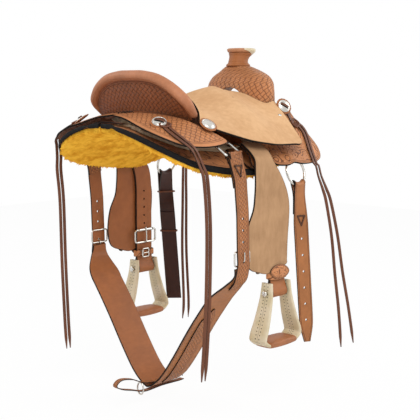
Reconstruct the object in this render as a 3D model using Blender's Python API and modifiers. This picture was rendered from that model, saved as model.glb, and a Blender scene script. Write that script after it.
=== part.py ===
"""Wade ranch saddle: tree, leathers, rigging, fenders, stirrups and flank cinch.

Metres. +X points to the horse's head, +Y to its left (near) side, +Z up. The origin is on
the centre plane, on the ridge of the rack or back that carries the saddle.
"""

import math

import bmesh
import bpy
import numpy as np

# Clearances between pieces that touch or slide.
TOUCH_GAP = 0.0004
LAYER_GAP = 0.0012
RUNNING_GAP = 0.0008
RING_LOOP_GAP = 0.0022
DEE_LEAF_GAP = 0.0042

# The back that the saddle lies on, at five stations from the loin to the withers.
SADDLE_REAR_X = -0.344
BACK_STATION_X = (SADDLE_REAR_X, -0.200, 0.000, 0.130, 0.280)
BACK_RIDGE_Z = (0.003, -0.010, -0.015, 0.045, 0.150)
BACK_SIDE_SLOPE = (0.46, 0.64, 0.76, 0.97, 1.50)
BACK_RIDGE_ROUND = (0.12, 0.13, 0.14, 0.10, 0.06)

# Sheet goods.
FLEECE_THICKNESS = 0.015
SKIRT_THICKNESS = 0.0045
JOCKEY_THICKNESS = 0.0045
SEAT_THICKNESS = 0.0050
PLATE_THICKNESS = 0.0050
FENDER_THICKNESS = 0.0045
STRAP_THICKNESS = 0.0035
BINDING_THICKNESS = 0.0022
BINDING_WIDTH = 0.016
SKIRT_HALF_WIDTH = 0.238

# Tree.
BAR_THICKNESS = 0.022
FORK_X = 0.200
FORK_HALF_WIDTH = 0.118
FORK_HALF_THICKNESS = 0.050
FORK_TOP_Z = 0.179
FORK_COVER_THICKNESS = 0.0040
GULLET_HALF_WIDTH = 0.058
GULLET_TOP_Z = 0.118

# Horn.
HORN_X = 0.190
HORN_NECK_RADIUS = 0.0285
HORN_COLLAR_RADIUS = 0.035
HORN_WRAP_THICKNESS = 0.0040
HORN_CAP_RADIUS = 0.0415
HORN_CAP_THICKNESS = 0.0125
HORN_CAP_FORWARD = 0.014
HORN_TOP_Z = 0.231

# Cantle.
CANTLE_HALF_WIDTH = 0.178
CANTLE_TOP_Z = 0.150
CANTLE_TOP_X = -0.232
CANTLE_BOARD_THICKNESS = 0.012
CANTLE_BACK_THICKNESS = 0.0040
ROLL_RADIUS = 0.0130
ROLL_REACH = 0.0300
ROLL_FRONT = 0.0080

# Seat.
SEAT_LOW_Z = 0.060
SEAT_LIP_HALF_WIDTH = 0.266

# Hanging gear. The fenders hang in a slab outside the skirts.
FENDER_HINGE_X = -0.0165
FENDER_HINGE_Z = -0.072
FENDER_NECK_HALF_WIDTH = 0.0365
FENDER_BOTTOM_Z = -0.368
LEATHER_WIDTH = 0.062
LEATHER_INNER_Y = 0.2570
LEATHER_X = 0.050
LEATHER_JOIN_Z = -0.352
HOBBLE_Z = -0.3850
HOBBLE_HALF_HEIGHT = 0.0140
STIRRUP_BOLT_Z = -0.432
STIRRUP_BOLT_RADIUS = 0.0048
STIRRUP_ROLLER_RADIUS = 0.0105
STIRRUP_TOP_Z = -0.4045
STIRRUP_BOTTOM_Z = -0.580
STIRRUP_TOP_WIDTH = 0.076
STIRRUP_BOTTOM_WIDTH = 0.152
STIRRUP_BRANCH_THICKNESS = 0.0090
STIRRUP_TOP_DEPTH = 0.034
STIRRUP_BOTTOM_DEPTH = 0.058
TREAD_WRAP_THICKNESS = 0.0045

# Rigging.
RING_X = 0.143
RING_Z = -0.1135
RING_Y = 0.2512
RING_LEAN_DEGREES = 16.0
RING_RADIUS = 0.0380
RING_WIRE_RADIUS = 0.0036
BILLET_WIDTH = 0.044
OFF_BILLET_LENGTH = 0.450
OFF_BILLET_DRIFT = 0.048
LATIGO_WIDTH = 0.046
LATIGO_LENGTH = 0.400
LATIGO_DRIFT = 0.040
LATIGO_TURN = math.radians(45)

# Flank set.
FLANK_HINGE_X = -0.150
FLANK_HINGE_Z = -0.050
FLANK_Y = 0.2820
FLANK_BILLET_WIDTH = 0.046
FLANK_BUCKLE_X = -0.113
FLANK_BUCKLE_Z = -0.318
FLANK_CINCH_WIDTH = 0.105
FLANK_CINCH_END_WIDTH = 0.046
FLANK_BOTTOM_Z = -0.700
FLANK_DRIFT = 0.024
CINCH_THICKNESS = 0.0045
BUCKLE_HALF_HEIGHT = 0.0185
BUCKLE_WIRE_RADIUS = 0.0022
LEATHER_BUCKLE_WIRE_RADIUS = 0.0030
TONGUE_RADIUS = 0.0016
BUCKLE_GAP = 0.0005
DEE_WIRE_RADIUS = 0.0032

# Strings.
STRING_RADIUS = 0.0038

CONCHO_RADIUS = 0.0185
ROSETTE_RADIUS = 0.0235

COLOURS = {
    "tooled_leather": ((0.44, 0.20, 0.11), 0.45, 0.0),
    "seat_suede": ((0.74, 0.49, 0.30), 0.85, 0.0),
    "fender_suede": ((0.53, 0.35, 0.22), 0.85, 0.0),
    "plain_leather": ((0.40, 0.17, 0.09), 0.45, 0.0),
    "dark_leather": ((0.05, 0.02, 0.015), 0.50, 0.0),
    "string_leather": ((0.14, 0.06, 0.035), 0.55, 0.0),
    "binding": ((0.03, 0.03, 0.03), 0.50, 0.0),
    "fleece": ((0.72, 0.40, 0.06), 0.95, 0.0),
    "rawhide": ((0.66, 0.58, 0.38), 0.50, 0.0),
    "nickel": ((0.70, 0.68, 0.64), 0.25, 1.0),
    "tree_wood": ((0.62, 0.52, 0.36), 0.60, 0.0),
}

SIDES = (("left", 1.0), ("right", -1.0))


# Scene and materials.
def clear_scene():
    for thing in list(bpy.data.objects):
        bpy.data.objects.remove(thing, do_unlink=True)


def collection(name):
    made = bpy.data.collections.new(name)
    bpy.context.scene.collection.children.link(made)
    return made


def material(name):
    found = bpy.data.materials.get(name)
    if found:
        return found
    colour, roughness, metallic = COLOURS[name]
    made = bpy.data.materials.new(name)
    made.use_nodes = True
    shader = made.node_tree.nodes["Principled BSDF"]
    shader.inputs["Base Color"].default_value = (*colour, 1.0)
    shader.inputs["Roughness"].default_value = roughness
    shader.inputs["Metallic"].default_value = metallic
    made.diffuse_color = (*colour, 1.0)
    return made


def add_object(name, data, finish, smooth=True):
    made = bpy.data.objects.new(name, data)
    bpy.data.collections["wade_saddle"].objects.link(made)
    data.materials.append(material(finish))
    if smooth and isinstance(data, bpy.types.Mesh):
        data.shade_smooth()
        data.set_sharp_from_angle(angle=math.radians(40))
    return made


def mesh_from(name, points, faces):
    data = bpy.data.meshes.new(name)
    data.from_pydata([tuple(map(float, p)) for p in points], [], faces)
    data.update()
    return data


# Curves and interpolation.
def along(x, stations, values):
    """Smooth value at x of a size given at stations: a cubic through them, flat past the ends."""
    xs = np.asarray(stations, float)
    ys = np.asarray(values, float)
    slopes = np.gradient(ys, xs)
    x = float(np.clip(x, xs[0], xs[-1]))
    i = int(np.clip(np.searchsorted(xs, x) - 1, 0, len(xs) - 2))
    step = xs[i + 1] - xs[i]
    t = (x - xs[i]) / step
    return (
        (2 * t**3 - 3 * t**2 + 1) * ys[i]
        + (t**3 - 2 * t**2 + t) * step * slopes[i]
        + (-2 * t**3 + 3 * t**2) * ys[i + 1]
        + (t**3 - t**2) * step * slopes[i + 1]
    )


def smooth_path(points, count):
    """Evenly spaced points on the smooth curve through the given ones."""
    points = np.asarray(points, float)
    ends = np.vstack([2 * points[0] - points[1], points, 2 * points[-1] - points[-2]])
    fine = []
    for i in range(1, len(ends) - 2):
        a, b, c, d = ends[i - 1], ends[i], ends[i + 1], ends[i + 2]
        for t in np.linspace(0.0, 1.0, 24, endpoint=False):
            fine.append(
                0.5
                * (
                    2 * b
                    + (c - a) * t
                    + (2 * a - 5 * b + 4 * c - d) * t**2
                    + (3 * b - a - 3 * c + d) * t**3
                )
            )
    fine.append(ends[-2])
    fine = np.array(fine)
    run = np.concatenate([[0.0], np.cumsum(np.linalg.norm(np.diff(fine, axis=0), axis=1))])
    wanted = np.linspace(0.0, run[-1], count)
    return np.stack([np.interp(wanted, run, fine[:, k]) for k in range(fine.shape[1])], 1)


def arc(centre, radius, start, stop, count):
    """Points of a circular arc in a plane, angles in degrees."""
    angles = np.radians(np.linspace(start, stop, count))
    return [(centre[0] + radius * math.cos(a), centre[1] + radius * math.sin(a)) for a in angles]


# The back and what lies on it.
def back_height(x, y):
    ridge = along(x, BACK_STATION_X, BACK_RIDGE_Z)
    slope = along(x, BACK_STATION_X, BACK_SIDE_SLOPE)
    rounding = along(x, BACK_STATION_X, BACK_RIDGE_ROUND)
    return ridge - slope * (math.hypot(y, rounding) - rounding)


def back_point(x, y, lift):
    """A point raised by lift along the normal of the back."""
    probe = 0.002
    dx = (back_height(x + probe, y) - back_height(x - probe, y)) / (2 * probe)
    dy = (back_height(x, y + probe) - back_height(x, y - probe)) / (2 * probe)
    normal = np.array([-0.5 * dx, -dy, 1.0])
    normal /= np.linalg.norm(normal)
    return np.array([x, y, back_height(x, y)]) + lift * normal


def plan_grid(inner, outer, rows, columns):
    """Plan points between an inner and an outer outline."""
    a = smooth_path(inner, rows)
    b = smooth_path(outer, rows)
    across = np.linspace(0.0, 1.0, columns)[None, :, None]
    return a[:, None, :] * (1 - across) + b[:, None, :] * across


def on_back(plan, lift):
    """Plan points laid on the back; lift is one height or one for each row and column."""
    lifts = np.broadcast_to(np.asarray(lift, float), plan.shape[:2])
    return np.array(
        [[back_point(*plan[i, j], lifts[i, j]) for j in range(plan.shape[1])] for i in range(len(plan))]
    )


def normals_of(grid, out):
    """Unit normals of a grid, on the side that out points to."""
    normals = np.cross(np.gradient(grid, axis=0), np.gradient(grid, axis=1))
    normals /= np.linalg.norm(normals, axis=2, keepdims=True)
    if normals.sum(axis=(0, 1)) @ np.asarray(out, float) < 0:
        normals = -normals
    return normals


def raised(grid, distance, out):
    return grid + distance * normals_of(grid, out)


def spot_on(grid, row, column, above, out):
    """A point above a grid at a fractional row and column, and the normal there."""
    normals = normals_of(grid, out)
    i, j = int(row), int(column)
    u, v = row - i, column - j
    weights = ((i, j, (1 - u) * (1 - v)), (i + 1, j, u * (1 - v)), (i, j + 1, (1 - u) * v), (i + 1, j + 1, u * v))
    point = sum(grid[a, b] * w for a, b, w in weights)
    normal = sum(normals[a, b] * w for a, b, w in weights)
    normal /= np.linalg.norm(normal)
    return point + normal * above, normal


def lofted_grid(inner, outer, rows, columns, bulge):
    """A grid between two lines in space; bulge over 1 keeps it high near the inner line."""
    a = smooth_path(inner, rows)
    b = smooth_path(outer, rows)
    across = np.linspace(0.0, 1.0, columns)
    grid = a[:, None, :] * (1 - across[None, :, None]) + b[:, None, :] * across[None, :, None]
    fall = across**bulge
    grid[:, :, 2] = a[:, None, 2] * (1 - fall[None, :]) + b[:, None, 2] * fall[None, :]
    return grid


# Solids.
def sheet(name, grid, thickness, finish, out, skip=None, offset=1.0):
    """A grid of points made into a sheet that thickens towards out."""
    grid = np.asarray(grid, float)
    rows, columns = grid.shape[:2]
    faces = []
    for i in range(rows - 1):
        for j in range(columns - 1):
            if skip is None or not skip(i, j):
                a = i * columns + j
                faces.append((a, a + 1, a + columns + 1, a + columns))
    points = grid.reshape(-1, 3)
    total = np.zeros(3)
    for a, b, c, d in faces:
        total += np.cross(points[c] - points[a], points[d] - points[b])
    if total @ np.asarray(out, float) < 0:
        faces = [face[::-1] for face in faces]
    used = sorted({k for face in faces for k in face})
    place = {k: n for n, k in enumerate(used)}
    data = mesh_from(name, points[used], [tuple(place[k] for k in face) for face in faces])
    made = add_object(name, data, finish)
    shell = made.modifiers.new("thickness", "SOLIDIFY")
    shell.thickness = thickness
    shell.offset = offset
    return made


def loft(name, rings, finish, closed_rings=False):
    """A solid through rings of points, with flat ends, or joined end to start."""
    rings = np.asarray(rings, float)
    count, around = rings.shape[:2]
    faces = []
    for i in range(count if closed_rings else count - 1):
        for j in range(around):
            a, b = i * around + j, i * around + (j + 1) % around
            c, d = ((i + 1) % count) * around + (j + 1) % around, ((i + 1) % count) * around + j
            faces.append((a, b, c, d))
    if not closed_rings:
        faces.append(tuple(range(around))[::-1])
        faces.append(tuple((count - 1) * around + j for j in range(around)))
    data = mesh_from(name, rings.reshape(-1, 3), faces)
    tool = bmesh.new()
    tool.from_mesh(data)
    bmesh.ops.recalc_face_normals(tool, faces=tool.faces)
    if tool.calc_volume(signed=True) < 0:
        bmesh.ops.reverse_faces(tool, faces=tool.faces)
    tool.to_mesh(data)
    tool.free()
    return add_object(name, data, finish)


def band(name, path, width, thickness, finish, across=(1.0, 0.0, 0.0), columns=2):
    """A strap whose mid surface follows path, as wide as width along across."""
    path = np.asarray(path, float)
    widths = np.broadcast_to(np.asarray(width, float), len(path))
    across = np.broadcast_to(np.asarray(across, float), path.shape)
    steps = np.linspace(-0.5, 0.5, columns)
    grid = path[:, None, :] + across[:, None, :] * widths[:, None, None] * steps[None, :, None]
    return sheet(name, grid, thickness, finish, (0, 0, 1), offset=0.0)


def wire(name, points, radius, finish, cyclic=False, resolution=2):
    """A round wire or cord through the points."""
    data = bpy.data.curves.new(name, "CURVE")
    data.dimensions = "3D"
    data.bevel_depth = radius
    data.bevel_resolution = resolution
    data.use_fill_caps = not cyclic
    spline = data.splines.new("POLY")
    spline.points.add(len(points) - 1)
    for place, point in zip(spline.points, points):
        place.co = (*map(float, point), 1.0)
    spline.use_cyclic_u = cyclic
    return add_object(name, data, finish)


def turned(name, profile, finish, steps=20):
    """A turned piece: profile points (radius, height), the first and last on the axis."""
    data = mesh_from(
        name,
        [(r, 0.0, z) for r, z in profile],
        [],
    )
    tool = bmesh.new()
    tool.from_mesh(data)
    tool.verts.ensure_lookup_table()
    for i in range(len(profile) - 1):
        tool.edges.new((tool.verts[i], tool.verts[i + 1]))
    bmesh.ops.spin(
        tool,
        geom=list(tool.verts) + list(tool.edges),
        axis=(0, 0, 1),
        cent=(0, 0, 0),
        angle=2 * math.pi,
        steps=steps,
        use_merge=True,
    )
    bmesh.ops.remove_doubles(tool, verts=tool.verts, dist=0.00001)
    bmesh.ops.recalc_face_normals(tool, faces=tool.faces)
    if tool.calc_volume(signed=True) < 0:
        bmesh.ops.reverse_faces(tool, faces=tool.faces)
    tool.to_mesh(data)
    tool.free()
    return add_object(name, data, finish)


def cutter(name, points, direction, radius, length, sides=10):
    """Round cutters, one at each point, joined in one hidden object."""
    tool = bmesh.new()
    direction = np.asarray(direction, float)
    for point in points:
        made = bmesh.ops.create_cone(
            tool, cap_ends=True, segments=sides, radius1=radius, radius2=radius, depth=length
        )
        turn = turn_from_z(direction)
        for vertex in made["verts"]:
            vertex.co = turn @ np.array(vertex.co) + np.asarray(point, float)
    data = bpy.data.meshes.new(name)
    tool.to_mesh(data)
    tool.free()
    made = bpy.data.objects.new(name, data)
    made.hide_render = True
    made.display_type = "WIRE"
    bpy.data.collections["cutters"].objects.link(made)
    return made


def turn_from_z(direction):
    """The rotation matrix that takes +Z to the direction."""
    z = np.asarray(direction, float)
    z = z / np.linalg.norm(z)
    side = np.array([0.0, 1.0, 0.0]) if abs(z[1]) < 0.9 else np.array([1.0, 0.0, 0.0])
    x = np.cross(side, z)
    x /= np.linalg.norm(x)
    return np.stack([x, np.cross(z, x), z], 1)


def cut(made, tool):
    knife = made.modifiers.new("cut", "BOOLEAN")
    knife.operation = "DIFFERENCE"
    knife.object = tool


def side_of(points, side):
    return np.asarray(points, float) * np.array([1.0, side, 1.0])


# Skirts, fleece, bindings and rigging plates.
SKIRT_INNER = (
    (SADDLE_REAR_X, 0.003), (-0.300, 0.004), (-0.250, 0.028), (-0.150, 0.045),
    (0.000, 0.045), (0.100, 0.060), (0.165, 0.085), (0.215, 0.112),
)
SKIRT_OUTER = (
    (SADDLE_REAR_X, 0.025), (SADDLE_REAR_X, 0.085), (-0.339, 0.135), (-0.320, 0.188),
    (-0.285, 0.224), (-0.240, SKIRT_HALF_WIDTH - 0.001), (-0.150, SKIRT_HALF_WIDTH),
    (-0.060, SKIRT_HALF_WIDTH), (0.030, SKIRT_HALF_WIDTH), (0.075, 0.230), (0.115, 0.221), (0.180, 0.220),
    (0.225, 0.212), (0.258, 0.196), (0.272, 0.172), (0.262, 0.146), (0.240, 0.126),
)
SKIRT_ROWS = 24
SKIRT_COLUMNS = 6
BOUND_ROWS = 15


def skirt_plan():
    return plan_grid(SKIRT_INNER, SKIRT_OUTER, SKIRT_ROWS, SKIRT_COLUMNS)


def make_fleece(name, side):
    plan = skirt_plan()
    inset = np.linspace(0.0, 1.0, SKIRT_COLUMNS)[None, :, None] * 0.004
    centre = plan.mean(axis=(0, 1))
    toward = centre - plan
    toward /= np.linalg.norm(toward, axis=2, keepdims=True)
    plan = plan + toward * inset
    grid = side_of(on_back(plan, 0.0), side)
    return sheet(name, grid, FLEECE_THICKNESS, "fleece", (0, 0, 1))


SKIRT_LIFT = FLEECE_THICKNESS + LAYER_GAP
SKIRT_TOP = SKIRT_LIFT + SKIRT_THICKNESS


def make_skirt(name, side):
    grid = side_of(on_back(skirt_plan(), SKIRT_LIFT), side)
    return sheet(name, grid, SKIRT_THICKNESS, "tooled_leather", (0, 0, 1))


def make_binding(name, side):
    """A folded strip round the skirt's edge: an L section carried along it."""
    grid = on_back(skirt_plan(), SKIRT_LIFT)
    rings = []
    for i in range(1, BOUND_ROWS):
        edge = grid[i, -1]
        inward = grid[i, -2] - edge
        inward /= np.linalg.norm(inward)
        run = grid[i + 1, -1] - grid[i - 1, -1]
        run /= np.linalg.norm(run)
        normal = np.cross(run, inward)
        normal /= np.linalg.norm(normal)
        if normal[2] < 0:
            normal = -normal
        outward = np.cross(run, normal)
        if outward @ inward > 0:
            outward = -outward
        top = SKIRT_THICKNESS + LAYER_GAP
        drop = -0.010
        edge_gap = RUNNING_GAP
        section = (
            (BINDING_WIDTH, top), (-edge_gap, top), (-edge_gap, drop),
            (-edge_gap - BINDING_THICKNESS, drop), (-edge_gap - BINDING_THICKNESS, top + BINDING_THICKNESS),
            (BINDING_WIDTH, top + BINDING_THICKNESS),
        )
        ring = []
        for along_in, height in section:
            if along_in > 0:
                ring.append(edge + inward * along_in + normal * height)
            else:
                ring.append(edge - outward * along_in + normal * height)
        rings.append(ring)
    return loft(name, side_of(rings, side), "binding")


# Tree.
BAR_STATION_X = (-0.300, -0.255, -0.200, -0.130, 0.035, 0.090, 0.150, 0.205, 0.240)
BAR_INNER_Y = (0.060, 0.050, 0.047, 0.050, 0.054, 0.060, 0.070, 0.085, 0.098)
BAR_OUTER_Y = (0.100, 0.152, 0.166, 0.158, 0.156, 0.156, 0.158, 0.142, 0.118)
BAR_HEIGHT = (0.010, 0.018, 0.022, BAR_THICKNESS, BAR_THICKNESS, 0.022, 0.020, 0.013, 0.009)
BAR_CROWN = ((0.0, 0.33, 0.67, 1.0), (0.55, 1.0, 0.95, 0.55))
BAR_LIFT = SKIRT_TOP + 0.0018
BAR_GROOVE = 0.0080
BAR_GROOVE_HALF_WIDTH = 0.0365


def bar_inner(x):
    return float(np.interp(x, BAR_STATION_X, BAR_INNER_Y))


def bar_outer(x):
    return float(np.interp(x, BAR_STATION_X, BAR_OUTER_Y))


def bar_top_lift(x, y):
    """How far the top of the bar stands off the back at plan point x, y."""
    share = (y - bar_inner(x)) / (bar_outer(x) - bar_inner(x))
    height = float(np.interp(x, BAR_STATION_X, BAR_HEIGHT))
    return BAR_LIFT + height * float(np.interp(share, *BAR_CROWN))


def make_bar(name, side):
    """A bar of the tree, with a groove below for the stirrup leather."""
    groove = (FENDER_HINGE_X - BAR_GROOVE_HALF_WIDTH, FENDER_HINGE_X + BAR_GROOVE_HALF_WIDTH)
    stations = sorted([*np.linspace(BAR_STATION_X[0], groove[0] - 0.008, 8), groove[0], FENDER_HINGE_X,
                       groove[1], *np.linspace(groove[1] + 0.008, BAR_STATION_X[-1], 7)])
    rings = []
    for x in stations:
        bottom = BAR_LIFT + (BAR_GROOVE if groove[0] <= x <= groove[1] else 0.0)
        ys = np.linspace(bar_inner(x), bar_outer(x), 5)
        lower = [back_point(x, y, bottom) for y in ys]
        upper = [back_point(x, y, bar_top_lift(x, y)) for y in ys]
        rings.append(lower + upper[::-1])
    return loft(name, side_of(rings, side), "tree_wood")


# Rigging plates: over the bar's front and down to the lower edge.
PLATE_INNER = (
    (0.045, 0.150), (0.090, 0.140), (0.150, 0.125), (0.200, 0.112), (0.232, 0.104), (0.242, 0.106),
)
PLATE_OUTER = (
    (0.046, 0.205), (0.058, 0.234), (0.085, 0.2420), (0.106, 0.2425), (0.126, 0.2400), (0.150, 0.2430),
    (0.185, 0.2400), (0.228, 0.2320), (0.258, 0.2220), (0.278, 0.2080), (0.286, 0.1930),
    (0.277, 0.1740), (0.259, 0.1450), (0.247, 0.1200),
)
PLATE_ROWS = 18
PLATE_COLUMNS = 8
PLATE_LIFT = SKIRT_TOP + 0.0026
PLATE_EDGE_RISE = ((0.105, 0.125), (0.0030, 0.0065))
PLATE_FADE = 0.028


def plate_lift(x, y):
    """The plate's height over the back: over the bar, then down onto the skirt."""
    edge = bar_outer(x)
    over = bar_top_lift(x, min(max(y, bar_inner(x)), edge)) + 0.0030 - PLATE_LIFT
    fade = float(np.clip((y - edge) / PLATE_FADE, 0.0, 1.0))
    rise = float(np.interp(x, *PLATE_EDGE_RISE)) * float(np.clip((y - 0.190) / 0.035, 0.0, 1.0))
    return PLATE_LIFT + max(over, 0.0) * (1 - 3 * fade**2 + 2 * fade**3) + rise


def plate_grid(side):
    plan = plan_grid(PLATE_INNER, PLATE_OUTER, PLATE_ROWS, PLATE_COLUMNS)
    lifts = [[plate_lift(x, y) for x, y in row] for row in plan]
    return side_of(on_back(plan, lifts), side)


def make_plate(name, side):
    return sheet(name, plate_grid(side), PLATE_THICKNESS, "tooled_leather", (0, 0, 1))


FORK_STATION_Z = (0.050, 0.070, 0.090, 0.112, 0.135, 0.152, 0.164, 0.172, FORK_TOP_Z)
FORK_WIDTH_SHARE = (0.96, 1.00, 1.00, 0.99, 0.93, 0.78, 0.575, 0.44, 0.305)
FORK_THICKNESS_SHARE = (1.05, 1.05, 1.03, 1.00, 0.97, 0.92, 0.84, 0.72, 0.56)
FORK_SHIFT_X = (0.000, 0.000, 0.000, 0.000, 0.002, 0.003, 0.002, -0.004, HORN_X - FORK_X)


def fork_ring(z, grow, around=20, power=2.5):
    """The fork's level outline at height z, moved out by grow."""
    half_width = FORK_HALF_WIDTH * float(np.interp(z, FORK_STATION_Z, FORK_WIDTH_SHARE)) + grow
    half_length = FORK_HALF_THICKNESS * float(np.interp(z, FORK_STATION_Z, FORK_THICKNESS_SHARE)) + grow
    middle = FORK_X + float(np.interp(z, FORK_STATION_Z, FORK_SHIFT_X))
    ring = []
    for n in range(around):
        angle = 2 * math.pi * n / around
        c, s = math.cos(angle), math.sin(angle)
        ring.append(
            (
                middle + half_length * math.copysign(abs(c) ** (2 / power), c),
                half_width * math.copysign(abs(s) ** (2 / power), s),
                z,
            )
        )
    return ring


def gullet_cutter(name, grow):
    """The arch under the fork, as a long solid along X."""
    half = GULLET_HALF_WIDTH + grow
    top = GULLET_TOP_Z + grow
    spring = top - half
    outline = [(half, -0.02)] + arc((0.0, spring), half, 0, 180, 13) + [(-half, -0.02)]
    rings = [[(x, y, z) for y, z in outline] for x in (FORK_X - 0.12, FORK_X + 0.12)]
    made = loft(name, rings, "tree_wood")
    to_cutters(made)
    return made


def to_cutters(made):
    bpy.data.collections["wade_saddle"].objects.unlink(made)
    bpy.data.collections["cutters"].objects.link(made)
    made.hide_render = True
    made.display_type = "WIRE"


def leg_cutter(name, clearance):
    """What lies below the fork's feet: a block whose top follows the bars."""
    rings = []
    for x in np.linspace(FORK_X - 0.09, FORK_X + 0.09, 13):
        ys = np.linspace(-0.20, 0.20, 25)
        top = [back_point(x, y, bar_top_lift(x, abs(y)) + clearance) for y in ys]
        low = [(x, y, -0.20) for y in ys[::-1]]
        rings.append([(x, p[1], p[2]) for p in top] + low)
    made = loft(name, rings, "tree_wood")
    to_cutters(made)
    return made


def make_fork():
    wood_top = FORK_TOP_Z - FORK_COVER_THICKNESS - LAYER_GAP
    levels = [0.030, *[z for z in FORK_STATION_Z if z < wood_top], wood_top]
    inset = -(FORK_COVER_THICKNESS + LAYER_GAP)
    rings = [[(x, y, level) for x, y, _ in fork_ring(max(level, FORK_STATION_Z[0]), inset)] for level in levels]
    wood = loft("tree_fork", rings, "tree_wood")
    cut(wood, gullet_cutter("gullet_cut", 0.0))
    cut(wood, leg_cutter("fork_foot_cut", 0.0025))

    cover_low = 0.066
    levels = [cover_low, *[z for z in FORK_STATION_Z if z > cover_low + 0.002]]
    outer = [fork_ring(z, 0.0) for z in levels]
    cover = loft("fork_cover", outer, "tooled_leather")
    hollow_top = wood_top + LAYER_GAP * 0.6
    hollow = [0.040, *[z for z in FORK_STATION_Z if 0.045 < z < hollow_top - 0.001], hollow_top]
    core = [
        [(x, y, level) for x, y, _ in fork_ring(max(level, FORK_STATION_Z[0]), -FORK_COVER_THICKNESS)]
        for level in hollow
    ]
    inner = loft("fork_core_cut", core, "tree_wood")
    to_cutters(inner)
    cut(cover, inner)
    cut(cover, gullet_cutter("cover_gullet_cut", 0.0))
    cut(cover, leg_cutter("cover_foot_cut", PLATE_THICKNESS + 0.0060))


def circle(centre_x, radius, z, around=20):
    return [
        (centre_x + radius * math.cos(2 * math.pi * n / around), radius * math.sin(2 * math.pi * n / around), z)
        for n in range(around)
    ]


def make_horn():
    cap_x = HORN_X + HORN_CAP_FORWARD
    cap_low = HORN_TOP_Z - HORN_CAP_THICKNESS
    inside = HORN_WRAP_THICKNESS + LAYER_GAP
    base = FORK_TOP_Z + TOUCH_GAP
    neck = HORN_NECK_RADIUS
    wrap_rings = [
        circle(HORN_X, HORN_COLLAR_RADIUS, base),
        circle(HORN_X, HORN_COLLAR_RADIUS, base + 0.004),
        circle(HORN_X, neck + 0.003, base + 0.0065),
        circle(HORN_X, neck, base + 0.016),
        circle(HORN_X + 0.3 * HORN_CAP_FORWARD, neck + 0.0005, base + 0.024),
        circle(HORN_X + 0.7 * HORN_CAP_FORWARD, neck + 0.005, cap_low - 0.005),
        circle(cap_x, neck + 0.009, cap_low - TOUCH_GAP),
    ]
    wrap = loft("horn_wrap", wrap_rings, "tooled_leather")
    bore_rings = [
        circle(HORN_X, neck - HORN_WRAP_THICKNESS, base - 0.01),
        circle(HORN_X, neck - HORN_WRAP_THICKNESS, base + 0.018),
        circle(cap_x, neck - HORN_WRAP_THICKNESS + 0.004, cap_low + 0.01),
    ]
    bore = loft("horn_bore_cut", bore_rings, "tree_wood")
    to_cutters(bore)
    cut(wrap, bore)

    post = neck - inside
    core_rings = [
        circle(HORN_X, post, base),
        circle(HORN_X, post, base + 0.018),
        circle(cap_x - 0.001, post + 0.002, cap_low + 0.0035),
        circle(cap_x, HORN_CAP_RADIUS - inside, cap_low + 0.0045),
        circle(cap_x, HORN_CAP_RADIUS - inside, HORN_TOP_Z - 0.0045),
    ]
    loft("horn_core", core_rings, "tree_wood")

    cap = turned(
        "horn_cap",
        (
            (0.0, HORN_TOP_Z), (HORN_CAP_RADIUS - 0.006, HORN_TOP_Z),
            (HORN_CAP_RADIUS - 0.0015, HORN_TOP_Z - 0.0020), (HORN_CAP_RADIUS, HORN_TOP_Z - 0.006),
            (HORN_CAP_RADIUS - 0.001, cap_low + 0.004), (HORN_CAP_RADIUS - 0.005, cap_low),
            (neck + 0.001, cap_low), (neck + 0.001, cap_low + 0.0030),
            (HORN_CAP_RADIUS - inside + LAYER_GAP, cap_low + 0.0030),
            (HORN_CAP_RADIUS - inside + LAYER_GAP, HORN_TOP_Z - 0.0040), (0.0, HORN_TOP_Z - 0.0040),
        ),
        "tooled_leather",
        24,
    )
    cap.location.x = cap_x


# Cantle.
CANTLE_SHARES = (0.0, 0.25, 0.5, 0.7, 0.85, 1.0)
CANTLE_LINE_X = (CANTLE_TOP_X, -0.231, -0.227, -0.216, -0.200, -0.172)
CANTLE_LINE_Y = (0.0, 0.27, 0.585, 0.845, 0.985, 0.975)
CANTLE_LINE_Z = (CANTLE_TOP_Z, 0.1485, 0.1360, 0.1080, 0.0780, 0.0430)


def cantle_top_line(share):
    """The cantle's rim, share -1 at the right end, 0 at the top, 1 at the left end."""
    s = abs(share)
    y = CANTLE_HALF_WIDTH * along(s, CANTLE_SHARES, CANTLE_LINE_Y)
    return np.array(
        [along(s, CANTLE_SHARES, CANTLE_LINE_X), math.copysign(y, share), along(s, CANTLE_SHARES, CANTLE_LINE_Z)]
    )


def cantle_base_line(share):
    s = abs(share)
    return np.array([-0.196 + 0.020 * s**2.2, math.copysign(0.152 * s, share), 0.046 - 0.014 * s**2])


def cantle_frame(share):
    """The rim point with its run, its backward and its outward directions."""
    centre = cantle_top_line(share)
    ahead = cantle_top_line(min(share + 0.02, 1.0)) - cantle_top_line(max(share - 0.02, -1.0))
    ahead /= np.linalg.norm(ahead)
    backward = np.array([-1.0, 0.0, 0.0])
    backward -= ahead * (backward @ ahead)
    backward /= np.linalg.norm(backward)
    return centre, backward, np.cross(ahead, backward)


CANTLE_ACROSS = np.linspace(-0.90, 0.90, 17)
CANTLE_RIM_ROOM = 0.0150


def cantle_grid(low):
    """The middle surface of the cantle board, from share low of its height to below the roll."""
    rim = np.array([cantle_top_line(share) for share in np.linspace(-1.0, 1.0, 121)])
    grid = []
    for share in CANTLE_ACROSS:
        base, top = cantle_base_line(share), cantle_top_line(share)
        high = 1.0
        while np.linalg.norm(rim - base - (top - base) * high, axis=1).min() < CANTLE_RIM_ROOM:
            high -= 0.01
        start = low if high > 0.45 else 0.0
        grid.append([base + (top - base) * t for t in np.linspace(start, high, 5)])
    return np.array(grid)


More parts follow.
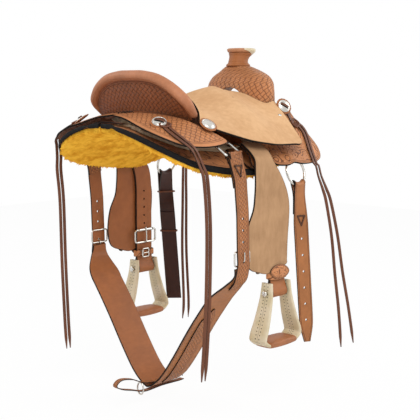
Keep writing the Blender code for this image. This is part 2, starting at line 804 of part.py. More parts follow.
def make_cantle():
    sheet("tree_cantle", cantle_grid(-0.22), CANTLE_BOARD_THICKNESS, "tree_wood", (-1, 0, 0), offset=0.0)
    back = raised(cantle_grid(0.04), CANTLE_BOARD_THICKNESS / 2 + LAYER_GAP, (-1, 0, 0))
    sheet("cantle_back", back, CANTLE_BACK_THICKNESS, "tooled_leather", (-1, 0, 0))

    rings = []
    for share in np.linspace(-1.0, 1.0, 27):
        centre, backward, outward = cantle_frame(share)
        taper = 1.0 - 0.40 * max(0.0, abs(share) - 0.8) / 0.2
        ring = []
        for angle in np.linspace(0, 2 * math.pi, 10, endpoint=False):
            reach = ROLL_REACH / 2 * (1 + math.cos(angle)) - ROLL_FRONT
            rise = ROLL_RADIUS * math.sin(angle) - 0.10 * (reach + ROLL_FRONT)
            ring.append(centre + (backward * reach + outward * rise) * taper)
        rings.append(ring)
    loft("cantle_roll", rings, "plain_leather")


# Seat.
SEAT_STATION_X = (-0.180, -0.130, -0.060, 0.000, 0.045, 0.080, 0.120, 0.160, 0.200, 0.235)
SEAT_CROWN_Z = (0.074, 0.064, SEAT_LOW_Z, 0.083, 0.108, 0.120, 0.126, 0.138, 0.163, 0.172)
SEAT_LIP_Y = (0.212, 0.232, 0.256, SEAT_LIP_HALF_WIDTH, 0.268, 0.268, 0.264, 0.258, 0.246, 0.225)
SEAT_LIP_Z = (0.014, 0.000, -0.021, -0.031, -0.036, -0.037, -0.038, -0.040, -0.036, -0.020)
SEAT_BULGE = (2.6, 2.6, 2.6, 2.4, 2.1, 1.9, 1.7, 1.6, 1.55, 1.5)
SEAT_SPLIT_X = 0.078


def seat_height(x, y):
    crown = along(x, SEAT_STATION_X, SEAT_CROWN_Z)
    lip_y = along(x, SEAT_STATION_X, SEAT_LIP_Y)
    lip_z = along(x, SEAT_STATION_X, SEAT_LIP_Z)
    bulge = along(x, SEAT_STATION_X, SEAT_BULGE)
    return lip_z + (crown - lip_z) * (1 - min(abs(y) / lip_y, 1.0) ** bulge)


def seat_inner(x):
    """Half width of the opening round the fork at x, with room for its cover."""
    room = 0.004
    reach = abs(x - FORK_X) / (FORK_HALF_THICKNESS + room)
    if reach >= 1:
        return 0.040
    return (FORK_HALF_WIDTH + room) * (1 - reach**2.5) ** (1 / 2.5)


SEAT_COLUMNS = 8
SEAT_SHARES = np.linspace(-1.0, 1.0, 2 * SEAT_COLUMNS + 1)
SEAT_ROWS_UP_CANTLE = 4
SEAT_FIRST_X = -0.125
SEAT_ROW_X = (SEAT_FIRST_X, -0.095, -0.060, -0.025, 0.010, 0.045, SEAT_SPLIT_X, 0.102, 0.126, 0.150,
              0.172, 0.192, 0.210)
SEAT_OPEN_SHARE = 2 / SEAT_COLUMNS
SEAT_FRONT_SWEEP = 0.032
SEAT_EAR = (-0.188, 0.206, 0.020)


def seat_rear_edge(share):
    """The seat's rear edge: along the front of the roll, then out to the ear behind the leg."""
    along_roll = abs(share) / 0.75
    if along_roll <= 1.001:
        centre, backward, outward = cantle_frame(math.copysign(min(along_roll, 1.0) * 0.97, share))
        return centre - backward * (ROLL_FRONT + 0.0060) - outward * 0.004
    end = seat_rear_edge(math.copysign(0.75, share))
    ear = np.array(SEAT_EAR) * np.array([1.0, math.copysign(1.0, share), 1.0])
    t = (abs(share) - 0.75) / 0.25
    return end * (1 - t) + ear * t - np.array([0.0, 0.0, 0.010]) * math.sin(math.pi * t)


def seat_grid():
    rows = []
    lip = along(SEAT_FIRST_X, SEAT_STATION_X, SEAT_LIP_Y)
    for t in np.linspace(0.0, 1.0, SEAT_ROWS_UP_CANTLE, endpoint=False):
        row = []
        for share in SEAT_SHARES:
            top = seat_rear_edge(share)
            foot = np.array([SEAT_FIRST_X, share * lip, seat_height(SEAT_FIRST_X, share * lip)])
            bow = 0.024 * math.sin(math.pi * t) * max(0.0, 1 - abs(share) / 0.75)
            row.append(top * (1 - t) + foot * t - np.array([0.5 * bow, 0.0, bow]))
        rows.append(row)
    for x in SEAT_ROW_X:
        lip = along(x, SEAT_STATION_X, SEAT_LIP_Y)
        sweep = SEAT_FRONT_SWEEP * max(0.0, (x - 0.13) / (SEAT_ROW_X[-1] - 0.13))
        row = []
        for share in SEAT_SHARES:
            y = share * lip
            if x > SEAT_SPLIT_X - 0.001:
                inner = seat_inner(x)
                if abs(share) <= SEAT_OPEN_SHARE + 1e-6:
                    y = inner * share / SEAT_OPEN_SHARE
                else:
                    amount = (abs(share) - SEAT_OPEN_SHARE) / (1 - SEAT_OPEN_SHARE)
                    y = math.copysign(inner + (lip - inner) * amount, share)
            row.append((x - sweep * abs(y / lip) ** 2, y, seat_height(x, y)))
        rows.append(row)
    return np.array(rows)


def make_seat():
    """One leather from the cantle to the front, open round the fork and at the hand hole."""
    split_row = SEAT_ROWS_UP_CANTLE + SEAT_ROW_X.index(SEAT_SPLIT_X)
    open_from = SEAT_COLUMNS - round(SEAT_OPEN_SHARE * SEAT_COLUMNS)
    open_to = 2 * SEAT_COLUMNS - open_from

    def skip(i, j):
        return i >= split_row and open_from <= j < open_to

    sheet("seat", seat_grid(), SEAT_THICKNESS, "seat_suede", (0, 0, 1), skip)


def make_ground_seat():
    """The shaped filling between the bars and the seat leather."""
    rings = []
    for x in np.linspace(-0.120, 0.055, 7):
        ys = np.linspace(-0.100, 0.100, 9)
        upper = [(x, y, seat_height(x, y) - 0.0022) for y in ys]
        lower = []
        for y in ys:
            plan_y = abs(y) * 0.80
            rest = back_point(x, plan_y, BAR_LIFT + BAR_THICKNESS + STRAP_THICKNESS + 0.0035)
            lower.append((x, y, rest[2]))
        rings.append(upper + lower[::-1])
    return loft("ground_seat", rings, "dark_leather")


# Rear jockeys.
JOCKEY_INNER = (
    (-0.226, 0.004, 0.048), (-0.222, 0.060, 0.046), (-0.214, 0.110, 0.041), (-0.205, 0.150, 0.034),
    (-0.193, 0.184, 0.020), (-0.180, 0.203, 0.003),
)
JOCKEY_OUTER = (
    (-0.306, 0.004, 0.043), (-0.312, 0.050, 0.037), (-0.319, 0.100, 0.023), (-0.326, 0.150, 0.009),
    (-0.317, 0.200, -0.008), (-0.292, 0.238, -0.024), (-0.250, 0.250, -0.030), (-0.210, 0.254, -0.031),
    (-0.165, 0.251, -0.028), (-0.136, 0.243, -0.021), (-0.146, 0.222, -0.008),
)


def jockey_grid(side):
    return side_of(lofted_grid(JOCKEY_INNER, JOCKEY_OUTER, 15, 7, 1.5), side)


def make_rear_jockey(name, side):
    sheet(name, jockey_grid(side), JOCKEY_THICKNESS, "tooled_leather", (0, 0, 1))


# Conchos with their leather rosettes.
def make_concho(name, centre, normal):
    made = turned(
        name,
        (
            (0.0, 0.0075), (0.006, 0.0072), (0.012, 0.0058), (CONCHO_RADIUS - 0.001, 0.0032),
            (CONCHO_RADIUS, 0.0026), (ROSETTE_RADIUS, 0.0024), (ROSETTE_RADIUS, 0.0), (0.0, 0.0),
        ),
        "nickel",
        16,
    )
    turn = turn_from_z(normal)
    for vertex in made.data.vertices:
        vertex.co = turn @ np.array(vertex.co) + np.asarray(centre, float)
    return made


REAR_CONCHO_AT = (5.3, 3.5)
FRONT_CONCHO_AT = (15.0, 0.7)


def make_conchos():
    up = (0, 0, 1)
    for word, side in SIDES:
        centre, normal = spot_on(jockey_grid(side), *REAR_CONCHO_AT, JOCKEY_THICKNESS + 0.0010, up)
        make_concho(f"concho_rear_{word}", centre, normal)
        column = 2 * SEAT_COLUMNS - 0.1 if side > 0 else 0.1
        centre, normal = spot_on(seat_grid(), 0.9, column, SEAT_THICKNESS + 0.0022, up)
        make_concho(f"concho_middle_{word}", centre, normal)
        centre, normal = spot_on(plate_grid(side), *FRONT_CONCHO_AT, PLATE_THICKNESS + 0.0020, up)
        make_concho(f"concho_front_{word}", centre, normal)


# Fenders, stirrup leathers and stirrups. Points are (distance from the centre plane, height).
FENDER_Y = LEATHER_INNER_Y + 2 * STRAP_THICKNESS + 3 * TOUCH_GAP + 0.0006
FENDER_LEVEL_Z = (-0.072, -0.100, -0.130, -0.165, -0.200, -0.240, -0.280, -0.315, -0.345, -0.360, FENDER_BOTTOM_Z)
FENDER_REAR_X = (-0.053, -0.051, -0.050, -0.052, -0.058, -0.078, -0.087, -0.088, -0.080, -0.062, -0.036)
FENDER_FRONT_X = (0.020, 0.044, 0.066, 0.084, 0.092, 0.091, 0.087, 0.085, 0.084, 0.080, 0.030)


def make_fender(name, side):
    """A flat panel with a round top end centred on its hinge line."""
    rows = []
    for angle in (80, 60, 40, 20):
        z = FENDER_HINGE_Z + FENDER_NECK_HALF_WIDTH * math.sin(math.radians(angle))
        half = FENDER_NECK_HALF_WIDTH * math.cos(math.radians(angle))
        rows.append([(FENDER_HINGE_X - half, z), (FENDER_HINGE_X + half, z)])
    for z, rear, front in zip(FENDER_LEVEL_Z, FENDER_REAR_X, FENDER_FRONT_X):
        rows.append([(rear, z), (front, z)])
    grid = []
    for (rear, z), (front, _) in rows:
        grid.append([(x, FENDER_Y, z) for x in np.linspace(rear, front, 4)])
    return sheet(name, side_of(grid, side), FENDER_THICKNESS, "fender_suede", (0, side, 0))


def leather_x(z):
    """The leather runs from the bar's groove forward to the stirrup."""
    t = min(max((-z - 0.03) / 0.13, 0.0), 1.0)
    return FENDER_HINGE_X + (LEATHER_X - FENDER_HINGE_X) * (3 * t**2 - 2 * t**3)


def make_stirrup_leather(name, side):
    """One strap: round the bar, down in two layers and round the stirrup's roller."""
    t = STRAP_THICKNESS
    x0 = FENDER_HINGE_X
    inner_layer = LEATHER_INNER_Y + t / 2
    outer_layer = inner_layer + t + TOUCH_GAP
    bolt_y = 0.5 * (inner_layer + outer_layer)
    over = t / 2 + 0.0018
    under = SKIRT_TOP + 0.0015 + t / 2
    steps = (-0.5, 0.0, 0.5)
    rows = []

    def free(y, z):
        rows.append([(leather_x(z) + s * LEATHER_WIDTH, y, z) for s in steps])

    def on_bar(y, lift=None):
        row = []
        for s in steps:
            x = x0 + s * LEATHER_WIDTH
            row.append(back_point(x, y, bar_top_lift(x, y) + over if lift is None else lift))
        rows.append(row)

    for z in (LEATHER_JOIN_Z + 0.004, -0.250, -0.180, -0.122):
        free(outer_layer, z)
    for y, z in ((0.2590, -0.0880), (0.2440, -0.0600), (0.2200, -0.0400), (0.1950, -0.0305)):
        rows.append([(x0 + s * LEATHER_WIDTH, y, z) for s in steps])
    for share in (1.0, 0.67, 0.33, 0.0):
        on_bar(bar_inner(x0) + (bar_outer(x0) - bar_inner(x0)) * share)
    on_bar(bar_inner(x0) - 0.0085, 0.5 * (bar_top_lift(x0, bar_inner(x0)) + over + under))
    for y in (bar_inner(x0), 0.090, 0.125, bar_outer(x0), 0.180):
        on_bar(y, under)
    over_binding = SKIRT_TOP + LAYER_GAP + BINDING_THICKNESS + 0.0012 + t / 2
    on_bar(0.202, 0.5 * (under + over_binding))
    on_bar(0.216, over_binding)
    on_bar(0.228, over_binding + 0.0006)
    rows.append([(x0 + s * LEATHER_WIDTH, 0.2556, -0.0925) for s in steps])
    for z in (-0.110, -0.135, -0.180, -0.250, -0.330, HOBBLE_Z - HOBBLE_HALF_HEIGHT):
        free(inner_layer, z)
    wrap = STIRRUP_ROLLER_RADIUS + RUNNING_GAP + t / 2
    for y, z in arc((bolt_y, STIRRUP_BOLT_Z), wrap, 150, 390, 9):
        free(y, z)
    free(outer_layer, HOBBLE_Z - HOBBLE_HALF_HEIGHT)
    free(outer_layer, LEATHER_JOIN_Z - 0.004)
    return sheet(name, side_of(rows, side), t, "plain_leather", (0, 0, 1), offset=0.0)


def make_stirrup(word, side):
    bolt_y = LEATHER_INNER_Y + STRAP_THICKNESS + TOUCH_GAP / 2
    half_top = STIRRUP_TOP_WIDTH / 2
    half_low = STIRRUP_BOTTOM_WIDTH / 2
    middle = LEATHER_X
    bar_z = STIRRUP_BOTTOM_Z + TREAD_WRAP_THICKNESS + 0.006
    side_line = smooth_path(
        [
            (half_top, STIRRUP_TOP_Z), (half_top + 0.004, STIRRUP_TOP_Z - 0.040), (half_low - 0.019, -0.500),
            (half_low - 0.001, -0.548), (half_low - 0.004, bar_z + 0.010), (half_low - 0.018, bar_z),
        ],
        9,
    )
    line = [(-x, z) for x, z in side_line] + [(0.0, bar_z)] + [(x, z) for x, z in side_line[::-1]]
    line = np.array(line)
    rings = []
    for n, (x, z) in enumerate(line):
        before = line[max(n - 1, 0)]
        after = line[min(n + 1, len(line) - 1)]
        run = (after - before) / np.linalg.norm(after - before)
        outward = np.array([run[1], -run[0]])
        if outward @ np.array([x, z + 0.49]) < 0:
            outward = -outward
        share = (STIRRUP_TOP_Z - z) / (STIRRUP_TOP_Z - STIRRUP_BOTTOM_Z)
        depth = STIRRUP_TOP_DEPTH + (STIRRUP_BOTTOM_DEPTH - STIRRUP_TOP_DEPTH) * min(share / 0.75, 1.0)
        half_y = depth / 2
        half_t = STIRRUP_BRANCH_THICKNESS / 2
        ring = []
        for dy, dt in ((-1, -0.6), (-0.9, -1), (0.9, -1), (1, -0.6), (1, 0.6), (0.9, 1), (-0.9, 1), (-1, 0.6)):
            px, pz = np.array([x, z]) + outward * dt * half_t
            ring.append((middle + px, side * bolt_y + dy * half_y, pz))
        rings.append(ring)
    frame = loft(f"stirrup_{word}", rings, "rawhide")
    hole = cutter(
        f"stirrup_bolt_hole_{word}",
        [(middle, side * bolt_y, STIRRUP_BOLT_Z)],
        (1, 0, 0),
        STIRRUP_BOLT_RADIUS + TOUCH_GAP,
        0.20,
        12,
    )
    cut(frame, hole)

    wrap_rings = []
    inner_half = half_low - 0.020
    for x in np.linspace(-inner_half, inner_half, 7):
        swell = 0.0025 * (1 - (x / inner_half) ** 2)
        ring = []
        half_y = STIRRUP_BOTTOM_DEPTH / 2 + TREAD_WRAP_THICKNESS * 0.5 + swell
        half_z = STIRRUP_BRANCH_THICKNESS / 2 + TREAD_WRAP_THICKNESS + swell
        for angle in np.linspace(0, 2 * math.pi, 12, endpoint=False):
            c, s = math.cos(angle), math.sin(angle)
            ring.append(
                (
                    middle + x,
                    side * bolt_y + half_y * math.copysign(abs(c) ** 0.6, c),
                    bar_z + half_z * math.copysign(abs(s) ** 0.6, s),
                )
            )
        wrap_rings.append(ring)
    tread = loft(f"stirrup_tread_{word}", wrap_rings, "plain_leather")
    bore = []
    for x in (-half_low - 0.01, half_low + 0.01):
        half_y = STIRRUP_BOTTOM_DEPTH / 2 + TOUCH_GAP
        half_z = STIRRUP_BRANCH_THICKNESS / 2 + TOUCH_GAP
        corners = ((1, -1), (1, 1), (-1, 1), (-1, -1))
        bore.append([(middle + x, side * bolt_y + a * half_y, bar_z + b * half_z) for a, b in corners])
    core = loft(f"tread_core_cut_{word}", bore, "rawhide")
    to_cutters(core)
    cut(tread, core)

    reach = half_top + 0.0050 + STIRRUP_BRANCH_THICKNESS / 2 + 0.001
    clear = half_top - STIRRUP_BRANCH_THICKNESS / 2 - 0.003
    bolt = turned(
        f"stirrup_bolt_{word}",
        (
            (0.0, reach + 0.005), (0.008, reach + 0.004), (0.008, reach), (STIRRUP_BOLT_RADIUS, reach),
            (STIRRUP_BOLT_RADIUS, clear), (STIRRUP_ROLLER_RADIUS, clear), (STIRRUP_ROLLER_RADIUS, -clear),
            (STIRRUP_BOLT_RADIUS, -clear), (STIRRUP_BOLT_RADIUS, -reach), (0.008, -reach),
            (0.008, -reach - 0.004), (0.0, -reach - 0.005),
        ),
        "nickel",
        14,
    )
    turn = turn_from_z((1, 0, 0))
    for vertex in bolt.data.vertices:
        vertex.co = turn @ np.array(vertex.co) + np.array([middle, side * bolt_y, STIRRUP_BOLT_Z])


def rounded_box_ring(centre, half_a, half_b, corner, count=4):
    """A rectangle with round corners in a plane, as (a, b) points."""
    ring = []
    for sx, sy, start in ((1, 1, 0), (-1, 1, 90), (-1, -1, 180), (1, -1, 270)):
        corner_centre = (centre[0] + sx * (half_a - corner), centre[1] + sy * (half_b - corner))
        ring += arc(corner_centre, corner, start, start + 90, count)
    return ring


def make_leather_buckle(name, side):
    """The frame of the stirrup leather's buckle, on the inner side."""
    y = LEATHER_INNER_Y - LEATHER_BUCKLE_WIRE_RADIUS - 0.0006
    ring = rounded_box_ring((LEATHER_X, -0.333), LEATHER_WIDTH / 2 + 0.011, 0.019, 0.008)
    points = [(x, side * y, z) for x, z in ring]
    return wire(name, points, LEATHER_BUCKLE_WIRE_RADIUS, "nickel", cyclic=True, resolution=1)


def make_hobble(name, side):
    """The strap that holds the leather together above the stirrup, wide on its outer face."""
    inner_y = LEATHER_INNER_Y - 0.0015
    outer_y = LEATHER_INNER_Y + 2 * STRAP_THICKNESS + TOUCH_GAP + 0.0015
    middle_y = 0.5 * (inner_y + outer_y)
    half_x = LEATHER_WIDTH / 2 + 0.0015
    ring = rounded_box_ring((LEATHER_X, middle_y), half_x + 0.002, 0.5 * (outer_y - inner_y) + 0.0006, 0.003, 3)
    rows = []
    for level in (-1.0, 0.0, 1.0):
        row = []
        for x, y in ring:
            outer_share = (y - inner_y) / (outer_y - inner_y)
            swell = max(0.0, outer_share) * math.cos((x - LEATHER_X) / half_x * 1.2)
            half = HOBBLE_HALF_HEIGHT * (0.65 + 0.35 * swell)
            row.append((x, side * y, HOBBLE_Z + level * half))
        row.append(row[0])
        rows.append(row)
    grid = np.array(rows)
    count = len(ring)
    faces = []
    for i in range(2):
        for j in range(count):
            k = (j + 1) % count
            faces.append((i * count + j, i * count + k, (i + 1) * count + k, (i + 1) * count + j))
    points = grid[:, :-1].reshape(-1, 3)
    centre = points.mean(axis=0)
    a, b, c, _ = faces[0]
    facing = np.cross(points[b] - points[a], points[c] - points[a]) @ (points[a] - centre)
    if facing < 0:
        faces = [face[::-1] for face in faces]
    made = add_object(name, mesh_from(name, points, faces), "tooled_leather")
    shell = made.modifiers.new("thickness", "SOLIDIFY")
    shell.thickness = 0.0026
    shell.offset = 1.0
    return made


# Front rigging.
def ring_point(angle, side, radius=RING_RADIUS):
    """A point of the ring, angle in degrees from its front, in its leaning plane."""
    a = math.radians(angle)
    lean = math.radians(RING_LEAN_DEGREES)
    rise = radius * math.sin(a)
    return (
        RING_X + radius * math.cos(a),
        side * (RING_Y - rise * math.sin(lean)),
        RING_Z + rise * math.cos(lean),
    )


def make_ring(name, side):
    points = [ring_point(15.0 * n, side) for n in range(24)]
    return wire(name, points, RING_WIRE_RADIUS, "nickel", cyclic=True, resolution=1)


def strap_holes(name, made, points, direction, radius=0.0028):
    cut(made, cutter(name, points, direction, radius, 0.020, 8))


def looped_row(x, y, z, width, wire_z, turn=0.0):
    """A row across a strap; where it goes round the ring it bows up with the ring's wire."""
    row = []
    bow = float(np.clip(1 - (wire_z - z) / 0.035, 0.0, 1.0))
    for s in (-0.5, -0.25, 0.0, 0.25, 0.5):
        d = s * width
        rise = (RING_RADIUS - math.sqrt(RING_RADIUS**2 - d**2)) * bow
        lean = -rise * math.tan(math.radians(RING_LEAN_DEGREES))
        row.append((x + d * math.cos(turn), y + lean - d * math.sin(turn), z + rise))
    return row


def make_off_billet():
    """A doubled strap looped through the right ring and hanging in front of the fender."""
    t = STRAP_THICKNESS
    _, y, wire_z = ring_point(-90, 1.0)
    wrap = RING_WIRE_RADIUS + RING_LOOP_GAP + t / 2
    step = (t + TOUCH_GAP) / 2
    bottom = wire_z - OFF_BILLET_LENGTH

    path = [(y - step, wire_z - 0.080), (y - step, wire_z - 0.030)]
    path += arc((y, wire_z), wrap, 210, -30, 9)
    path += [(y + step, wire_z - 0.030), (y + step, wire_z - 0.080)]
    path += [(y + step, z) for z in np.linspace(wire_z - 0.110, bottom, 8)]
    rows = []
    for n, (across_y, z) in enumerate(path):
        left = len(path) - 1 - n
        width = BILLET_WIDTH * (0.45 if left == 0 else 0.92 if left == 1 else 1.0)
        drift = OFF_BILLET_DRIFT * max(0.0, (wire_z - z) / OFF_BILLET_LENGTH)
        rows.append(looped_row(RING_X + drift, across_y, z, width, wire_z))
    made = sheet("off_billet", side_of(rows, -1), t, "tooled_leather", (0, 0, 1), offset=0.0)
    spots = []
    for k in range(6):
        z = wire_z - 0.150 - 0.047 * k
        drift = OFF_BILLET_DRIFT * (wire_z - z) / OFF_BILLET_LENGTH
        spots.append((RING_X + drift, -(y + step), z))
    strap_holes("off_billet_holes", made, spots, (0, 1, 0))
    return made


def make_latigo():
    """The long strap on the left ring, folded back on itself, turned to the rear as it hangs."""
    t = 0.0040
    _, y, wire_z = ring_point(-90, 1.0)
    wrap = RING_WIRE_RADIUS + RING_LOOP_GAP + t / 2
    step = t + TOUCH_GAP * 2
    bottom = wire_z - LATIGO_LENGTH
    fold = 0.5 * step

    path = [(y - 1.5 * step, z) for z in np.linspace(wire_z - 0.120, bottom + 0.030, 4)]
    path += arc((y - step, bottom + 0.004), fold, 180, 360, 5)
    path += [(y - 0.5 * step, z) for z in np.linspace(bottom + 0.030, wire_z - 0.050, 6)]
    path += arc((y, wire_z), wrap, 205, -25, 9)
    path += [(y + 0.5 * step, z) for z in np.linspace(wire_z - 0.050, bottom + 0.020, 6)]
    rows = []
    for across_y, z in path:
        turn = LATIGO_TURN * float(np.clip((wire_z - 0.020 - z) / 0.090, 0.0, 1.0))
        drift = LATIGO_DRIFT * max(0.0, (wire_z - z) / LATIGO_LENGTH)
        aside = across_y - y
        x = RING_X + drift + aside * math.sin(turn)
        rows.append(looped_row(x, y + aside * math.cos(turn), z, LATIGO_WIDTH, wire_z, turn))
    return sheet("latigo", rows, t, "dark_leather", (0, 0, 1), offset=0.0)


# Flank set.
def flank_x(z):
    """The flank billets lean forward from the dees to the buckles."""
    return float(np.interp(z, (-0.330, -0.200, -0.100, FLANK_HINGE_Z), (FLANK_BUCKLE_X, -0.117, -0.128, FLANK_HINGE_X)))


def make_rear_dee(name, side):
    """A dee whose arms end in a leaf on the edge of the tree's bar."""
    plan_y = bar_outer(FLANK_HINGE_X) - 0.010
    leaf = back_point(FLANK_HINGE_X, plan_y, bar_top_lift(FLANK_HINGE_X, plan_y) + DEE_WIRE_RADIUS + DEE_LEAF_GAP)
    bar_y = FLANK_Y - (STRAP_THICKNESS + TOUCH_GAP) / 2
    half = FLANK_BILLET_WIDTH / 2 + 0.006
    bend = (leaf[1] + 0.6 * (bar_y - leaf[1]), leaf[2] + 0.10 * (FLANK_HINGE_Z - leaf[2]))
    arm = [(leaf[1], leaf[2]), bend, (bar_y, FLANK_HINGE_Z)]
    points = [(FLANK_HINGE_X - half, y, z) for y, z in arm]
    points = points + [(2 * FLANK_HINGE_X - x, y, z) for x, y, z in points[::-1]]
    return wire(name, side_of(points, side), DEE_WIRE_RADIUS, "nickel", cyclic=True, resolution=2)


def flank_cinch_line():
    return smooth_path(
        [
            (FLANK_Y - 0.0070, FLANK_BUCKLE_Z - 0.0250), (0.2756, -0.367), (0.2580, -0.391), (0.2200, -0.432),
            (0.1600, -0.512), (0.1000, -0.601), (0.0550, -0.661), (0.0200, -0.691), (0.0, FLANK_BOTTOM_Z),
        ],
        15,
    )


def flank_tail():
    """The end of the billet lying on the outside of the cinch."""
    line = flank_cinch_line()
    tail = []
    for n in (1, 2):
        run = line[n + 1] - line[n - 1]
        run /= np.linalg.norm(run)
        outward = np.array([-run[1], run[0]])
        tail.append(tuple(line[n] + outward * (0.5 * CINCH_THICKNESS + 0.5 * STRAP_THICKNESS + LAYER_GAP)))
    return tail


def make_flank_billet(name, side):
    """Folded round the dee's bar, down past the buckle, its end on the cinch."""
    t = STRAP_THICKNESS
    y = FLANK_Y
    bar_y, bar_z = y - (t + TOUCH_GAP) / 2, FLANK_HINGE_Z
    wrap = DEE_WIRE_RADIUS + RUNNING_GAP + t / 2
    path = [(y - t - TOUCH_GAP, -0.130), (y - t - TOUCH_GAP, bar_z - 0.030)]
    path += arc((bar_y, bar_z), wrap, 210, -30, 9)
    path += [(y, z) for z in np.linspace(bar_z - 0.030, FLANK_BUCKLE_Z - 0.020, 9)]
    path += flank_tail()
    points = side_of([(flank_x(b), a, b) for a, b in path], side)
    points[-2:, 0] -= np.array([0.006, 0.016])
    widths = [FLANK_BILLET_WIDTH] * (len(points) - 1) + [FLANK_BILLET_WIDTH * 0.5]
    made = band(name, points, widths, t, "tooled_leather")
    slot_z = FLANK_BUCKLE_Z - 0.0085
    spots = [(FLANK_BUCKLE_X, side * y, slot_z + dz) for dz in (-0.004, 0.0, 0.004)]
    for n, spot in enumerate(spots):
        cut(made, cutter(f"{name}_slot_{n}", [spot], (0, 1, 0), 0.0034, 0.020, 8))
    return made


def make_flank_buckle(name, side):
    half = FLANK_BILLET_WIDTH / 2 + 0.006
    y = FLANK_Y - STRAP_THICKNESS / 2 - BUCKLE_WIRE_RADIUS - BUCKLE_GAP
    ring = rounded_box_ring((FLANK_BUCKLE_X, FLANK_BUCKLE_Z), half, BUCKLE_HALF_HEIGHT, 0.007, 3)
    points = [(a, side * y, b) for a, b in ring]
    return wire(name, points, BUCKLE_WIRE_RADIUS, "nickel", cyclic=True, resolution=1)


def make_flank_tongue(name, side):
    """The buckle's tongue: from the lower bar through the billet and over the upper bar."""
    frame_y = FLANK_Y - STRAP_THICKNESS / 2 - BUCKLE_WIRE_RADIUS - BUCKLE_GAP
    low_z = FLANK_BUCKLE_Z - BUCKLE_HALF_HEIGHT
    reach = BUCKLE_WIRE_RADIUS + TONGUE_RADIUS + RUNNING_GAP
    outside = FLANK_Y + STRAP_THICKNESS / 2 + TONGUE_RADIUS + RUNNING_GAP
    line = [
        *[(frame_y + dy, low_z + dz) for dy, dz in arc((0.0, 0.0), reach, 250, 90, 7)],
        (FLANK_Y - 0.0006, low_z + 0.0085), (outside, low_z + 0.0150), (outside, FLANK_BUCKLE_Z + 0.0160),
    ]
    points = [(FLANK_BUCKLE_X, side * y, z) for y, z in line]
    return wire(name, points, TONGUE_RADIUS, "nickel", resolution=1)


def make_flank_cinch():
    """The wide strap under the belly, from one flank buckle to the other."""
    half_line = flank_cinch_line()
    line = [(y, z) for y, z in half_line] + [(-y, z) for y, z in half_line[-2::-1]]
    points = [(FLANK_BUCKLE_X - FLANK_DRIFT * min(1.0, (FLANK_Y - abs(y)) / 0.06), y, z) for y, z in line]
    widths = []
    for n in range(len(line)):
        grow = min(min(n, len(line) - 1 - n) / 2.6, 1.0)
        widths.append(FLANK_CINCH_END_WIDTH + (FLANK_CINCH_WIDTH - FLANK_CINCH_END_WIDTH) * (3 * grow**2 - 2 * grow**3))
    return band("flank_cinch", points, widths, CINCH_THICKNESS, "tooled_leather")


def make_connector():
    """The small strap looped round the cinch at the bottom, with its loop to the rear."""
    x = FLANK_BUCKLE_X - FLANK_DRIFT
    z = FLANK_BOTTOM_Z
    front = x + FLANK_CINCH_WIDTH / 2 + 0.012
    rear = x - FLANK_CINCH_WIDTH / 2 - 0.012
    path = [(front + 0.022, z - 0.008), (front, z - 0.0085), (x, z - 0.0065), (rear, z - 0.0085), (rear - 0.045, z - 0.017)]
    path += [(rear - 0.085, z - 0.014), (rear - 0.104, z - 0.002), (rear - 0.085, z + 0.012), (rear - 0.045, z + 0.015)]
    path += [(rear, z + 0.010), (x, z + 0.0085), (front, z + 0.009), (front + 0.018, z + 0.003)]
    line = smooth_path(path, 30)
    points = [(a, 0.0, b) for a, b in line]
    return band("connector_strap", points, 0.016, 0.0025, "tooled_leather", across=(0, 1, 0))


# Laces: each one thong through the saddle, its two ends hanging side by side.
LACE_SPACING = 0.0130
LACE_GAP = 0.0024
LACE_FINE_STEP = 0.0100
LACE_FINE_REACH = 0.135
LACE_COARSE_STEP = 0.029
# Over the leathers: (x, distance from the centre plane), from the concho to the lower edge.
REAR_LACE_OVER = ((-0.284, 0.165), (-0.289, 0.180), (-0.292, 0.197), (-0.292, 0.214), (-0.290, 0.231), (-0.285, 0.246))
FRONT_LACE_OVER_RIGHT = (
    (0.234, 0.165), (0.246, 0.171), (0.252, 0.181), (0.250, 0.194), (0.240, 0.210), (0.227, 0.227), (0.214, 0.243),
    (0.204, 0.258),
)
FRONT_LACE_OVER_LEFT = (
    (0.234, 0.165), (0.246, 0.171), (0.252, 0.181), (0.251, 0.194), (0.247, 0.210), (0.242, 0.226), (0.237, 0.240),
    (0.2335, 0.251),
)
# Hanging stretches: (distance from the centre plane, height, x).
REAR_LACE_HANG_RIGHT = (
    (0.2620, -0.0380, -0.277), (0.2650, -0.0780, -0.256), (0.2640, -0.1120, -0.241), (0.2620, -0.2330, -0.229),
    (0.2620, -0.4100, -0.232), (0.2620, -0.5300, -0.240), (0.2620, -0.6180, -0.249),
)
REAR_LACE_HANG_LEFT = (
    (0.2620, -0.0380, -0.278), (0.2650, -0.0780, -0.274), (0.2640, -0.1120, -0.276), (0.2620, -0.2000, -0.270),
    (0.2620, -0.3700, -0.267), (0.2620, -0.5400, -0.261), (0.2620, -0.6280, -0.256),
)
FRONT_LACE_HANG_RIGHT = (
    (0.2760, -0.1000, 0.204), (0.2780, -0.1280, 0.212), (0.2780, -0.1660, 0.234), (0.2780, -0.2050, 0.252),
    (0.2800, -0.3060, 0.278), (0.2850, -0.4150, 0.290), (0.2920, -0.5240, 0.302), (0.3000, -0.6330, 0.306),
)
FRONT_LACE_HANG_LEFT = (
    (0.2730, -0.1000, 0.235), (0.2840, -0.1320, 0.250), (0.3000, -0.1900, 0.265), (0.3040, -0.2450, 0.268),
    (0.3040, -0.4100, 0.265), (0.3020, -0.5780, 0.269), (0.3020, -0.6400, 0.263),
)
FRONT_LACE_SPREAD_RIGHT = 0.050
FRONT_LACE_SPREAD_LEFT = 0.014


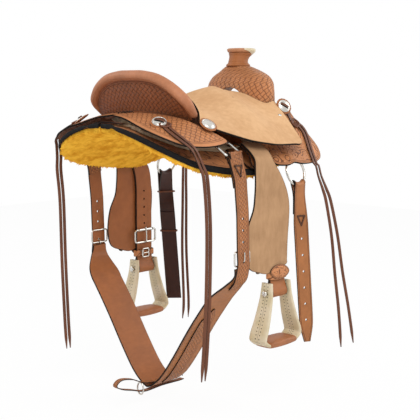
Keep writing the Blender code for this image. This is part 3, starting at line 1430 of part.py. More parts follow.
def on_sheet(grid, x, y, above):
    """The point above a grid whose plan place is nearest to x, y."""
    places = [(i, j) for i in np.arange(0, len(grid) - 1.01, 0.1) for j in np.arange(0, grid.shape[1] - 1.01, 0.1)]
    spots = [spot_on(grid, i, j, above, (0, 0, 1))[0] for i, j in places]
    return min(spots, key=lambda spot: math.hypot(spot[0] - x, spot[1] - y))


def lace_half(grid, thickness, side, over, hang, beside):
    """Over a leather, past its edge and down through hang, moved forward by beside."""
    above = thickness + STRING_RADIUS + LACE_GAP
    top = [on_sheet(grid, x + beside, side * y, above) for x, y in over]
    run = top[-1] - top[-2]
    past = top[-1] + run / np.linalg.norm(run) * 0.009 - np.array([0.0, 0.0, 0.002])
    return top + [past] + [np.array([x + beside, side * y, z]) for y, z, x in hang]


def paced(route):
    """Points along a route, close together round its middle and further apart towards its ends."""
    line = smooth_path(route, 900)
    run = np.concatenate([[0.0], np.cumsum(np.linalg.norm(np.diff(line, axis=0), axis=1))])
    middle = run[-1] / 2
    reach = [LACE_FINE_STEP / 2]
    while reach[-1] < middle - LACE_COARSE_STEP / 2:
        share = np.clip((reach[-1] - LACE_FINE_REACH) / 0.05, 0.0, 1.0)
        reach.append(reach[-1] + LACE_FINE_STEP + (LACE_COARSE_STEP - LACE_FINE_STEP) * share)
    reach = np.array(reach) * middle / reach[-1]
    wanted = np.concatenate([middle - reach[::-1], middle + reach])
    return np.stack([np.interp(wanted, run, line[:, k]) for k in range(3)], 1)


def make_lace(name, grid, thickness, side, over, hang, spread):
    """Two halves that meet below the concho; their hanging ends part by spread."""
    first = lace_half(grid, thickness, side, over, hang, 0.0)
    second = lace_half(grid, thickness, side, over, hang, LACE_SPACING)
    last = len(hang) - 1
    for n in range(last + 1):
        second[-1 - last + n][0] += spread * (n / last) ** 2
    wire(name, paced(first[::-1] + second), STRING_RADIUS, "string_leather", resolution=2)


def make_laces():
    for word, side in SIDES:
        near = side > 0
        make_lace(
            f"lace_rear_{word}", jockey_grid(side), JOCKEY_THICKNESS, side, REAR_LACE_OVER,
            REAR_LACE_HANG_LEFT if near else REAR_LACE_HANG_RIGHT, 0.0,
        )
        make_lace(
            f"lace_front_{word}", plate_grid(side), PLATE_THICKNESS, side,
            FRONT_LACE_OVER_LEFT if near else FRONT_LACE_OVER_RIGHT,
            FRONT_LACE_HANG_LEFT if near else FRONT_LACE_HANG_RIGHT,
            FRONT_LACE_SPREAD_LEFT if near else FRONT_LACE_SPREAD_RIGHT,
        )


# Joint axes: each moving group hangs from an empty on its axis.
def pivot(name, place, pieces, parent=None):
    made = bpy.data.objects.new(name, None)
    bpy.data.collections["wade_saddle"].objects.link(made)
    made.empty_display_size = 0.03
    place = np.asarray(place, float)
    made.location = place
    if parent:
        made.parent = parent
        made.location = place - np.array(parent["place"])
    made["place"] = [float(value) for value in place]
    for piece in pieces:
        child = bpy.data.objects[piece]
        child.parent = made
        child.location = np.array(child.location) - place
    return made


def make_pivots():
    bolt_y = LEATHER_INNER_Y + STRAP_THICKNESS + TOUCH_GAP / 2
    flank = pivot(
        "flank_pivot",
        (FLANK_HINGE_X, 0.0, FLANK_HINGE_Z),
        ("flank_billet_left", "flank_billet_right", "flank_buckle_left", "flank_buckle_right", "flank_cinch",
         "connector_strap"),
    )
    for word, side in SIDES:
        fender = pivot(
            f"fender_pivot_{word}",
            (FENDER_HINGE_X, side * FENDER_Y, FENDER_HINGE_Z),
            (f"fender_{word}", f"stirrup_leather_{word}", f"leather_buckle_{word}", f"hobble_{word}"),
        )
        pivot(
            f"stirrup_pivot_{word}",
            (LEATHER_X, side * bolt_y, STIRRUP_BOLT_Z),
            (f"stirrup_{word}", f"stirrup_tread_{word}", f"stirrup_bolt_{word}"),
            fender,
        )
        ring = pivot(f"ring_pivot_{word}", ring_point(90, side), (f"front_ring_{word}",))
        strap = "latigo" if side > 0 else "off_billet"
        pivot(f"{strap}_pivot", (RING_X, side * RING_Y, RING_Z), (strap,), ring)
        frame_y = FLANK_Y - STRAP_THICKNESS / 2 - BUCKLE_WIRE_RADIUS - BUCKLE_GAP
        pivot(
            f"flank_tongue_pivot_{word}",
            (FLANK_BUCKLE_X, side * frame_y, FLANK_BUCKLE_Z - BUCKLE_HALF_HEIGHT),
            (f"flank_tongue_{word}",),
            flank,
        )


def main():
    clear_scene()
    collection("wade_saddle")
    collection("cutters")
    make_fork()
    make_horn()
    make_cantle()
    make_seat()
    make_ground_seat()
    make_conchos()
    for word, side in SIDES:
        make_bar(f"tree_bar_{word}", side)
        make_fleece(f"fleece_{word}", side)
        make_skirt(f"skirt_{word}", side)
        make_binding(f"skirt_binding_{word}", side)
        make_plate(f"rigging_plate_{word}", side)
        make_rear_jockey(f"rear_jockey_{word}", side)
        make_fender(f"fender_{word}", side)
        make_stirrup_leather(f"stirrup_leather_{word}", side)
        make_stirrup(word, side)
        make_leather_buckle(f"leather_buckle_{word}", side)
        make_hobble(f"hobble_{word}", side)
        make_ring(f"front_ring_{word}", side)
        make_rear_dee(f"rear_dee_{word}", side)
        make_flank_billet(f"flank_billet_{word}", side)
        make_flank_buckle(f"flank_buckle_{word}", side)
        make_flank_tongue(f"flank_tongue_{word}", side)
    make_off_billet()
    make_latigo()
    make_flank_cinch()
    make_connector()
    make_laces()
    make_pivots()


if __name__ == "__main__":
    main()
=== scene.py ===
"""Dresses a ranch saddle: leathers, wool, strings, straps and metal over its solid parts.

Metres. +X points to the horse's head, +Y to its left side, +Z up.
"""

import math

import bmesh
import bpy
import numpy as np
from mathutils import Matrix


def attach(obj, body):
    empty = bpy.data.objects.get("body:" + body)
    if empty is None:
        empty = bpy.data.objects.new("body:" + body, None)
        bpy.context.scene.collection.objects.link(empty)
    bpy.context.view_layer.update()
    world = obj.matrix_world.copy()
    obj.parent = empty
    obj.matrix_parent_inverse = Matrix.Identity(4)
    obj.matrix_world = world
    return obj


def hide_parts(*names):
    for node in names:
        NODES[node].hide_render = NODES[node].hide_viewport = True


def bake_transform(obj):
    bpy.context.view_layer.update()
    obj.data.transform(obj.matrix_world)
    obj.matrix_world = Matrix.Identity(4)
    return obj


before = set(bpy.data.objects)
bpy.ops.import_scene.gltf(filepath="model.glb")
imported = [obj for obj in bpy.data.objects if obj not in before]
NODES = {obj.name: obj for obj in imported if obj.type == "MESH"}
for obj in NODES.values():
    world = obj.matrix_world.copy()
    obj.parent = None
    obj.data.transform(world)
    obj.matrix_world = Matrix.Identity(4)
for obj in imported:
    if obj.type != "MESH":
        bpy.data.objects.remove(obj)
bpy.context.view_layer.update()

bl_info = {
    "name": "Ranch Saddle Dressing",
    "version": (1, 0, 0),
    "blender": (4, 5, 0),
    "location": "3D View > Sidebar > Saddle",
    "description": "Leathers, wool, strings, straps and metal for a ranch saddle",
    "category": "Add Mesh",
}

SIDES = (("left", 1.0), ("right", -1.0))
ROOT = "saddle"

# The photograph's camera: its place, tilt and heading in degrees, and its sensor.
CAMERA_PLACE = (-1.937, -1.839, 0.114)
CAMERA_TILT, CAMERA_HEADING = 82.709, -47.474
SENSOR_MM = 36.0

# The back that the saddle lies on, and the sheets on it.
REAR_X = -0.344
BACK_X = (REAR_X, -0.200, 0.000, 0.130, 0.280)
BACK_RIDGE = (0.003, -0.010, -0.015, 0.045, 0.150)
BACK_SLOPE = (0.46, 0.64, 0.76, 0.97, 1.50)
BACK_ROUND = (0.12, 0.13, 0.14, 0.10, 0.06)
FLEECE_THICKNESS = 0.015
SKIRT_LIFT = 0.0162
SKIRT_THICKNESS = 0.0045
SKIRT_TOP = SKIRT_LIFT + SKIRT_THICKNESS
JOCKEY_THICKNESS = 0.0045
SEAT_THICKNESS = 0.0050
PLATE_THICKNESS = 0.0050
STRAP_THICKNESS = 0.0035
SKIRT_HALF_WIDTH = 0.238
SKIRT_INNER = (
    (REAR_X, 0.003), (-0.300, 0.004), (-0.250, 0.028), (-0.150, 0.045),
    (0.000, 0.045), (0.100, 0.060), (0.165, 0.085), (0.215, 0.112),
)
SKIRT_OUTER = (
    (REAR_X, 0.025), (REAR_X, 0.085), (-0.339, 0.135), (-0.320, 0.188),
    (-0.285, 0.224), (-0.240, SKIRT_HALF_WIDTH - 0.001), (-0.150, SKIRT_HALF_WIDTH),
    (-0.060, SKIRT_HALF_WIDTH), (0.030, SKIRT_HALF_WIDTH), (0.075, 0.230), (0.115, 0.221), (0.180, 0.220),
    (0.225, 0.212), (0.258, 0.196), (0.272, 0.172), (0.262, 0.146), (0.240, 0.126),
)
BINDING_SHARE = 0.615

# Tree bars, for what lies over them.
BAR_X = (-0.300, -0.255, -0.200, -0.130, 0.035, 0.090, 0.150, 0.205, 0.240)
BAR_INNER_Y = (0.060, 0.050, 0.047, 0.050, 0.054, 0.060, 0.070, 0.085, 0.098)
BAR_OUTER_Y = (0.100, 0.152, 0.166, 0.158, 0.156, 0.156, 0.158, 0.142, 0.118)
BAR_HEIGHT = (0.010, 0.018, 0.022, 0.022, 0.022, 0.022, 0.020, 0.013, 0.009)
BAR_CROWN = ((0.0, 0.33, 0.67, 1.0), (0.55, 1.0, 0.95, 0.55))
BAR_LIFT = SKIRT_TOP + 0.0018

PLATE_INNER = (
    (0.045, 0.150), (0.090, 0.140), (0.150, 0.125), (0.200, 0.112), (0.232, 0.104), (0.242, 0.106),
)
PLATE_OUTER = (
    (0.046, 0.205), (0.058, 0.234), (0.085, 0.2420), (0.106, 0.2425), (0.126, 0.2400), (0.150, 0.2430),
    (0.185, 0.2400), (0.228, 0.2320), (0.258, 0.2220), (0.278, 0.2080), (0.286, 0.1930),
    (0.277, 0.1740), (0.259, 0.1450), (0.247, 0.1200),
)
PLATE_LIFT = SKIRT_TOP + 0.0026
PLATE_EDGE_RISE = ((0.105, 0.125), (0.0030, 0.0065))
PLATE_FADE = 0.028

JOCKEY_INNER = (
    (-0.226, 0.004, 0.048), (-0.222, 0.060, 0.046), (-0.214, 0.110, 0.041), (-0.205, 0.150, 0.034),
    (-0.193, 0.184, 0.020), (-0.180, 0.203, 0.003),
)
JOCKEY_OUTER = (
    (-0.306, 0.004, 0.043), (-0.312, 0.050, 0.037), (-0.319, 0.100, 0.023), (-0.326, 0.150, 0.009),
    (-0.317, 0.200, -0.008), (-0.292, 0.238, -0.024), (-0.250, 0.250, -0.030), (-0.210, 0.254, -0.031),
    (-0.165, 0.251, -0.028), (-0.136, 0.243, -0.021), (-0.146, 0.222, -0.008),
)

# Fork and horn.
FORK_X = 0.200
FORK_HALF_WIDTH = 0.118
FORK_HALF_THICKNESS = 0.050
FORK_Z = (0.050, 0.070, 0.090, 0.112, 0.135, 0.152, 0.164, 0.172, 0.179)
FORK_WIDTH_SHARE = (0.96, 1.00, 1.00, 0.99, 0.93, 0.78, 0.575, 0.44, 0.305)
FORK_THICKNESS_SHARE = (1.05, 1.05, 1.03, 1.00, 0.97, 0.92, 0.84, 0.72, 0.56)
FORK_SHIFT_X = (0.000, 0.000, 0.000, 0.000, 0.002, 0.003, 0.002, -0.004, -0.010)
FORK_TOP_Z = 0.179
FORK_FOOT_LIFT = 0.0110
GULLET_HALF_WIDTH = 0.058
GULLET_TOP_Z = 0.118
HORN_X = 0.190
HORN_CAP_X = 0.204
HORN_TOP_Z = 0.231
HORN_CAP_RADIUS = 0.0415
HORN_CAP_THICKNESS = 0.0125

# Cantle.
CANTLE_HALF_WIDTH = 0.178
CANTLE_SHARES = (0.0, 0.25, 0.5, 0.7, 0.85, 1.0)
CANTLE_LINE_X = (-0.232, -0.231, -0.227, -0.216, -0.200, -0.172)
CANTLE_LINE_Y = (0.0, 0.27, 0.585, 0.845, 0.985, 0.975)
CANTLE_LINE_Z = (0.150, 0.1485, 0.1360, 0.1080, 0.0780, 0.0430)
ROLL_RADIUS = 0.0130
ROLL_REACH = 0.0300
ROLL_FRONT = 0.0080

# Seat.
SEAT_X = (-0.180, -0.130, -0.060, 0.000, 0.045, 0.080, 0.120, 0.160, 0.200, 0.235)
SEAT_CROWN_Z = (0.074, 0.064, 0.060, 0.083, 0.107, 0.1170, 0.1165, 0.124, 0.147, 0.157)
SEAT_LIP_Y = (0.212, 0.232, 0.256, 0.266, 0.268, 0.268, 0.264, 0.258, 0.246, 0.225)
SEAT_LIP_Z = (0.014, 0.000, -0.021, -0.031, -0.036, -0.037, -0.038, -0.040, -0.036, -0.020)
SEAT_BULGE = (2.6, 2.6, 2.6, 2.3, 1.85, 1.42, 1.25, 1.28, 1.33, 1.35)
SEAT_SPLIT_X = 0.078
SEAT_COLUMNS = 8
SEAT_ROWS_UP_CANTLE = 4
SEAT_FIRST_X = -0.125
SEAT_ROW_X = (
    SEAT_FIRST_X, -0.095, -0.060, -0.025, 0.010, 0.045, SEAT_SPLIT_X,
    0.102, 0.126, 0.150, 0.172, 0.192, 0.210,
)
SEAT_OPEN_SHARE = 2 / SEAT_COLUMNS
SEAT_EAR = (-0.188, 0.206, 0.020)
SEAT_FINER = 6

# Hanging gear.
HINGE_X = -0.0165
FENDER_THICKNESS = 0.0045
FENDER_Y = 0.2658
FENDER_LEVEL_Z = (-0.072, -0.100, -0.130, -0.165, -0.200, -0.240, -0.280, -0.315, -0.345, -0.360, -0.368)
FENDER_REAR_X = (-0.053, -0.051, -0.050, -0.052, -0.058, -0.078, -0.087, -0.088, -0.080, -0.062, -0.036)
FENDER_FRONT_X = (0.020, 0.044, 0.066, 0.084, 0.092, 0.091, 0.087, 0.085, 0.084, 0.080, 0.030)
LEATHER_WIDTH = 0.062
LEATHER_INNER_Y = 0.2570
LEATHER_GAP = 0.0004
LEATHER_X = 0.050
LEATHER_JOIN_Z = -0.352
BOLT_Y = LEATHER_INNER_Y + STRAP_THICKNESS + LEATHER_GAP / 2
BOLT_Z = -0.432
ROLLER_RADIUS = 0.0105
BOLT_BORE = 0.0052
HOBBLE_Z = -0.3850
HOBBLE_HALF = 0.0140
STIRRUP_TOP_Z = -0.4045
STIRRUP_BOTTOM_Z = -0.580
STIRRUP_BAR_Z = STIRRUP_BOTTOM_Z + 0.0105
STIRRUP_HALF_TOP = 0.038
STIRRUP_HALF_LOW = 0.076
STIRRUP_BRANCH_THICKNESS = 0.0090
STIRRUP_TOP_DEPTH, STIRRUP_BOTTOM_DEPTH = 0.034, 0.058

# Front rigging.
RING_X, RING_Y, RING_Z = 0.143, 0.2512, -0.1135
RING_LEAN = math.radians(16.0)
RING_RADIUS = 0.0380
RING_WIRE = 0.0036
RING_LOOP_GAP = 0.0022
OFF_BILLET_WIDTH = 0.044
OFF_BILLET_LENGTH = 0.450
OFF_BILLET_DRIFT = 0.048
OFF_BILLET_TURN = math.radians(-24)
OFF_BILLET_HOLES, OFF_BILLET_FIRST_HOLE, OFF_BILLET_HOLE_SPACING = 6, 0.150, 0.047
LATIGO_WIDTH = 0.046
LATIGO_THICKNESS = 0.0040
LATIGO_LENGTH = 0.400
LATIGO_DRIFT = 0.040
LATIGO_TURN = math.radians(45)
TURN_BELOW_RING = 0.020
TURN_LENGTH = 0.090

# Flank set.
FLANK_X = -0.150
FLANK_Z = -0.050
FLANK_Y = 0.2820
FLANK_WIDTH = 0.046
FLANK_BUCKLE_X = -0.113
FLANK_BUCKLE_Z = -0.318
FLANK_BOTTOM_Z = -0.700
FLANK_DRIFT = 0.024
CINCH_WIDTH = 0.105
CINCH_THICKNESS = 0.0045
CINCH_END_WIDTH = 0.046
OVERLAY_FROM, OVERLAY_POINT, OVERLAY_TO = 0.535, 0.80, 0.845
CINCH_TAPER = 0.105
FLANK_WIRE = 0.0022
DEE_WIRE = 0.0032
BUCKLE_HALF_HEIGHT = 0.0185

# Strings.
STRING_PAIR_SPACING = 0.0130
STRING_POINTS = 72
REAR_STRING_OVER = (
    (-0.284, 0.165), (-0.289, 0.180), (-0.292, 0.197), (-0.292, 0.214), (-0.290, 0.231), (-0.285, 0.246),
)
FRONT_STRING_OVER = {
    "right": (
        (0.234, 0.165), (0.246, 0.171), (0.252, 0.181), (0.250, 0.194), (0.240, 0.210), (0.227, 0.227),
        (0.214, 0.243), (0.204, 0.258),
    ),
    "left": (
        (0.234, 0.165), (0.246, 0.171), (0.252, 0.181), (0.251, 0.194), (0.247, 0.210), (0.242, 0.226),
        (0.237, 0.240), (0.2335, 0.251),
    ),
}
# Hanging stretches: distance from the centre plane, height, x.
REAR_STRING_HANG = {
    "right": (
        (0.2620, -0.0380, -0.277), (0.2650, -0.0780, -0.256), (0.2640, -0.1120, -0.241),
        (0.2620, -0.2330, -0.229), (0.2620, -0.4100, -0.232), (0.2620, -0.5300, -0.240),
        (0.2620, -0.6180, -0.249),
    ),
    "left": (
        (0.2620, -0.0380, -0.278), (0.2650, -0.0780, -0.274), (0.2640, -0.1120, -0.276),
        (0.2620, -0.2000, -0.270), (0.2620, -0.3700, -0.267), (0.2620, -0.5400, -0.261),
        (0.2620, -0.6280, -0.256),
    ),
}
FRONT_STRING_HANG = {
    "right": (
        (0.2760, -0.1000, 0.204), (0.2780, -0.1280, 0.212), (0.2780, -0.1660, 0.234),
        (0.2780, -0.2050, 0.252), (0.2800, -0.3060, 0.278), (0.2850, -0.4150, 0.290),
        (0.2920, -0.5240, 0.302), (0.3000, -0.6330, 0.306),
    ),
    "left": (
        (0.2730, -0.1000, 0.235), (0.2840, -0.1320, 0.250), (0.3000, -0.1900, 0.265),
        (0.3040, -0.2450, 0.268), (0.3040, -0.4100, 0.265), (0.3020, -0.5780, 0.269),
        (0.3020, -0.6400, 0.263),
    ),
}
FRONT_STRING_SPREAD = {"right": 0.050, "left": 0.014}

UP = (0.0, 0.0, 1.0)

# Finishes of a thong: face, back and edge.
THONG = ("string", "string", "black edge")
LACE_THICKNESS = 0.0018

# Conchos and their rosettes: how far they lean back and out and stand proud, and (radii, heights) of each.
CONCHO_LEAN = {"rear": (-0.20, 0.26), "middle": (-0.20, 0.25), "front": (-0.30, 0.60)}
CONCHO_RISE = {"rear": 0.0036, "middle": 0.0010, "front": 0.0070}
ROSETTE_PROFILE = (
    (0.0005, 0.020, 0.0222, 0.0232, 0.0235, 0.0228, 0.020, 0.0005),
    (0.0, 0.0, 0.0, 0.0005, 0.0014, 0.0022, 0.0026, 0.0026),
)
CONCHO_PROFILE = (
    (0.0005, 0.0175, 0.0184, 0.0186, 0.0180, 0.0170, 0.0166, 0.0158, 0.0150, 0.0120, 0.0080, 0.0040, 0.0005),
    (0.0024, 0.0024, 0.0028, 0.0034, 0.0040, 0.0040, 0.0035, 0.0036, 0.0044, 0.0058, 0.0068, 0.0073, 0.0075),
)


# Curves and grids, whole arrays at a time.
def along(x, stations, values):
    """Smooth value at x: a cubic through the stations' values, flat past the ends."""
    xs, ys = np.asarray(stations, float), np.asarray(values, float)
    slopes = np.gradient(ys, xs)
    x = np.clip(np.asarray(x, float), xs[0], xs[-1])
    i = np.clip(np.searchsorted(xs, x) - 1, 0, len(xs) - 2)
    step = xs[i + 1] - xs[i]
    t = (x - xs[i]) / step
    return (
        (2 * t**3 - 3 * t**2 + 1) * ys[i]
        + (t**3 - 2 * t**2 + t) * step * slopes[i]
        + (-2 * t**3 + 3 * t**2) * ys[i + 1]
        + (t**3 - t**2) * step * slopes[i + 1]
    )


def eased(t):
    """0 to 1 with level ends: three t squared less two t cubed."""
    return 3 * t**2 - 2 * t**3


def finer_rows(grid, steps):
    """Points between rows: each column is the smooth cubic through its points."""
    ends = np.concatenate([[2 * grid[0] - grid[1]], grid, [2 * grid[-1] - grid[-2]]])
    t = (np.arange(steps) / steps).reshape((-1,) + (1,) * (grid.ndim - 1))
    fine = []
    for i in range(1, len(ends) - 2):
        a, b, c, d = ends[i - 1 : i + 3]
        square, cube = 2 * a - 5 * b + 4 * c - d, 3 * b - a - 3 * c + d
        fine.append(0.5 * (2 * b + (c - a) * t + square * t**2 + cube * t**3))
    return np.concatenate([*fine, ends[-2:-1]])


def finer(grid, rows, columns):
    return finer_rows(finer_rows(grid, rows).transpose(1, 0, 2), columns).transpose(1, 0, 2)


def run_of(points):
    """Length along a line of points, from 0."""
    return np.concatenate([[0.0], np.cumsum(np.linalg.norm(np.diff(points, axis=0), axis=-1))])


def even(points, count):
    """The same line with evenly spaced points."""
    points = np.asarray(points, float)
    run = run_of(points)
    wanted = np.linspace(0.0, run[-1], count)
    return np.stack([np.interp(wanted, run, points[:, k]) for k in range(points.shape[1])], 1)


def smooth_path(points, count):
    """Evenly spaced points on the smooth curve through the given ones."""
    return even(finer_rows(np.asarray(points, float), 24), count)


def unit(vectors):
    return vectors / np.maximum(np.linalg.norm(vectors, axis=-1, keepdims=True), 1e-12)


def arc(centre, radius, start, stop, count):
    angles = np.radians(np.linspace(start, stop, count))
    return [(centre[0] + radius * math.cos(a), centre[1] + radius * math.sin(a)) for a in angles]


def full_turn(count):
    """Angles evenly round a circle."""
    return np.linspace(0, 2 * math.pi, count, endpoint=False)


def mirrored(points, side):
    return np.asarray(points, float) * np.array([1.0, side, 1.0])


def back_height(x, y):
    ridge, slope, rounding = (along(x, BACK_X, values) for values in (BACK_RIDGE, BACK_SLOPE, BACK_ROUND))
    return ridge - slope * (np.hypot(y, rounding) - rounding)


def on_back(plan, lift):
    """Plan points laid on the back and raised by lift along its normal."""
    x, y = plan[..., 0], plan[..., 1]
    probe = 0.002
    dx = (back_height(x + probe, y) - back_height(x - probe, y)) / (2 * probe)
    dy = (back_height(x, y + probe) - back_height(x, y - probe)) / (2 * probe)
    normal = unit(np.stack([-0.5 * dx, -dy, np.ones_like(dx)], -1))
    lift = np.broadcast_to(np.asarray(lift, float), x.shape)[..., None]
    return np.stack([x, y, back_height(x, y)], -1) + lift * normal


def plan_grid(inner, outer, rows, columns):
    across = np.linspace(0.0, 1.0, columns)[None, :, None]
    return smooth_path(inner, rows)[:, None] * (1 - across) + smooth_path(outer, rows)[:, None] * across


def normals_of(grid, out):
    """Unit normals of a grid, on the side that out points to."""
    normals = unit(np.cross(np.gradient(grid, axis=0), np.gradient(grid, axis=1)))
    return -normals if normals.sum(axis=(0, 1)) @ np.asarray(out, float) < 0 else normals


def spot_on(grid, u, v, above, out=UP):
    """The point above a grid at shares u of its rows and v of its columns, and the normal there."""
    normals = normals_of(grid, out)
    i, j = u * (len(grid) - 1), v * (grid.shape[1] - 1)
    a, b = min(int(i), len(grid) - 2), min(int(j), grid.shape[1] - 2)
    weights = np.outer((1 - i + a, i - a), (1 - j + b, j - b))
    point = (grid[a : a + 2, b : b + 2] * weights[..., None]).sum(axis=(0, 1))
    normal = unit((normals[a : a + 2, b : b + 2] * weights[..., None]).sum(axis=(0, 1)))
    return point + normal * above, normal


def over_grid(grid, x, y, above):
    """The point above a grid whose plan place is x, y: the nearest grid point, slid in its tangent plane."""
    normals = normals_of(grid, UP)
    near = np.unravel_index(np.argmin(np.hypot(grid[..., 0] - x, grid[..., 1] - y)), grid.shape[:2])
    point, normal = grid[near], normals[near]
    dx, dy = x - point[0], y - point[1]
    slid = point + np.array([dx, dy, -(normal[0] * dx + normal[1] * dy) / max(normal[2], 0.3)])
    return slid + normal * above, normal


def lumps(points, size, seed):
    """Smooth random heights from -1 to 1 at points: values on a lattice of that size, eased between."""
    place = np.asarray(points, float) / size + seed * 17.31
    base = np.floor(place).astype(np.int64)
    part = place - base
    part = part * part * (3 - 2 * part)
    total = np.zeros(place.shape[:-1])
    for corner in np.ndindex(2, 2, 2):
        cell = base + np.array(corner)
        key = (cell[..., 0] * 73856093) ^ (cell[..., 1] * 19349663)
        key = key ^ (cell[..., 2] * 83492791) ^ (seed * 2654435)
        key = ((key ^ (key >> 13)) & 0xFFFFFF) * 1274126177 & 0x7FFFFFFF
        weight = np.prod(np.where(np.array(corner) == 1, part, 1 - part), axis=-1)
        total += weight * (key % 65536 / 32767.5 - 1)
    return total


# Cutting coordinates: where a point lies on the leather laid flat, and how far it is from the edge.
def flat_on_back(grid):
    """(x, length over the back from the centre plane)."""
    steps = np.diff(grid[..., 1:], axis=1)
    run = np.cumsum(np.linalg.norm(steps, axis=-1) * np.sign(steps[..., 0] * grid[:, 1:, 1] + 1e-12), axis=1)
    start = np.abs(grid[:, :1, 1])
    return np.stack([grid[..., 0], np.concatenate([start, start + run], axis=1)], -1)


def flat_strip(grid):
    """(length across a strip, length along it)."""
    across = run_across(grid)
    run = run_of(grid.mean(axis=1))
    return np.stack([across - across[:, -1:] / 2, np.broadcast_to(run[:, None], across.shape)], -1)


def run_across(grid):
    """Length across each row of a grid, from 0."""
    steps = np.linalg.norm(np.diff(grid, axis=1), axis=-1)
    return np.concatenate([np.zeros((len(grid), 1)), np.cumsum(steps, 1)], 1)


def edge_of(grid, lines):
    """(distance to the nearest finished edge, length along that edge)."""
    points = grid.reshape(-1, 3)
    best = np.full(len(points), 1.0)
    run_there = np.zeros(len(points))
    start = 0.0
    for line in lines:
        length = run_of(line)[-1]
        fine = even(line, max(int(length / 0.0015), 2))
        run = run_of(fine)
        for first in range(0, len(points), 4000):
            part = points[first : first + 4000]
            gaps = np.linalg.norm(part[:, None] - fine[None], axis=-1)
            near = gaps.argmin(axis=1)
            gap = gaps[np.arange(len(part)), near]
            closer = gap < best[first : first + 4000]
            best[first : first + 4000][closer] = gap[closer]
            run_there[first : first + 4000][closer] = start + run[near][closer]
        start += length
    return np.stack([best, run_there], -1).reshape(*grid.shape[:2], 2)


# Meshes.
def make_mesh(name, points, faces, layers, finishes, indices=None):
    used, place = np.unique(np.concatenate([np.asarray(f) for f in faces]), return_inverse=True)
    sizes = [len(f) for f in faces]
    cuts = np.cumsum(sizes)[:-1]
    data = bpy.data.meshes.new(name)
    data.from_pydata(points[used].tolist(), [], [part.tolist() for part in np.split(place, cuts)])
    for key, values in layers.items():
        layer = data.uv_layers.new(name=key)
        layer.data.foreach_set("uv", np.asarray(values, np.float32).ravel())
    for look in finishes:
        data.materials.append(finish(look))
    if indices is not None:
        data.polygons.foreach_set("material_index", np.asarray(indices, np.int32))
    data.shade_smooth()
    data.update()
    made = bpy.data.objects.new(name, data)
    bpy.context.scene.collection.objects.link(made)
    return made


def shell(name, grid, flat, edge, thickness, out, finishes, skip=None, offset=1.0, rounding=0.0008):
    """A leather cut to a grid of points and thickened towards out: face, back and edge differ in finish."""
    rows, columns = grid.shape[:2]
    index = np.arange(rows * columns).reshape(rows, columns)
    quads = np.stack([index[:-1, :-1], index[:-1, 1:], index[1:, 1:], index[1:, :-1]], -1).reshape(-1, 4)
    if skip is not None:
        quads = quads[~skip.reshape(-1)]
    points = grid.reshape(-1, 3)
    facing = np.cross(points[quads[:, 2]] - points[quads[:, 0]], points[quads[:, 3]] - points[quads[:, 1]])
    if facing.sum(axis=0) @ np.asarray(out, float) < 0:
        quads = quads[:, ::-1]
    corners = quads.reshape(-1)
    layers = {"flat": flat.reshape(-1, 2)[corners], "edge": edge.reshape(-1, 2)[corners]}
    made = make_mesh(name, points, list(quads), layers, finishes)
    solid = made.modifiers.new("thickness", "SOLIDIFY")
    solid.thickness = thickness
    solid.offset = offset
    solid.material_offset = 1
    solid.material_offset_rim = 2
    if rounding:
        soft = made.modifiers.new("edge rounding", "BEVEL")
        soft.width = rounding
        soft.segments = 2
        soft.limit_method = "ANGLE"
        soft.angle_limit = math.radians(62)
        soft.harden_normals = True
    return made


def carried(name, rings, finishes, closed=False, look=None):
    """A closed surface through rings of points. flat is (length round a ring, length along the rings)."""
    rings = np.asarray(rings, float)
    count, around = rings.shape[:2]
    round_run = run_across(np.concatenate([rings, rings[:, :1]], axis=1))
    ahead = np.concatenate([rings, rings[:1]]) if closed else rings
    lengths = np.linalg.norm(np.diff(ahead, axis=0), axis=-1).mean(axis=1)
    path_run = np.concatenate([[0.0], np.cumsum(lengths)])
    last = count if closed else count - 1
    i, j = np.meshgrid(np.arange(last), np.arange(around), indexing="ij")
    i2, j2 = (i + 1) % count, (j + 1) % around
    quads = np.stack([i * around + j, i * around + j2, i2 * around + j2, i2 * around + j], -1).reshape(-1, 4)
    flat = np.stack(
        [
            np.stack([round_run[i, j], round_run[i, j + 1], round_run[i2, j + 1], round_run[i2, j]], -1),
            np.stack([path_run[i], path_run[i], path_run[i + 1], path_run[i + 1]], -1),
        ],
        -1,
    ).reshape(-1, 4, 2)
    points = rings.reshape(-1, 3)
    centre = points.mean(axis=0)
    corner = points[quads] - centre
    volume = np.einsum("ij,ij->i", corner[:, 0], np.cross(corner[:, 1], corner[:, 2])).sum()
    volume += np.einsum("ij,ij->i", corner[:, 0], np.cross(corner[:, 2], corner[:, 3])).sum()
    caps = [] if closed else [np.arange(around)[::-1], (count - 1) * around + np.arange(around)]
    for cap in caps:
        ends = points[cap] - centre
        volume += np.einsum("ij,ij->i", ends[:1].repeat(around - 2, 0), np.cross(ends[1:-1], ends[2:])).sum()
    faces = list(quads) + caps
    uv = [flat.reshape(-1, 2)] + [np.zeros((len(cap), 2)) for cap in caps]
    if volume < 0:
        faces = [face[::-1] for face in faces]
        uv = [flat[:, ::-1].reshape(-1, 2)] + uv[1:]
    uv = np.concatenate(uv)
    edge = np.stack([np.full(len(uv), 0.03), uv[:, 1]], -1)
    indices = None
    if look is not None:
        indices = list(np.broadcast_to(look, (last, around)).reshape(-1)) + [0] * len(caps)
    return make_mesh(name, points, faces, {"flat": uv, "edge": edge}, finishes, indices)


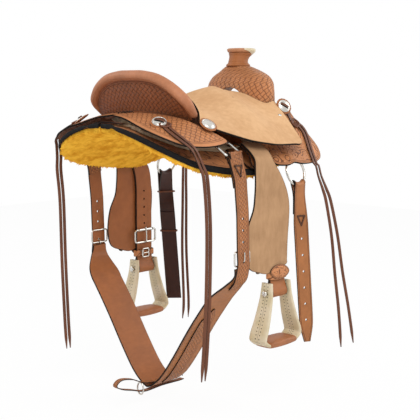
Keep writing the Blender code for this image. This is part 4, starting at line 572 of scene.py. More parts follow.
def tube(name, path, radius, finishes, closed=False, around=14):
    """A round wire: a circle carried along a path, its frame turned as little as possible."""
    path = np.asarray(path, float)
    runs = np.roll(path, -1, 0) - np.roll(path, 1, 0) if closed else np.gradient(path, axis=0)
    runs = unit(runs)
    side = np.cross(runs[0], (0.0, 0.0, 1.0) if abs(runs[0][2]) < 0.9 else (1.0, 0.0, 0.0))
    sides = []
    for run in runs:
        side = unit(side - run * (side @ run))
        sides.append(side)
    sides = np.array(sides)
    ups = np.cross(runs, sides)
    angle = full_turn(around)
    radius = np.broadcast_to(radius, len(path))[:, None, None]
    rings = path[:, None] + radius * (
        sides[:, None] * np.cos(angle)[None, :, None] + ups[:, None] * np.sin(angle)[None, :, None]
    )
    return carried(name, rings, finishes, closed)


def turned(name, centre, normal, radii, heights, finishes, scallop=0.0, scallops=16, around=48):
    """A disc turned about its normal: heights by radius, its outline waved by scallop."""
    normal = unit(np.asarray(normal, float))
    side = unit(np.cross((0.0, 1.0, 0.0) if abs(normal[1]) < 0.9 else (1.0, 0.0, 0.0), normal))
    other = np.cross(normal, side)
    angle = full_turn(around)
    rings = []
    for radius, height in zip(radii, heights):
        wave = 1 + scallop * np.abs(np.sin(angle * scallops / 2)) * min(radius / max(radii), 1.0) ** 6
        ring = radius * wave[:, None] * (np.cos(angle)[:, None] * side + np.sin(angle)[:, None] * other)
        rings.append(np.asarray(centre, float) + ring + normal * height)
    return carried(name, rings, finishes)


def ribbon(name, path, width, thickness, across, finishes, columns=5, out=UP, rounding=0.0006):
    """A flat strap: a straight line across carried along a path."""
    path = np.asarray(path, float)
    across = unit(np.broadcast_to(np.asarray(across, float), path.shape))
    width = np.broadcast_to(np.asarray(width, float), len(path))
    steps = np.linspace(-0.5, 0.5, columns)
    grid = path[:, None] + across[:, None] * (width[:, None] * steps)[..., None]
    return strap_shell(name, grid, thickness, finishes, out, rounding)


def strap_shell(name, grid, thickness, finishes, out, rounding=0.0006):
    edge = edge_of(grid, (grid[:, 0], grid[:, -1]))
    return shell(name, grid, flat_strip(grid), edge, thickness, out, finishes, offset=0.0, rounding=rounding)


def faced(look, back="flesh side"):
    """Finishes of a strap: its face, its back and a black edge."""
    return (look, back, "black edge")


def make_wire(name, path, radius, body, *replaced, closed=False, around=14):
    """A nickel wire, handed over to its body."""
    return place(tube(name, path, radius, ("nickel",), closed, around), body, "nickel", *replaced)


def make_lacing(name, corners, width, out, body):
    """A triangle of lace whose sides reach a little past its corners."""
    for n, (first, second) in enumerate(zip(corners, (*corners[1:], corners[0]))):
        line = [first + (second - first) * share for share in np.linspace(-0.05, 1.05, 7)]
        across = np.cross(second - first, out)
        lace = ribbon(f"{name}_{n}", line, width, LACE_THICKNESS, across, THONG, out=out, rounding=0.0003)
        place(lace, body, "string_leather")


def settled(made):
    """Makes the modifiers' result the object's own mesh."""
    bpy.context.view_layer.update()
    seen = made.evaluated_get(bpy.context.evaluated_depsgraph_get())
    data = bpy.data.meshes.new_from_object(seen)
    made.modifiers.clear()
    made.data = data
    return made


def punched(made, points, direction, radius, length=0.02, finish_index=2):
    """Round holes through a strap."""
    tool = bmesh.new()
    turn = frame_from(direction)
    for point in points:
        cone = bmesh.ops.create_cone(
            tool, cap_ends=True, segments=20, radius1=radius, radius2=radius, depth=length
        )
        for vertex in cone["verts"]:
            vertex.co = turn @ np.array(vertex.co) + np.asarray(point, float)
    data = bpy.data.meshes.new("punch")
    tool.to_mesh(data)
    tool.free()
    for polygon in data.polygons:
        polygon.material_index = finish_index
    knife = bpy.data.objects.new("punch", data)
    for _ in range(finish_index + 1):
        data.materials.append(made.data.materials[finish_index])
    bpy.context.scene.collection.objects.link(knife)
    settled(made)
    cut = made.modifiers.new("holes", "BOOLEAN")
    cut.operation = "DIFFERENCE"
    cut.object = knife
    settled(made)
    bpy.data.objects.remove(knife)
    return made


def frame_from(direction):
    z = unit(np.asarray(direction, float))
    x = unit(np.cross((0.0, 1.0, 0.0) if abs(z[1]) < 0.9 else (1.0, 0.0, 0.0), z))
    return np.stack([x, np.cross(z, x), z], 1)


def place(made, body, slot, *replaced):
    """Hands a piece over: the body it rides on and the solids that it stands for. The slot argument is not
    used.
    """
    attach(made, body)
    if replaced:
        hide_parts(*replaced)
    return made


# Finishes.
def node(tree, kind, inputs=None, **settings):
    made = tree.nodes.new(kind)
    for key, value in settings.items():
        setattr(made, key, value)
    for key, value in (inputs or {}).items():
        if isinstance(value, bpy.types.NodeSocket):
            tree.links.new(value, made.inputs[key])
        else:
            made.inputs[key].default_value = value
    return made


def calc(tree, operation, *values):
    return node(tree, "ShaderNodeMath", dict(enumerate(values)), operation=operation).outputs[0]


def ease(tree, value, low, high):
    """0 below low, 1 above high, eased between; the other way round if low is above high."""
    inputs = {"Value": value, "From Min": low, "From Max": high}
    return node(tree, "ShaderNodeMapRange", inputs, interpolation_type="SMOOTHSTEP").outputs[0]


def line_at(tree, value, centre, half):
    """1 on a line at that value, 0 away from it."""
    away = calc(tree, "ABSOLUTE", calc(tree, "SUBTRACT", value, centre))
    return ease(tree, away, half, half * 0.4)


def blend_colour(tree, share, first, second):
    made = node(tree, "ShaderNodeMix", {"Factor": share}, data_type="RGBA")
    for socket, value in ((made.inputs[6], first), (made.inputs[7], second)):
        if isinstance(value, bpy.types.NodeSocket):
            tree.links.new(value, socket)
        else:
            socket.default_value = (*value, 1.0)
    return made.outputs[2]


def grain_of(tree, scale, detail=3.0, stretch=(1.0, 1.0, 1.0), roughness=0.5):
    place_in = node(tree, "ShaderNodeTexCoord").outputs["Object"]
    turned_in = node(tree, "ShaderNodeMapping", {"Vector": place_in, "Scale": stretch}).outputs[0]
    inputs = {"Vector": turned_in, "Scale": scale, "Detail": detail, "Roughness": roughness}
    return node(tree, "ShaderNodeTexNoise", inputs).outputs["Fac"]


def uv_parts(tree, layer):
    place_in = node(tree, "ShaderNodeUVMap", uv_map=layer).outputs[0]
    split = node(tree, "ShaderNodeSeparateXYZ", {"Vector": place_in})
    return split.outputs[0], split.outputs[1]


def basket(tree, u, v, cell, turn):
    """Basket stamping: square cells in a chequer, each a raised strand that crosses the next one."""
    c, s = math.cos(turn) / cell, math.sin(turn) / cell
    p = calc(tree, "ADD", calc(tree, "MULTIPLY", u, c), calc(tree, "MULTIPLY", v, s))
    q = calc(tree, "SUBTRACT", calc(tree, "MULTIPLY", v, c), calc(tree, "MULTIPLY", u, s))
    fp, fq = calc(tree, "FRACT", p), calc(tree, "FRACT", q)
    both_cells = calc(tree, "ADD", calc(tree, "FLOOR", p), calc(tree, "FLOOR", q))
    odd = calc(tree, "MODULO", calc(tree, "ABSOLUTE", both_cells), 2.0)

    def strand(across, lengthwise):
        bow = calc(tree, "SINE", calc(tree, "MULTIPLY", across, math.pi))
        ribs = calc(tree, "ABSOLUTE", calc(tree, "SINE", calc(tree, "MULTIPLY", lengthwise, 3 * math.pi)))
        return calc(tree, "MULTIPLY", bow, calc(tree, "MULTIPLY_ADD", ribs, 0.35, 0.65))

    mixed = node(tree, "ShaderNodeMix", {"Factor": odd, 2: strand(fp, fq), 3: strand(fq, fp)}).outputs[0]
    return calc(tree, "POWER", mixed, 0.7)


def carving(tree, layer, size):
    """Carved flowers and leaves: five petals round scattered centres, curling leaf cuts between them."""
    uv = node(tree, "ShaderNodeUVMap", uv_map=layer).outputs[0]
    inputs = {"Vector": uv, "Scale": 1 / size, "Randomness": 0.55}
    centre = node(tree, "ShaderNodeTexVoronoi", inputs, voronoi_dimensions="2D").outputs["Position"]
    away = node(tree, "ShaderNodeVectorMath", {0: uv, 1: centre}, operation="SUBTRACT").outputs[0]
    split = node(tree, "ShaderNodeSeparateXYZ", {"Vector": away})
    angle = calc(tree, "ARCTAN2", split.outputs[1], split.outputs[0])
    radius = node(tree, "ShaderNodeVectorMath", {0: away}, operation="LENGTH").outputs["Value"]
    petal = calc(tree, "ABSOLUTE", calc(tree, "COSINE", calc(tree, "MULTIPLY", angle, 2.5)))
    outline = calc(tree, "MULTIPLY", calc(tree, "MULTIPLY_ADD", petal, 0.42, 0.58), size * 0.40)
    flower = ease(tree, calc(tree, "SUBTRACT", radius, outline), size * 0.03, -size * 0.03)
    veins = calc(tree, "MULTIPLY_ADD", petal, 0.6, 0.4)
    heart = ease(tree, radius, size * 0.10, size * 0.07)
    noise = node(tree, "ShaderNodeTexNoise", {"Vector": uv, "Scale": 0.9 / size, "Detail": 1.0})
    swirl = calc(tree, "MULTIPLY", noise.outputs["Fac"], 26.0)
    leaves = calc(tree, "ABSOLUTE", calc(tree, "SINE", swirl))
    leaves = ease(tree, leaves, 0.15, 0.55)
    ground = calc(tree, "MULTIPLY", leaves, 0.75)
    bloom = calc(tree, "MAXIMUM", veins, heart)
    return node(tree, "ShaderNodeMix", {"Factor": flower, 2: ground, 3: bloom}).outputs[0]


def new_material(name, colour, roughness=0.5, metallic=0.0):
    made = bpy.data.materials.new(name)
    made.use_nodes = True
    tree = made.node_tree
    shader = tree.nodes["Principled BSDF"]
    shader.inputs["Base Color"].default_value = (*colour, 1.0)
    shader.inputs["Roughness"].default_value = roughness
    shader.inputs["Metallic"].default_value = metallic
    made.diffuse_color = (*colour, 1.0)
    return made, tree, shader


def join(tree, shader, colour, height, depth, roughness=None):
    tree.links.new(colour, shader.inputs["Base Color"])
    bump = node(tree, "ShaderNodeBump", {"Height": height, "Distance": depth, "Strength": 1.0})
    tree.links.new(bump.outputs[0], shader.inputs["Normal"])
    if roughness is not None:
        tree.links.new(roughness, shader.inputs["Roughness"])


def leather(name, colour, dark, pattern=None, border=0.0, stitch=0.0, cell=0.0085, turn=0.35, depth=0.0011,
            roughness=0.45):
    """Tanned leather: mottled colour, pores, stamping or carving inside a border, stitches, dark edge. The
    stamping hollows and border cuts are coloured with painted shade.
    """
    made, tree, shader = new_material(name, colour, roughness)
    shader.inputs["Coat Weight"].default_value = 0.03
    shader.inputs["Specular IOR Level"].default_value = 0.22
    shader.inputs["Coat Roughness"].default_value = 0.35
    cloud = grain_of(tree, 14.0, 4.0)
    pores = grain_of(tree, 420.0, 2.0)
    streak = grain_of(tree, 60.0, 3.0, (1.0, 3.0, 1.0))
    u, v = uv_parts(tree, "flat")
    edge, run = uv_parts(tree, "edge")
    height = calc(tree, "MULTIPLY", pores, 0.10)
    # Mask of painted shade: the stamping hollows and the border cuts, filled in below.
    hollow_shade = 0.0
    if pattern:
        stamp = basket(tree, u, v, cell, turn) if pattern == "basket" else carving(tree, "flat", cell)
        inside = ease(tree, edge, border, border + 0.0012) if border else 1.0
        height = calc(tree, "ADD", height, calc(tree, "MULTIPLY", calc(tree, "SUBTRACT", stamp, 1.0), inside))
        hollow_shade = calc(tree, "MULTIPLY", ease(tree, stamp, 0.78, 0.18), inside)
    if border:
        cuts = calc(
            tree, "MAXIMUM", line_at(tree, edge, border, 0.0010), line_at(tree, edge, border - 0.0042, 0.0008)
        )
        hollow_shade = calc(tree, "MAXIMUM", hollow_shade, cuts)
        height = calc(tree, "SUBTRACT", height, calc(tree, "MULTIPLY", cuts, 0.8))
    tone = calc(tree, "MULTIPLY_ADD", cloud, 0.55, calc(tree, "MULTIPLY", streak, 0.25))
    tone = ease(tree, tone, 0.22, 0.62)
    # Painted shade: the colour turns towards the dark one in the hollows and cuts.
    shadowed = calc(tree, "MULTIPLY", hollow_shade, 0.80)
    low, high = tuple(0.80 * c for c in colour), tuple(min(1.14 * c, 1.0) for c in colour)
    colours = blend_colour(tree, shadowed, blend_colour(tree, tone, low, high), dark)
    burnish = calc(tree, "MULTIPLY", ease(tree, edge, 0.0024, 0.0004), 0.85)
    colours = blend_colour(tree, burnish, colours, (0.030, 0.018, 0.012))
    if stitch:
        dash = calc(tree, "PINGPONG", calc(tree, "DIVIDE", run, 0.0032), 0.5)
        thread = calc(tree, "MULTIPLY", line_at(tree, edge, stitch, 0.0009), ease(tree, dash, 0.10, 0.20))
        colours = blend_colour(tree, thread, colours, (0.62, 0.45, 0.26))
        height = calc(tree, "ADD", height, calc(tree, "MULTIPLY", thread, 0.5))
    rough = calc(tree, "MULTIPLY_ADD", cloud, 0.20, roughness - 0.08)
    join(tree, shader, colours, height, depth, rough)
    return made


def suede(name, colour, shade):
    """Rough-out leather: a matt nap brushed in patches, short fibres, a dark line at the cut edge."""
    made, tree, shader = new_material(name, colour, 0.95)
    shader.inputs["Sheen Weight"].default_value = 0.05
    shader.inputs["Specular IOR Level"].default_value = 0.05
    shader.inputs["Sheen Roughness"].default_value = 0.6
    patches = grain_of(tree, 7.0, 4.0, (1.0, 1.0, 2.2))
    nap = grain_of(tree, 70.0, 4.0, (1.0, 1.0, 0.35), 0.65)
    fibre = grain_of(tree, 600.0, 3.0)
    edge, _ = uv_parts(tree, "edge")
    tone = calc(tree, "MULTIPLY_ADD", patches, 0.55, calc(tree, "MULTIPLY", nap, 0.45))
    colours = blend_colour(tree, ease(tree, tone, 0.30, 0.68), shade, colour)
    burnish = calc(tree, "MULTIPLY", ease(tree, edge, 0.0022, 0.0006), 0.8)
    colours = blend_colour(tree, burnish, colours, (0.05, 0.035, 0.025))
    height = calc(tree, "MULTIPLY_ADD", nap, 0.5, calc(tree, "MULTIPLY", fibre, 0.5))
    join(tree, shader, colours, height, 0.0006)
    return made


def wool(name, colour, shade):
    """Dyed sheep's wool: curled locks in light and dark, very matt."""
    made, tree, shader = new_material(name, colour, 1.0)
    shader.inputs["Specular IOR Level"].default_value = 0.0
    locks = grain_of(tree, 38.0, 5.0, (1.0, 1.0, 1.0), 0.6)
    broad = grain_of(tree, 9.0, 3.0)
    curl = grain_of(tree, 260.0, 3.0)
    tone = calc(tree, "MULTIPLY_ADD", locks, 0.6, calc(tree, "MULTIPLY", broad, 0.4))
    colours = blend_colour(tree, ease(tree, tone, 0.34, 0.60), shade, colour)
    height = calc(tree, "ADD", locks, calc(tree, "MULTIPLY", curl, 0.5))
    join(tree, shader, colours, height, 0.0022)
    return made


def rawhide(name, colour, shade, laced=False):
    """Dried rawhide: horn-like, blotched, with lacing holes in two rows where it is laced; the holes are
    dented and coloured with painted shade, the seam between them is a dark joint.
    """
    made, tree, shader = new_material(name, colour, 0.42)
    shader.inputs["Coat Weight"].default_value = 0.12
    blotch = grain_of(tree, 26.0, 4.0)
    fine = grain_of(tree, 320.0, 2.0)
    colours = blend_colour(tree, ease(tree, blotch, 0.36, 0.66), shade, colour)
    height = calc(tree, "MULTIPLY_ADD", blotch, 0.7, calc(tree, "MULTIPLY", fine, 0.2))
    if laced:
        u, v = uv_parts(tree, "flat")
        column = calc(tree, "ABSOLUTE", u)
        column = calc(tree, "ABSOLUTE", calc(tree, "SUBTRACT", column, 0.0062))
        pitch = calc(tree, "MULTIPLY", calc(tree, "PINGPONG", calc(tree, "DIVIDE", v, 0.0095), 0.5), 0.0095)
        squares = calc(tree, "ADD", calc(tree, "POWER", column, 2.0), calc(tree, "POWER", pitch, 2.0))
        hole_shade = ease(tree, calc(tree, "SQRT", squares), 0.0019, 0.0012)
        seam = calc(tree, "MULTIPLY", line_at(tree, u, 0.0, 0.0009), 0.5)
        # Painted shade in the lacing holes, and the seam's own dark line.
        colours = blend_colour(tree, calc(tree, "MAXIMUM", hole_shade, seam), colours, (0.07, 0.05, 0.03))
        height = calc(tree, "SUBTRACT", height, calc(tree, "MAXIMUM", hole_shade, seam))
    join(tree, shader, colours, height, 0.0008)
    return made


def metal(name, colour):
    """Nickel silver: polished, with faint scratches and darker patches of wear."""
    made, tree, shader = new_material(name, colour, 0.22, 1.0)
    scratch = grain_of(tree, 300.0, 2.0, (1.0, 6.0, 1.0))
    wear = grain_of(tree, 45.0, 3.0)
    colours = blend_colour(tree, ease(tree, wear, 0.35, 0.7), tuple(0.82 * c for c in colour), colour)
    rough = calc(tree, "MULTIPLY_ADD", scratch, 0.22, 0.12)
    join(tree, shader, colours, scratch, 0.00012, rough)
    return made


def painted_edge(name, colour):
    made, tree, shader = new_material(name, colour, 0.70)
    shader.inputs["Specular IOR Level"].default_value = 0.04
    wear = grain_of(tree, 120.0, 3.0)
    colours = blend_colour(tree, ease(tree, wear, 0.55, 0.80), colour, tuple(2.0 * c + 0.004 for c in colour))
    join(tree, shader, colours, wear, 0.0004)
    return made


def timber(name, colour, shade):
    made, tree, shader = new_material(name, colour, 0.6)
    rings = grain_of(tree, 30.0, 4.0, (0.25, 3.0, 3.0))
    colours = blend_colour(tree, ease(tree, rings, 0.35, 0.65), shade, colour)
    join(tree, shader, colours, rings, 0.0006)
    return made


def dyed(name, key, *arguments, **settings):
    """Leather in a colour of its own or one that the panel sets, with painted shade in its hollows."""
    colours = bpy.context.scene.saddle_colours
    colour = getattr(colours, key) if isinstance(key, str) else key
    return leather(name, tuple(colour), tuple(colours.hollows), *arguments, **settings)


def set_colour(key):
    return tuple(getattr(bpy.context.scene.saddle_colours, key))


FINISHES = {
    "stamped russet": lambda n: dyed(n, "russet", "basket", 0.016, cell=0.0125, turn=0.78),
    # The cantle leather's second colour is painted shade for its stamping hollows and cuts.
    "stamped cantle": lambda n: leather(
        n, (0.300, 0.098, 0.038), (0.070, 0.022, 0.009), "basket", 0.012, cell=0.0115, turn=0.78
    ),
    "stamped fork": lambda n: dyed(n, "russet", "basket", cell=0.0125, turn=0.78),
    "stamped strap": lambda n: dyed(n, (0.440, 0.170, 0.062), "basket", 0.0070, cell=0.0080, turn=0.78),
    "carved russet": lambda n: dyed(n, "russet", "carving", 0.009, cell=0.040, depth=0.0014),
    "carved skirt": lambda n: dyed(n, "russet", "carving", 0.024, cell=0.046, depth=0.0014),
    "carved leaf": lambda n: dyed(n, "russet", "carving", 0.0032, cell=0.024, depth=0.0012),
    "plain russet": lambda n: dyed(n, "straps", border=0.0048),
    "smooth russet": lambda n: dyed(n, (0.345, 0.122, 0.040)),
    "tread leather": lambda n: dyed(n, (0.360, 0.140, 0.060)),
    "stitched russet": lambda n: dyed(n, (0.520, 0.240, 0.120), stitch=0.0045),
    "rolled russet": lambda n: dyed(n, (0.460, 0.185, 0.090), stitch=0.0050),
    "flesh side": lambda n: dyed(n, (0.350, 0.155, 0.085), roughness=0.75),
    "seat suede": lambda n: suede(n, set_colour("seat"), (0.600, 0.340, 0.165)),
    "fender suede": lambda n: suede(n, set_colour("fender"), (0.375, 0.210, 0.105)),
    "latigo": lambda n: leather(n, (0.050, 0.018, 0.012), (0.012, 0.006, 0.004), roughness=0.36),
    "string": lambda n: leather(n, set_colour("strings"), (0.030, 0.012, 0.008), roughness=0.42),
    "black edge": lambda n: painted_edge(n, (0.018, 0.014, 0.012)),
    "binding": lambda n: painted_edge(n, (0.014, 0.013, 0.013)),
    "golden wool": lambda n: wool(n, set_colour("wool"), (0.640, 0.270, 0.018)),
    "rawhide": lambda n: rawhide(n, set_colour("rawhide"), (0.560, 0.460, 0.270)),
    "laced rawhide": lambda n: rawhide(n, set_colour("rawhide"), (0.600, 0.500, 0.310), True),
    "nickel": lambda n: metal(n, set_colour("metal")),
    "tree wood": lambda n: timber(n, (0.620, 0.520, 0.360), (0.420, 0.310, 0.190)),
    "ground leather": lambda n: timber(n, (0.200, 0.082, 0.040), (0.130, 0.052, 0.026)),
}


MADE = {}


def finish(name):
    if name not in MADE:
        MADE[name] = FINISHES[name](name)
    return MADE[name]


# Grids that several pieces share.
def skirt_grid(lift, rows=145, columns=22, inset=0.0):
    plan = plan_grid(SKIRT_INNER, SKIRT_OUTER, rows, columns)
    if inset:
        toward = unit(plan.mean(axis=(0, 1)) - plan)
        plan = plan + toward * inset * np.linspace(0.0, 1.0, columns)[None, :, None]
    return on_back(plan, lift)


def bar_top_lift(x, y):
    """How far the top of the tree's bar stands off the back."""
    inner, outer = np.interp(x, BAR_X, BAR_INNER_Y), np.interp(x, BAR_X, BAR_OUTER_Y)
    return BAR_LIFT + np.interp(x, BAR_X, BAR_HEIGHT) * np.interp((y - inner) / (outer - inner), *BAR_CROWN)


def plate_grid(side):
    plan = plan_grid(PLATE_INNER, PLATE_OUTER, 120, 30)
    x, y = plan[..., 0], plan[..., 1]
    edge = np.interp(x, BAR_X, BAR_OUTER_Y)
    inner = np.interp(x, BAR_X, BAR_INNER_Y)
    over = bar_top_lift(x, np.clip(y, inner, edge)) + 0.0030 - PLATE_LIFT
    fade = np.clip((y - edge) / PLATE_FADE, 0.0, 1.0)
    rise = np.interp(x, *PLATE_EDGE_RISE) * np.clip((y - 0.190) / 0.035, 0.0, 1.0)
    lifts = PLATE_LIFT + np.maximum(over, 0.0) * (1 - eased(fade)) + rise
    return mirrored(on_back(plan, lifts), side)


def jockey_grid(side):
    a, b = smooth_path(JOCKEY_INNER, 113), smooth_path(JOCKEY_OUTER, 113)
    across = np.linspace(0.0, 1.0, 31)
    grid = a[:, None] * (1 - across[None, :, None]) + b[:, None] * across[None, :, None]
    fall = across**1.5
    grid[..., 2] = a[:, None, 2] * (1 - fall) + b[:, None, 2] * fall
    return mirrored(grid, side)


def cantle_top(share):
    s = abs(share)
    y = CANTLE_HALF_WIDTH * along(s, CANTLE_SHARES, CANTLE_LINE_Y)
    x, z = along(s, CANTLE_SHARES, CANTLE_LINE_X), along(s, CANTLE_SHARES, CANTLE_LINE_Z)
    return np.array([x, math.copysign(y, share), z])


def cantle_base(share):
    s = abs(share)
    return np.array([-0.196 + 0.020 * s**2.2, math.copysign(0.152 * s, share), 0.046 - 0.014 * s**2])


def cantle_frame(share):
    """A point of the cantle's rim with its backward and outward directions."""
    ahead = unit(cantle_top(min(share + 0.02, 1.0)) - cantle_top(max(share - 0.02, -1.0)))
    backward = np.array([-1.0, 0.0, 0.0])
    backward = unit(backward - ahead * (backward @ ahead))
    return cantle_top(share), backward, np.cross(ahead, backward)


def seat_height(x, y):
    crown, lip_y, lip_z, bulge = (
        along(x, SEAT_X, values) for values in (SEAT_CROWN_Z, SEAT_LIP_Y, SEAT_LIP_Z, SEAT_BULGE)
    )
    return lip_z + (crown - lip_z) * (1 - min(abs(y) / lip_y, 1.0) ** bulge)


def seat_inner(x):
    """Half width of the opening round the fork at x."""
    reach = abs(x - FORK_X) / (FORK_HALF_THICKNESS + 0.004)
    return 0.040 if reach >= 1 else (FORK_HALF_WIDTH + 0.004) * (1 - reach**2.5) ** (1 / 2.5)


def seat_rear_edge(share):
    """The seat's rear edge: along the front of the roll, then out to the ear behind the leg."""
    along_roll = abs(share) / 0.75
    if along_roll <= 1.001:
        centre, backward, outward = cantle_frame(math.copysign(min(along_roll, 1.0) * 0.97, share))
        return centre - backward * (ROLL_FRONT + 0.0030) - outward * 0.003
    end = seat_rear_edge(math.copysign(0.75, share))
    ear = np.array(SEAT_EAR) * np.array([1.0, math.copysign(1.0, share), 1.0])
    t = (abs(share) - 0.75) / 0.25
    return end * (1 - t) + ear * t - np.array([0.0, 0.0, 0.010]) * math.sin(math.pi * t)


def seat_grid():
    """Coarse rows from the cantle to the front, made finer by smooth cubics both ways."""
    shares = np.linspace(-1.0, 1.0, 2 * SEAT_COLUMNS + 1)
    rows = []
    lip = float(along(SEAT_FIRST_X, SEAT_X, SEAT_LIP_Y))
    for t in np.linspace(0.0, 1.0, SEAT_ROWS_UP_CANTLE, endpoint=False):
        row = []
        for share in shares:
            top = seat_rear_edge(share)
            foot = np.array([SEAT_FIRST_X, share * lip, seat_height(SEAT_FIRST_X, share * lip)])
            bow = 0.024 * math.sin(math.pi * t) * max(0.0, 1 - abs(share) / 0.75)
            row.append(top * (1 - t) + foot * t - np.array([0.5 * bow, 0.0, bow]))
        rows.append(row)
    for x in SEAT_ROW_X:
        lip = float(along(x, SEAT_X, SEAT_LIP_Y))
        sweep = 0.032 * max(0.0, (x - 0.13) / (SEAT_ROW_X[-1] - 0.13))
        row = []
        for share in shares:
            y = share * lip
            if x > SEAT_SPLIT_X - 0.001:
                inner = seat_inner(x)
                if abs(share) <= SEAT_OPEN_SHARE + 1e-6:
                    y = inner * share / SEAT_OPEN_SHARE
                else:
                    amount = (abs(share) - SEAT_OPEN_SHARE) / (1 - SEAT_OPEN_SHARE)
                    y = math.copysign(inner + (lip - inner) * amount, share)
            row.append((x - sweep * abs(y / lip) ** 2, y, seat_height(x, y)))
        rows.append(row)
    return finer(np.array(rows), SEAT_FINER, SEAT_FINER)


def ring_point(degrees, side, radius=RING_RADIUS):
    """A point of the front ring, degrees from its front, in its leaning plane."""
    rise = radius * math.sin(math.radians(degrees))
    return (
        RING_X + radius * math.cos(math.radians(degrees)),
        side * (RING_Y - rise * math.sin(RING_LEAN)),
        RING_Z + rise * math.cos(RING_LEAN),
    )


# Camera, light and floor.
def make_stage():
    settings = bpy.context.scene.saddle_stage
    lens = bpy.data.cameras.new("camera")
    lens.lens = settings.lens
    lens.sensor_width = SENSOR_MM
    camera = bpy.data.objects.new("camera", lens)
    camera.location = CAMERA_PLACE
    camera.rotation_euler = (math.radians(CAMERA_TILT), 0.0, math.radians(CAMERA_HEADING))
    bpy.context.scene.collection.objects.link(camera)
    bpy.context.scene.camera = camera
    bpy.context.scene.view_settings.view_transform = "Standard"
    lamps = (
        ("key lamp", (-1.9, -2.4, 2.3), 2.2, settings.key),
        ("side lamp", (2.4, -1.6, 1.2), 1.8, settings.key * 0.40),
        ("rear lamp", (-1.4, 2.6, 1.8), 1.8, settings.key * 0.35),
    )
    for name, spot, size, power in lamps:
        light = bpy.data.lights.new(name, "AREA")
        light.size = size
        light.energy = power
        lamp = bpy.data.objects.new(name, light)
        lamp.location = spot
        toward = np.array([0.0, 0.0, -0.15]) - np.array(spot)
        lamp.rotation_euler = (
            math.acos(-toward[2] / np.linalg.norm(toward)),
            0.0,
            math.atan2(toward[1], toward[0]) - math.pi / 2,
        )
        bpy.context.scene.collection.objects.link(lamp)

    world = bpy.data.worlds.new("studio")
    bpy.context.scene.world = world
    world.use_nodes = True
    tree = world.node_tree
    path = node(tree, "ShaderNodeLightPath")
    seen = calc(tree, "MAXIMUM", path.outputs["Is Camera Ray"], path.outputs["Is Transmission Ray"])
    glossy = calc(tree, "MULTIPLY", path.outputs["Is Glossy Ray"], 0.85)
    seen = calc(tree, "MAXIMUM", seen, glossy)
    strength = calc(tree, "MULTIPLY_ADD", seen, 1.0 - settings.world, settings.world)
    ground = tree.nodes["Background"]
    ground.inputs["Color"].default_value = (1.0, 1.0, 1.0, 1.0)
    tree.links.new(strength, ground.inputs["Strength"])

    floor_mesh = bpy.data.meshes.new("floor")
    reach = 4.0
    corners = [(reach * x, reach * y, settings.floor) for x, y in ((-1, -1), (1, -1), (1, 1), (-1, 1))]
    floor_mesh.from_pydata(corners, [], [(0, 1, 2, 3)])
    floor = bpy.data.objects.new("floor", floor_mesh)
    bpy.context.scene.collection.objects.link(floor)
    look, tree, shader = new_material("pale floor", (0.92, 0.92, 0.92), 0.9)
    glow = node(tree, "ShaderNodeEmission", {"Color": (1.0, 1.0, 1.0, 1.0), "Strength": 1.0})
    lit = node(tree, "ShaderNodeLightPath")
    share = calc(tree, "MULTIPLY", lit.outputs["Is Camera Ray"], 0.94)
    mixed = node(tree, "ShaderNodeMixShader", {0: share, 1: shader.outputs[0], 2: glow.outputs[0]})
    tree.links.new(mixed.outputs[0], tree.nodes["Material Output"].inputs["Surface"])
    floor_mesh.materials.append(look)


# Saddle strings.
def string_route(grid, thickness, side, over, hang, beside, spread):
    """Over the leather, past its edge and down, moved forward by beside and parting by spread."""
    top = [over_grid(grid, x + beside, side * y, thickness + 0.0036) for x, y in over]
    points = [point for point, _ in top]
    run = unit(points[-1] - points[-2])
    points.append(points[-1] + run * 0.009 - np.array([0.0, 0.0, 0.002]))
    last = len(hang) - 1
    for n, (y, z, x) in enumerate(hang):
        points.append(np.array([x + beside + spread * (n / last) ** 2, side * y, z]))
    route = smooth_path(points, STRING_POINTS)
    lying = run_of(np.array(points))[len(over) - 1] / run_of(np.array(points))[-1]
    normals = even(np.array([normal for _, normal in top]), STRING_POINTS)
    return route, lying, normals


def make_string(name, route, lying, normals, phase):
    """A flat thong carried along its route, turning as it hangs, cut to a point."""
    settings = bpy.context.scene.saddle_strings
    width, thickness = settings.width, settings.thickness
    count = len(route)
    runs = unit(np.gradient(route, axis=0))
    share = np.linspace(0.0, 1.0, count)
    hanging = eased(np.clip((share - lying) / 0.22, 0.0, 1.0))
    turn = math.radians(38) * hanging + math.radians(10) * hanging * np.sin(5.0 * share + phase)
    lie = np.array([normals[min(int(s / max(lying, 1e-3) * (count - 1)), count - 1)] for s in share])
    on_leather = np.cross(lie, runs)
    on_leather *= np.sign(on_leather[:, :1] + 1e-9)
    free = np.stack([np.cos(turn), -np.sin(turn), np.zeros(count)], -1)
    across = on_leather * (1 - hanging[:, None]) + free * hanging[:, None]
    across = unit(across - runs * (across * runs).sum(axis=1, keepdims=True))
    other = np.cross(runs, across)
    taper = np.interp(share, (0.0, 0.955, 1.0), (1.0, 1.0, 0.28))[:, None, None]
    section = np.array(
        [(-0.5, -0.35), (-0.44, -0.5), (0.0, -0.54), (0.44, -0.5), (0.5, -0.35), (0.5, 0.35), (0.44, 0.5),
         (0.0, 0.54), (-0.44, 0.5), (-0.5, 0.35)]
    )
    rings = (
        route[:, None]
        + across[:, None] * (section[None, :, :1] * width) * taper
        + other[:, None] * (section[None, :, 1:] * thickness)
    )
    look = np.zeros(len(section), int)
    look[4] = look[9] = 1
    return carried(name, rings, ("string", "black edge"), look=look[None, :])


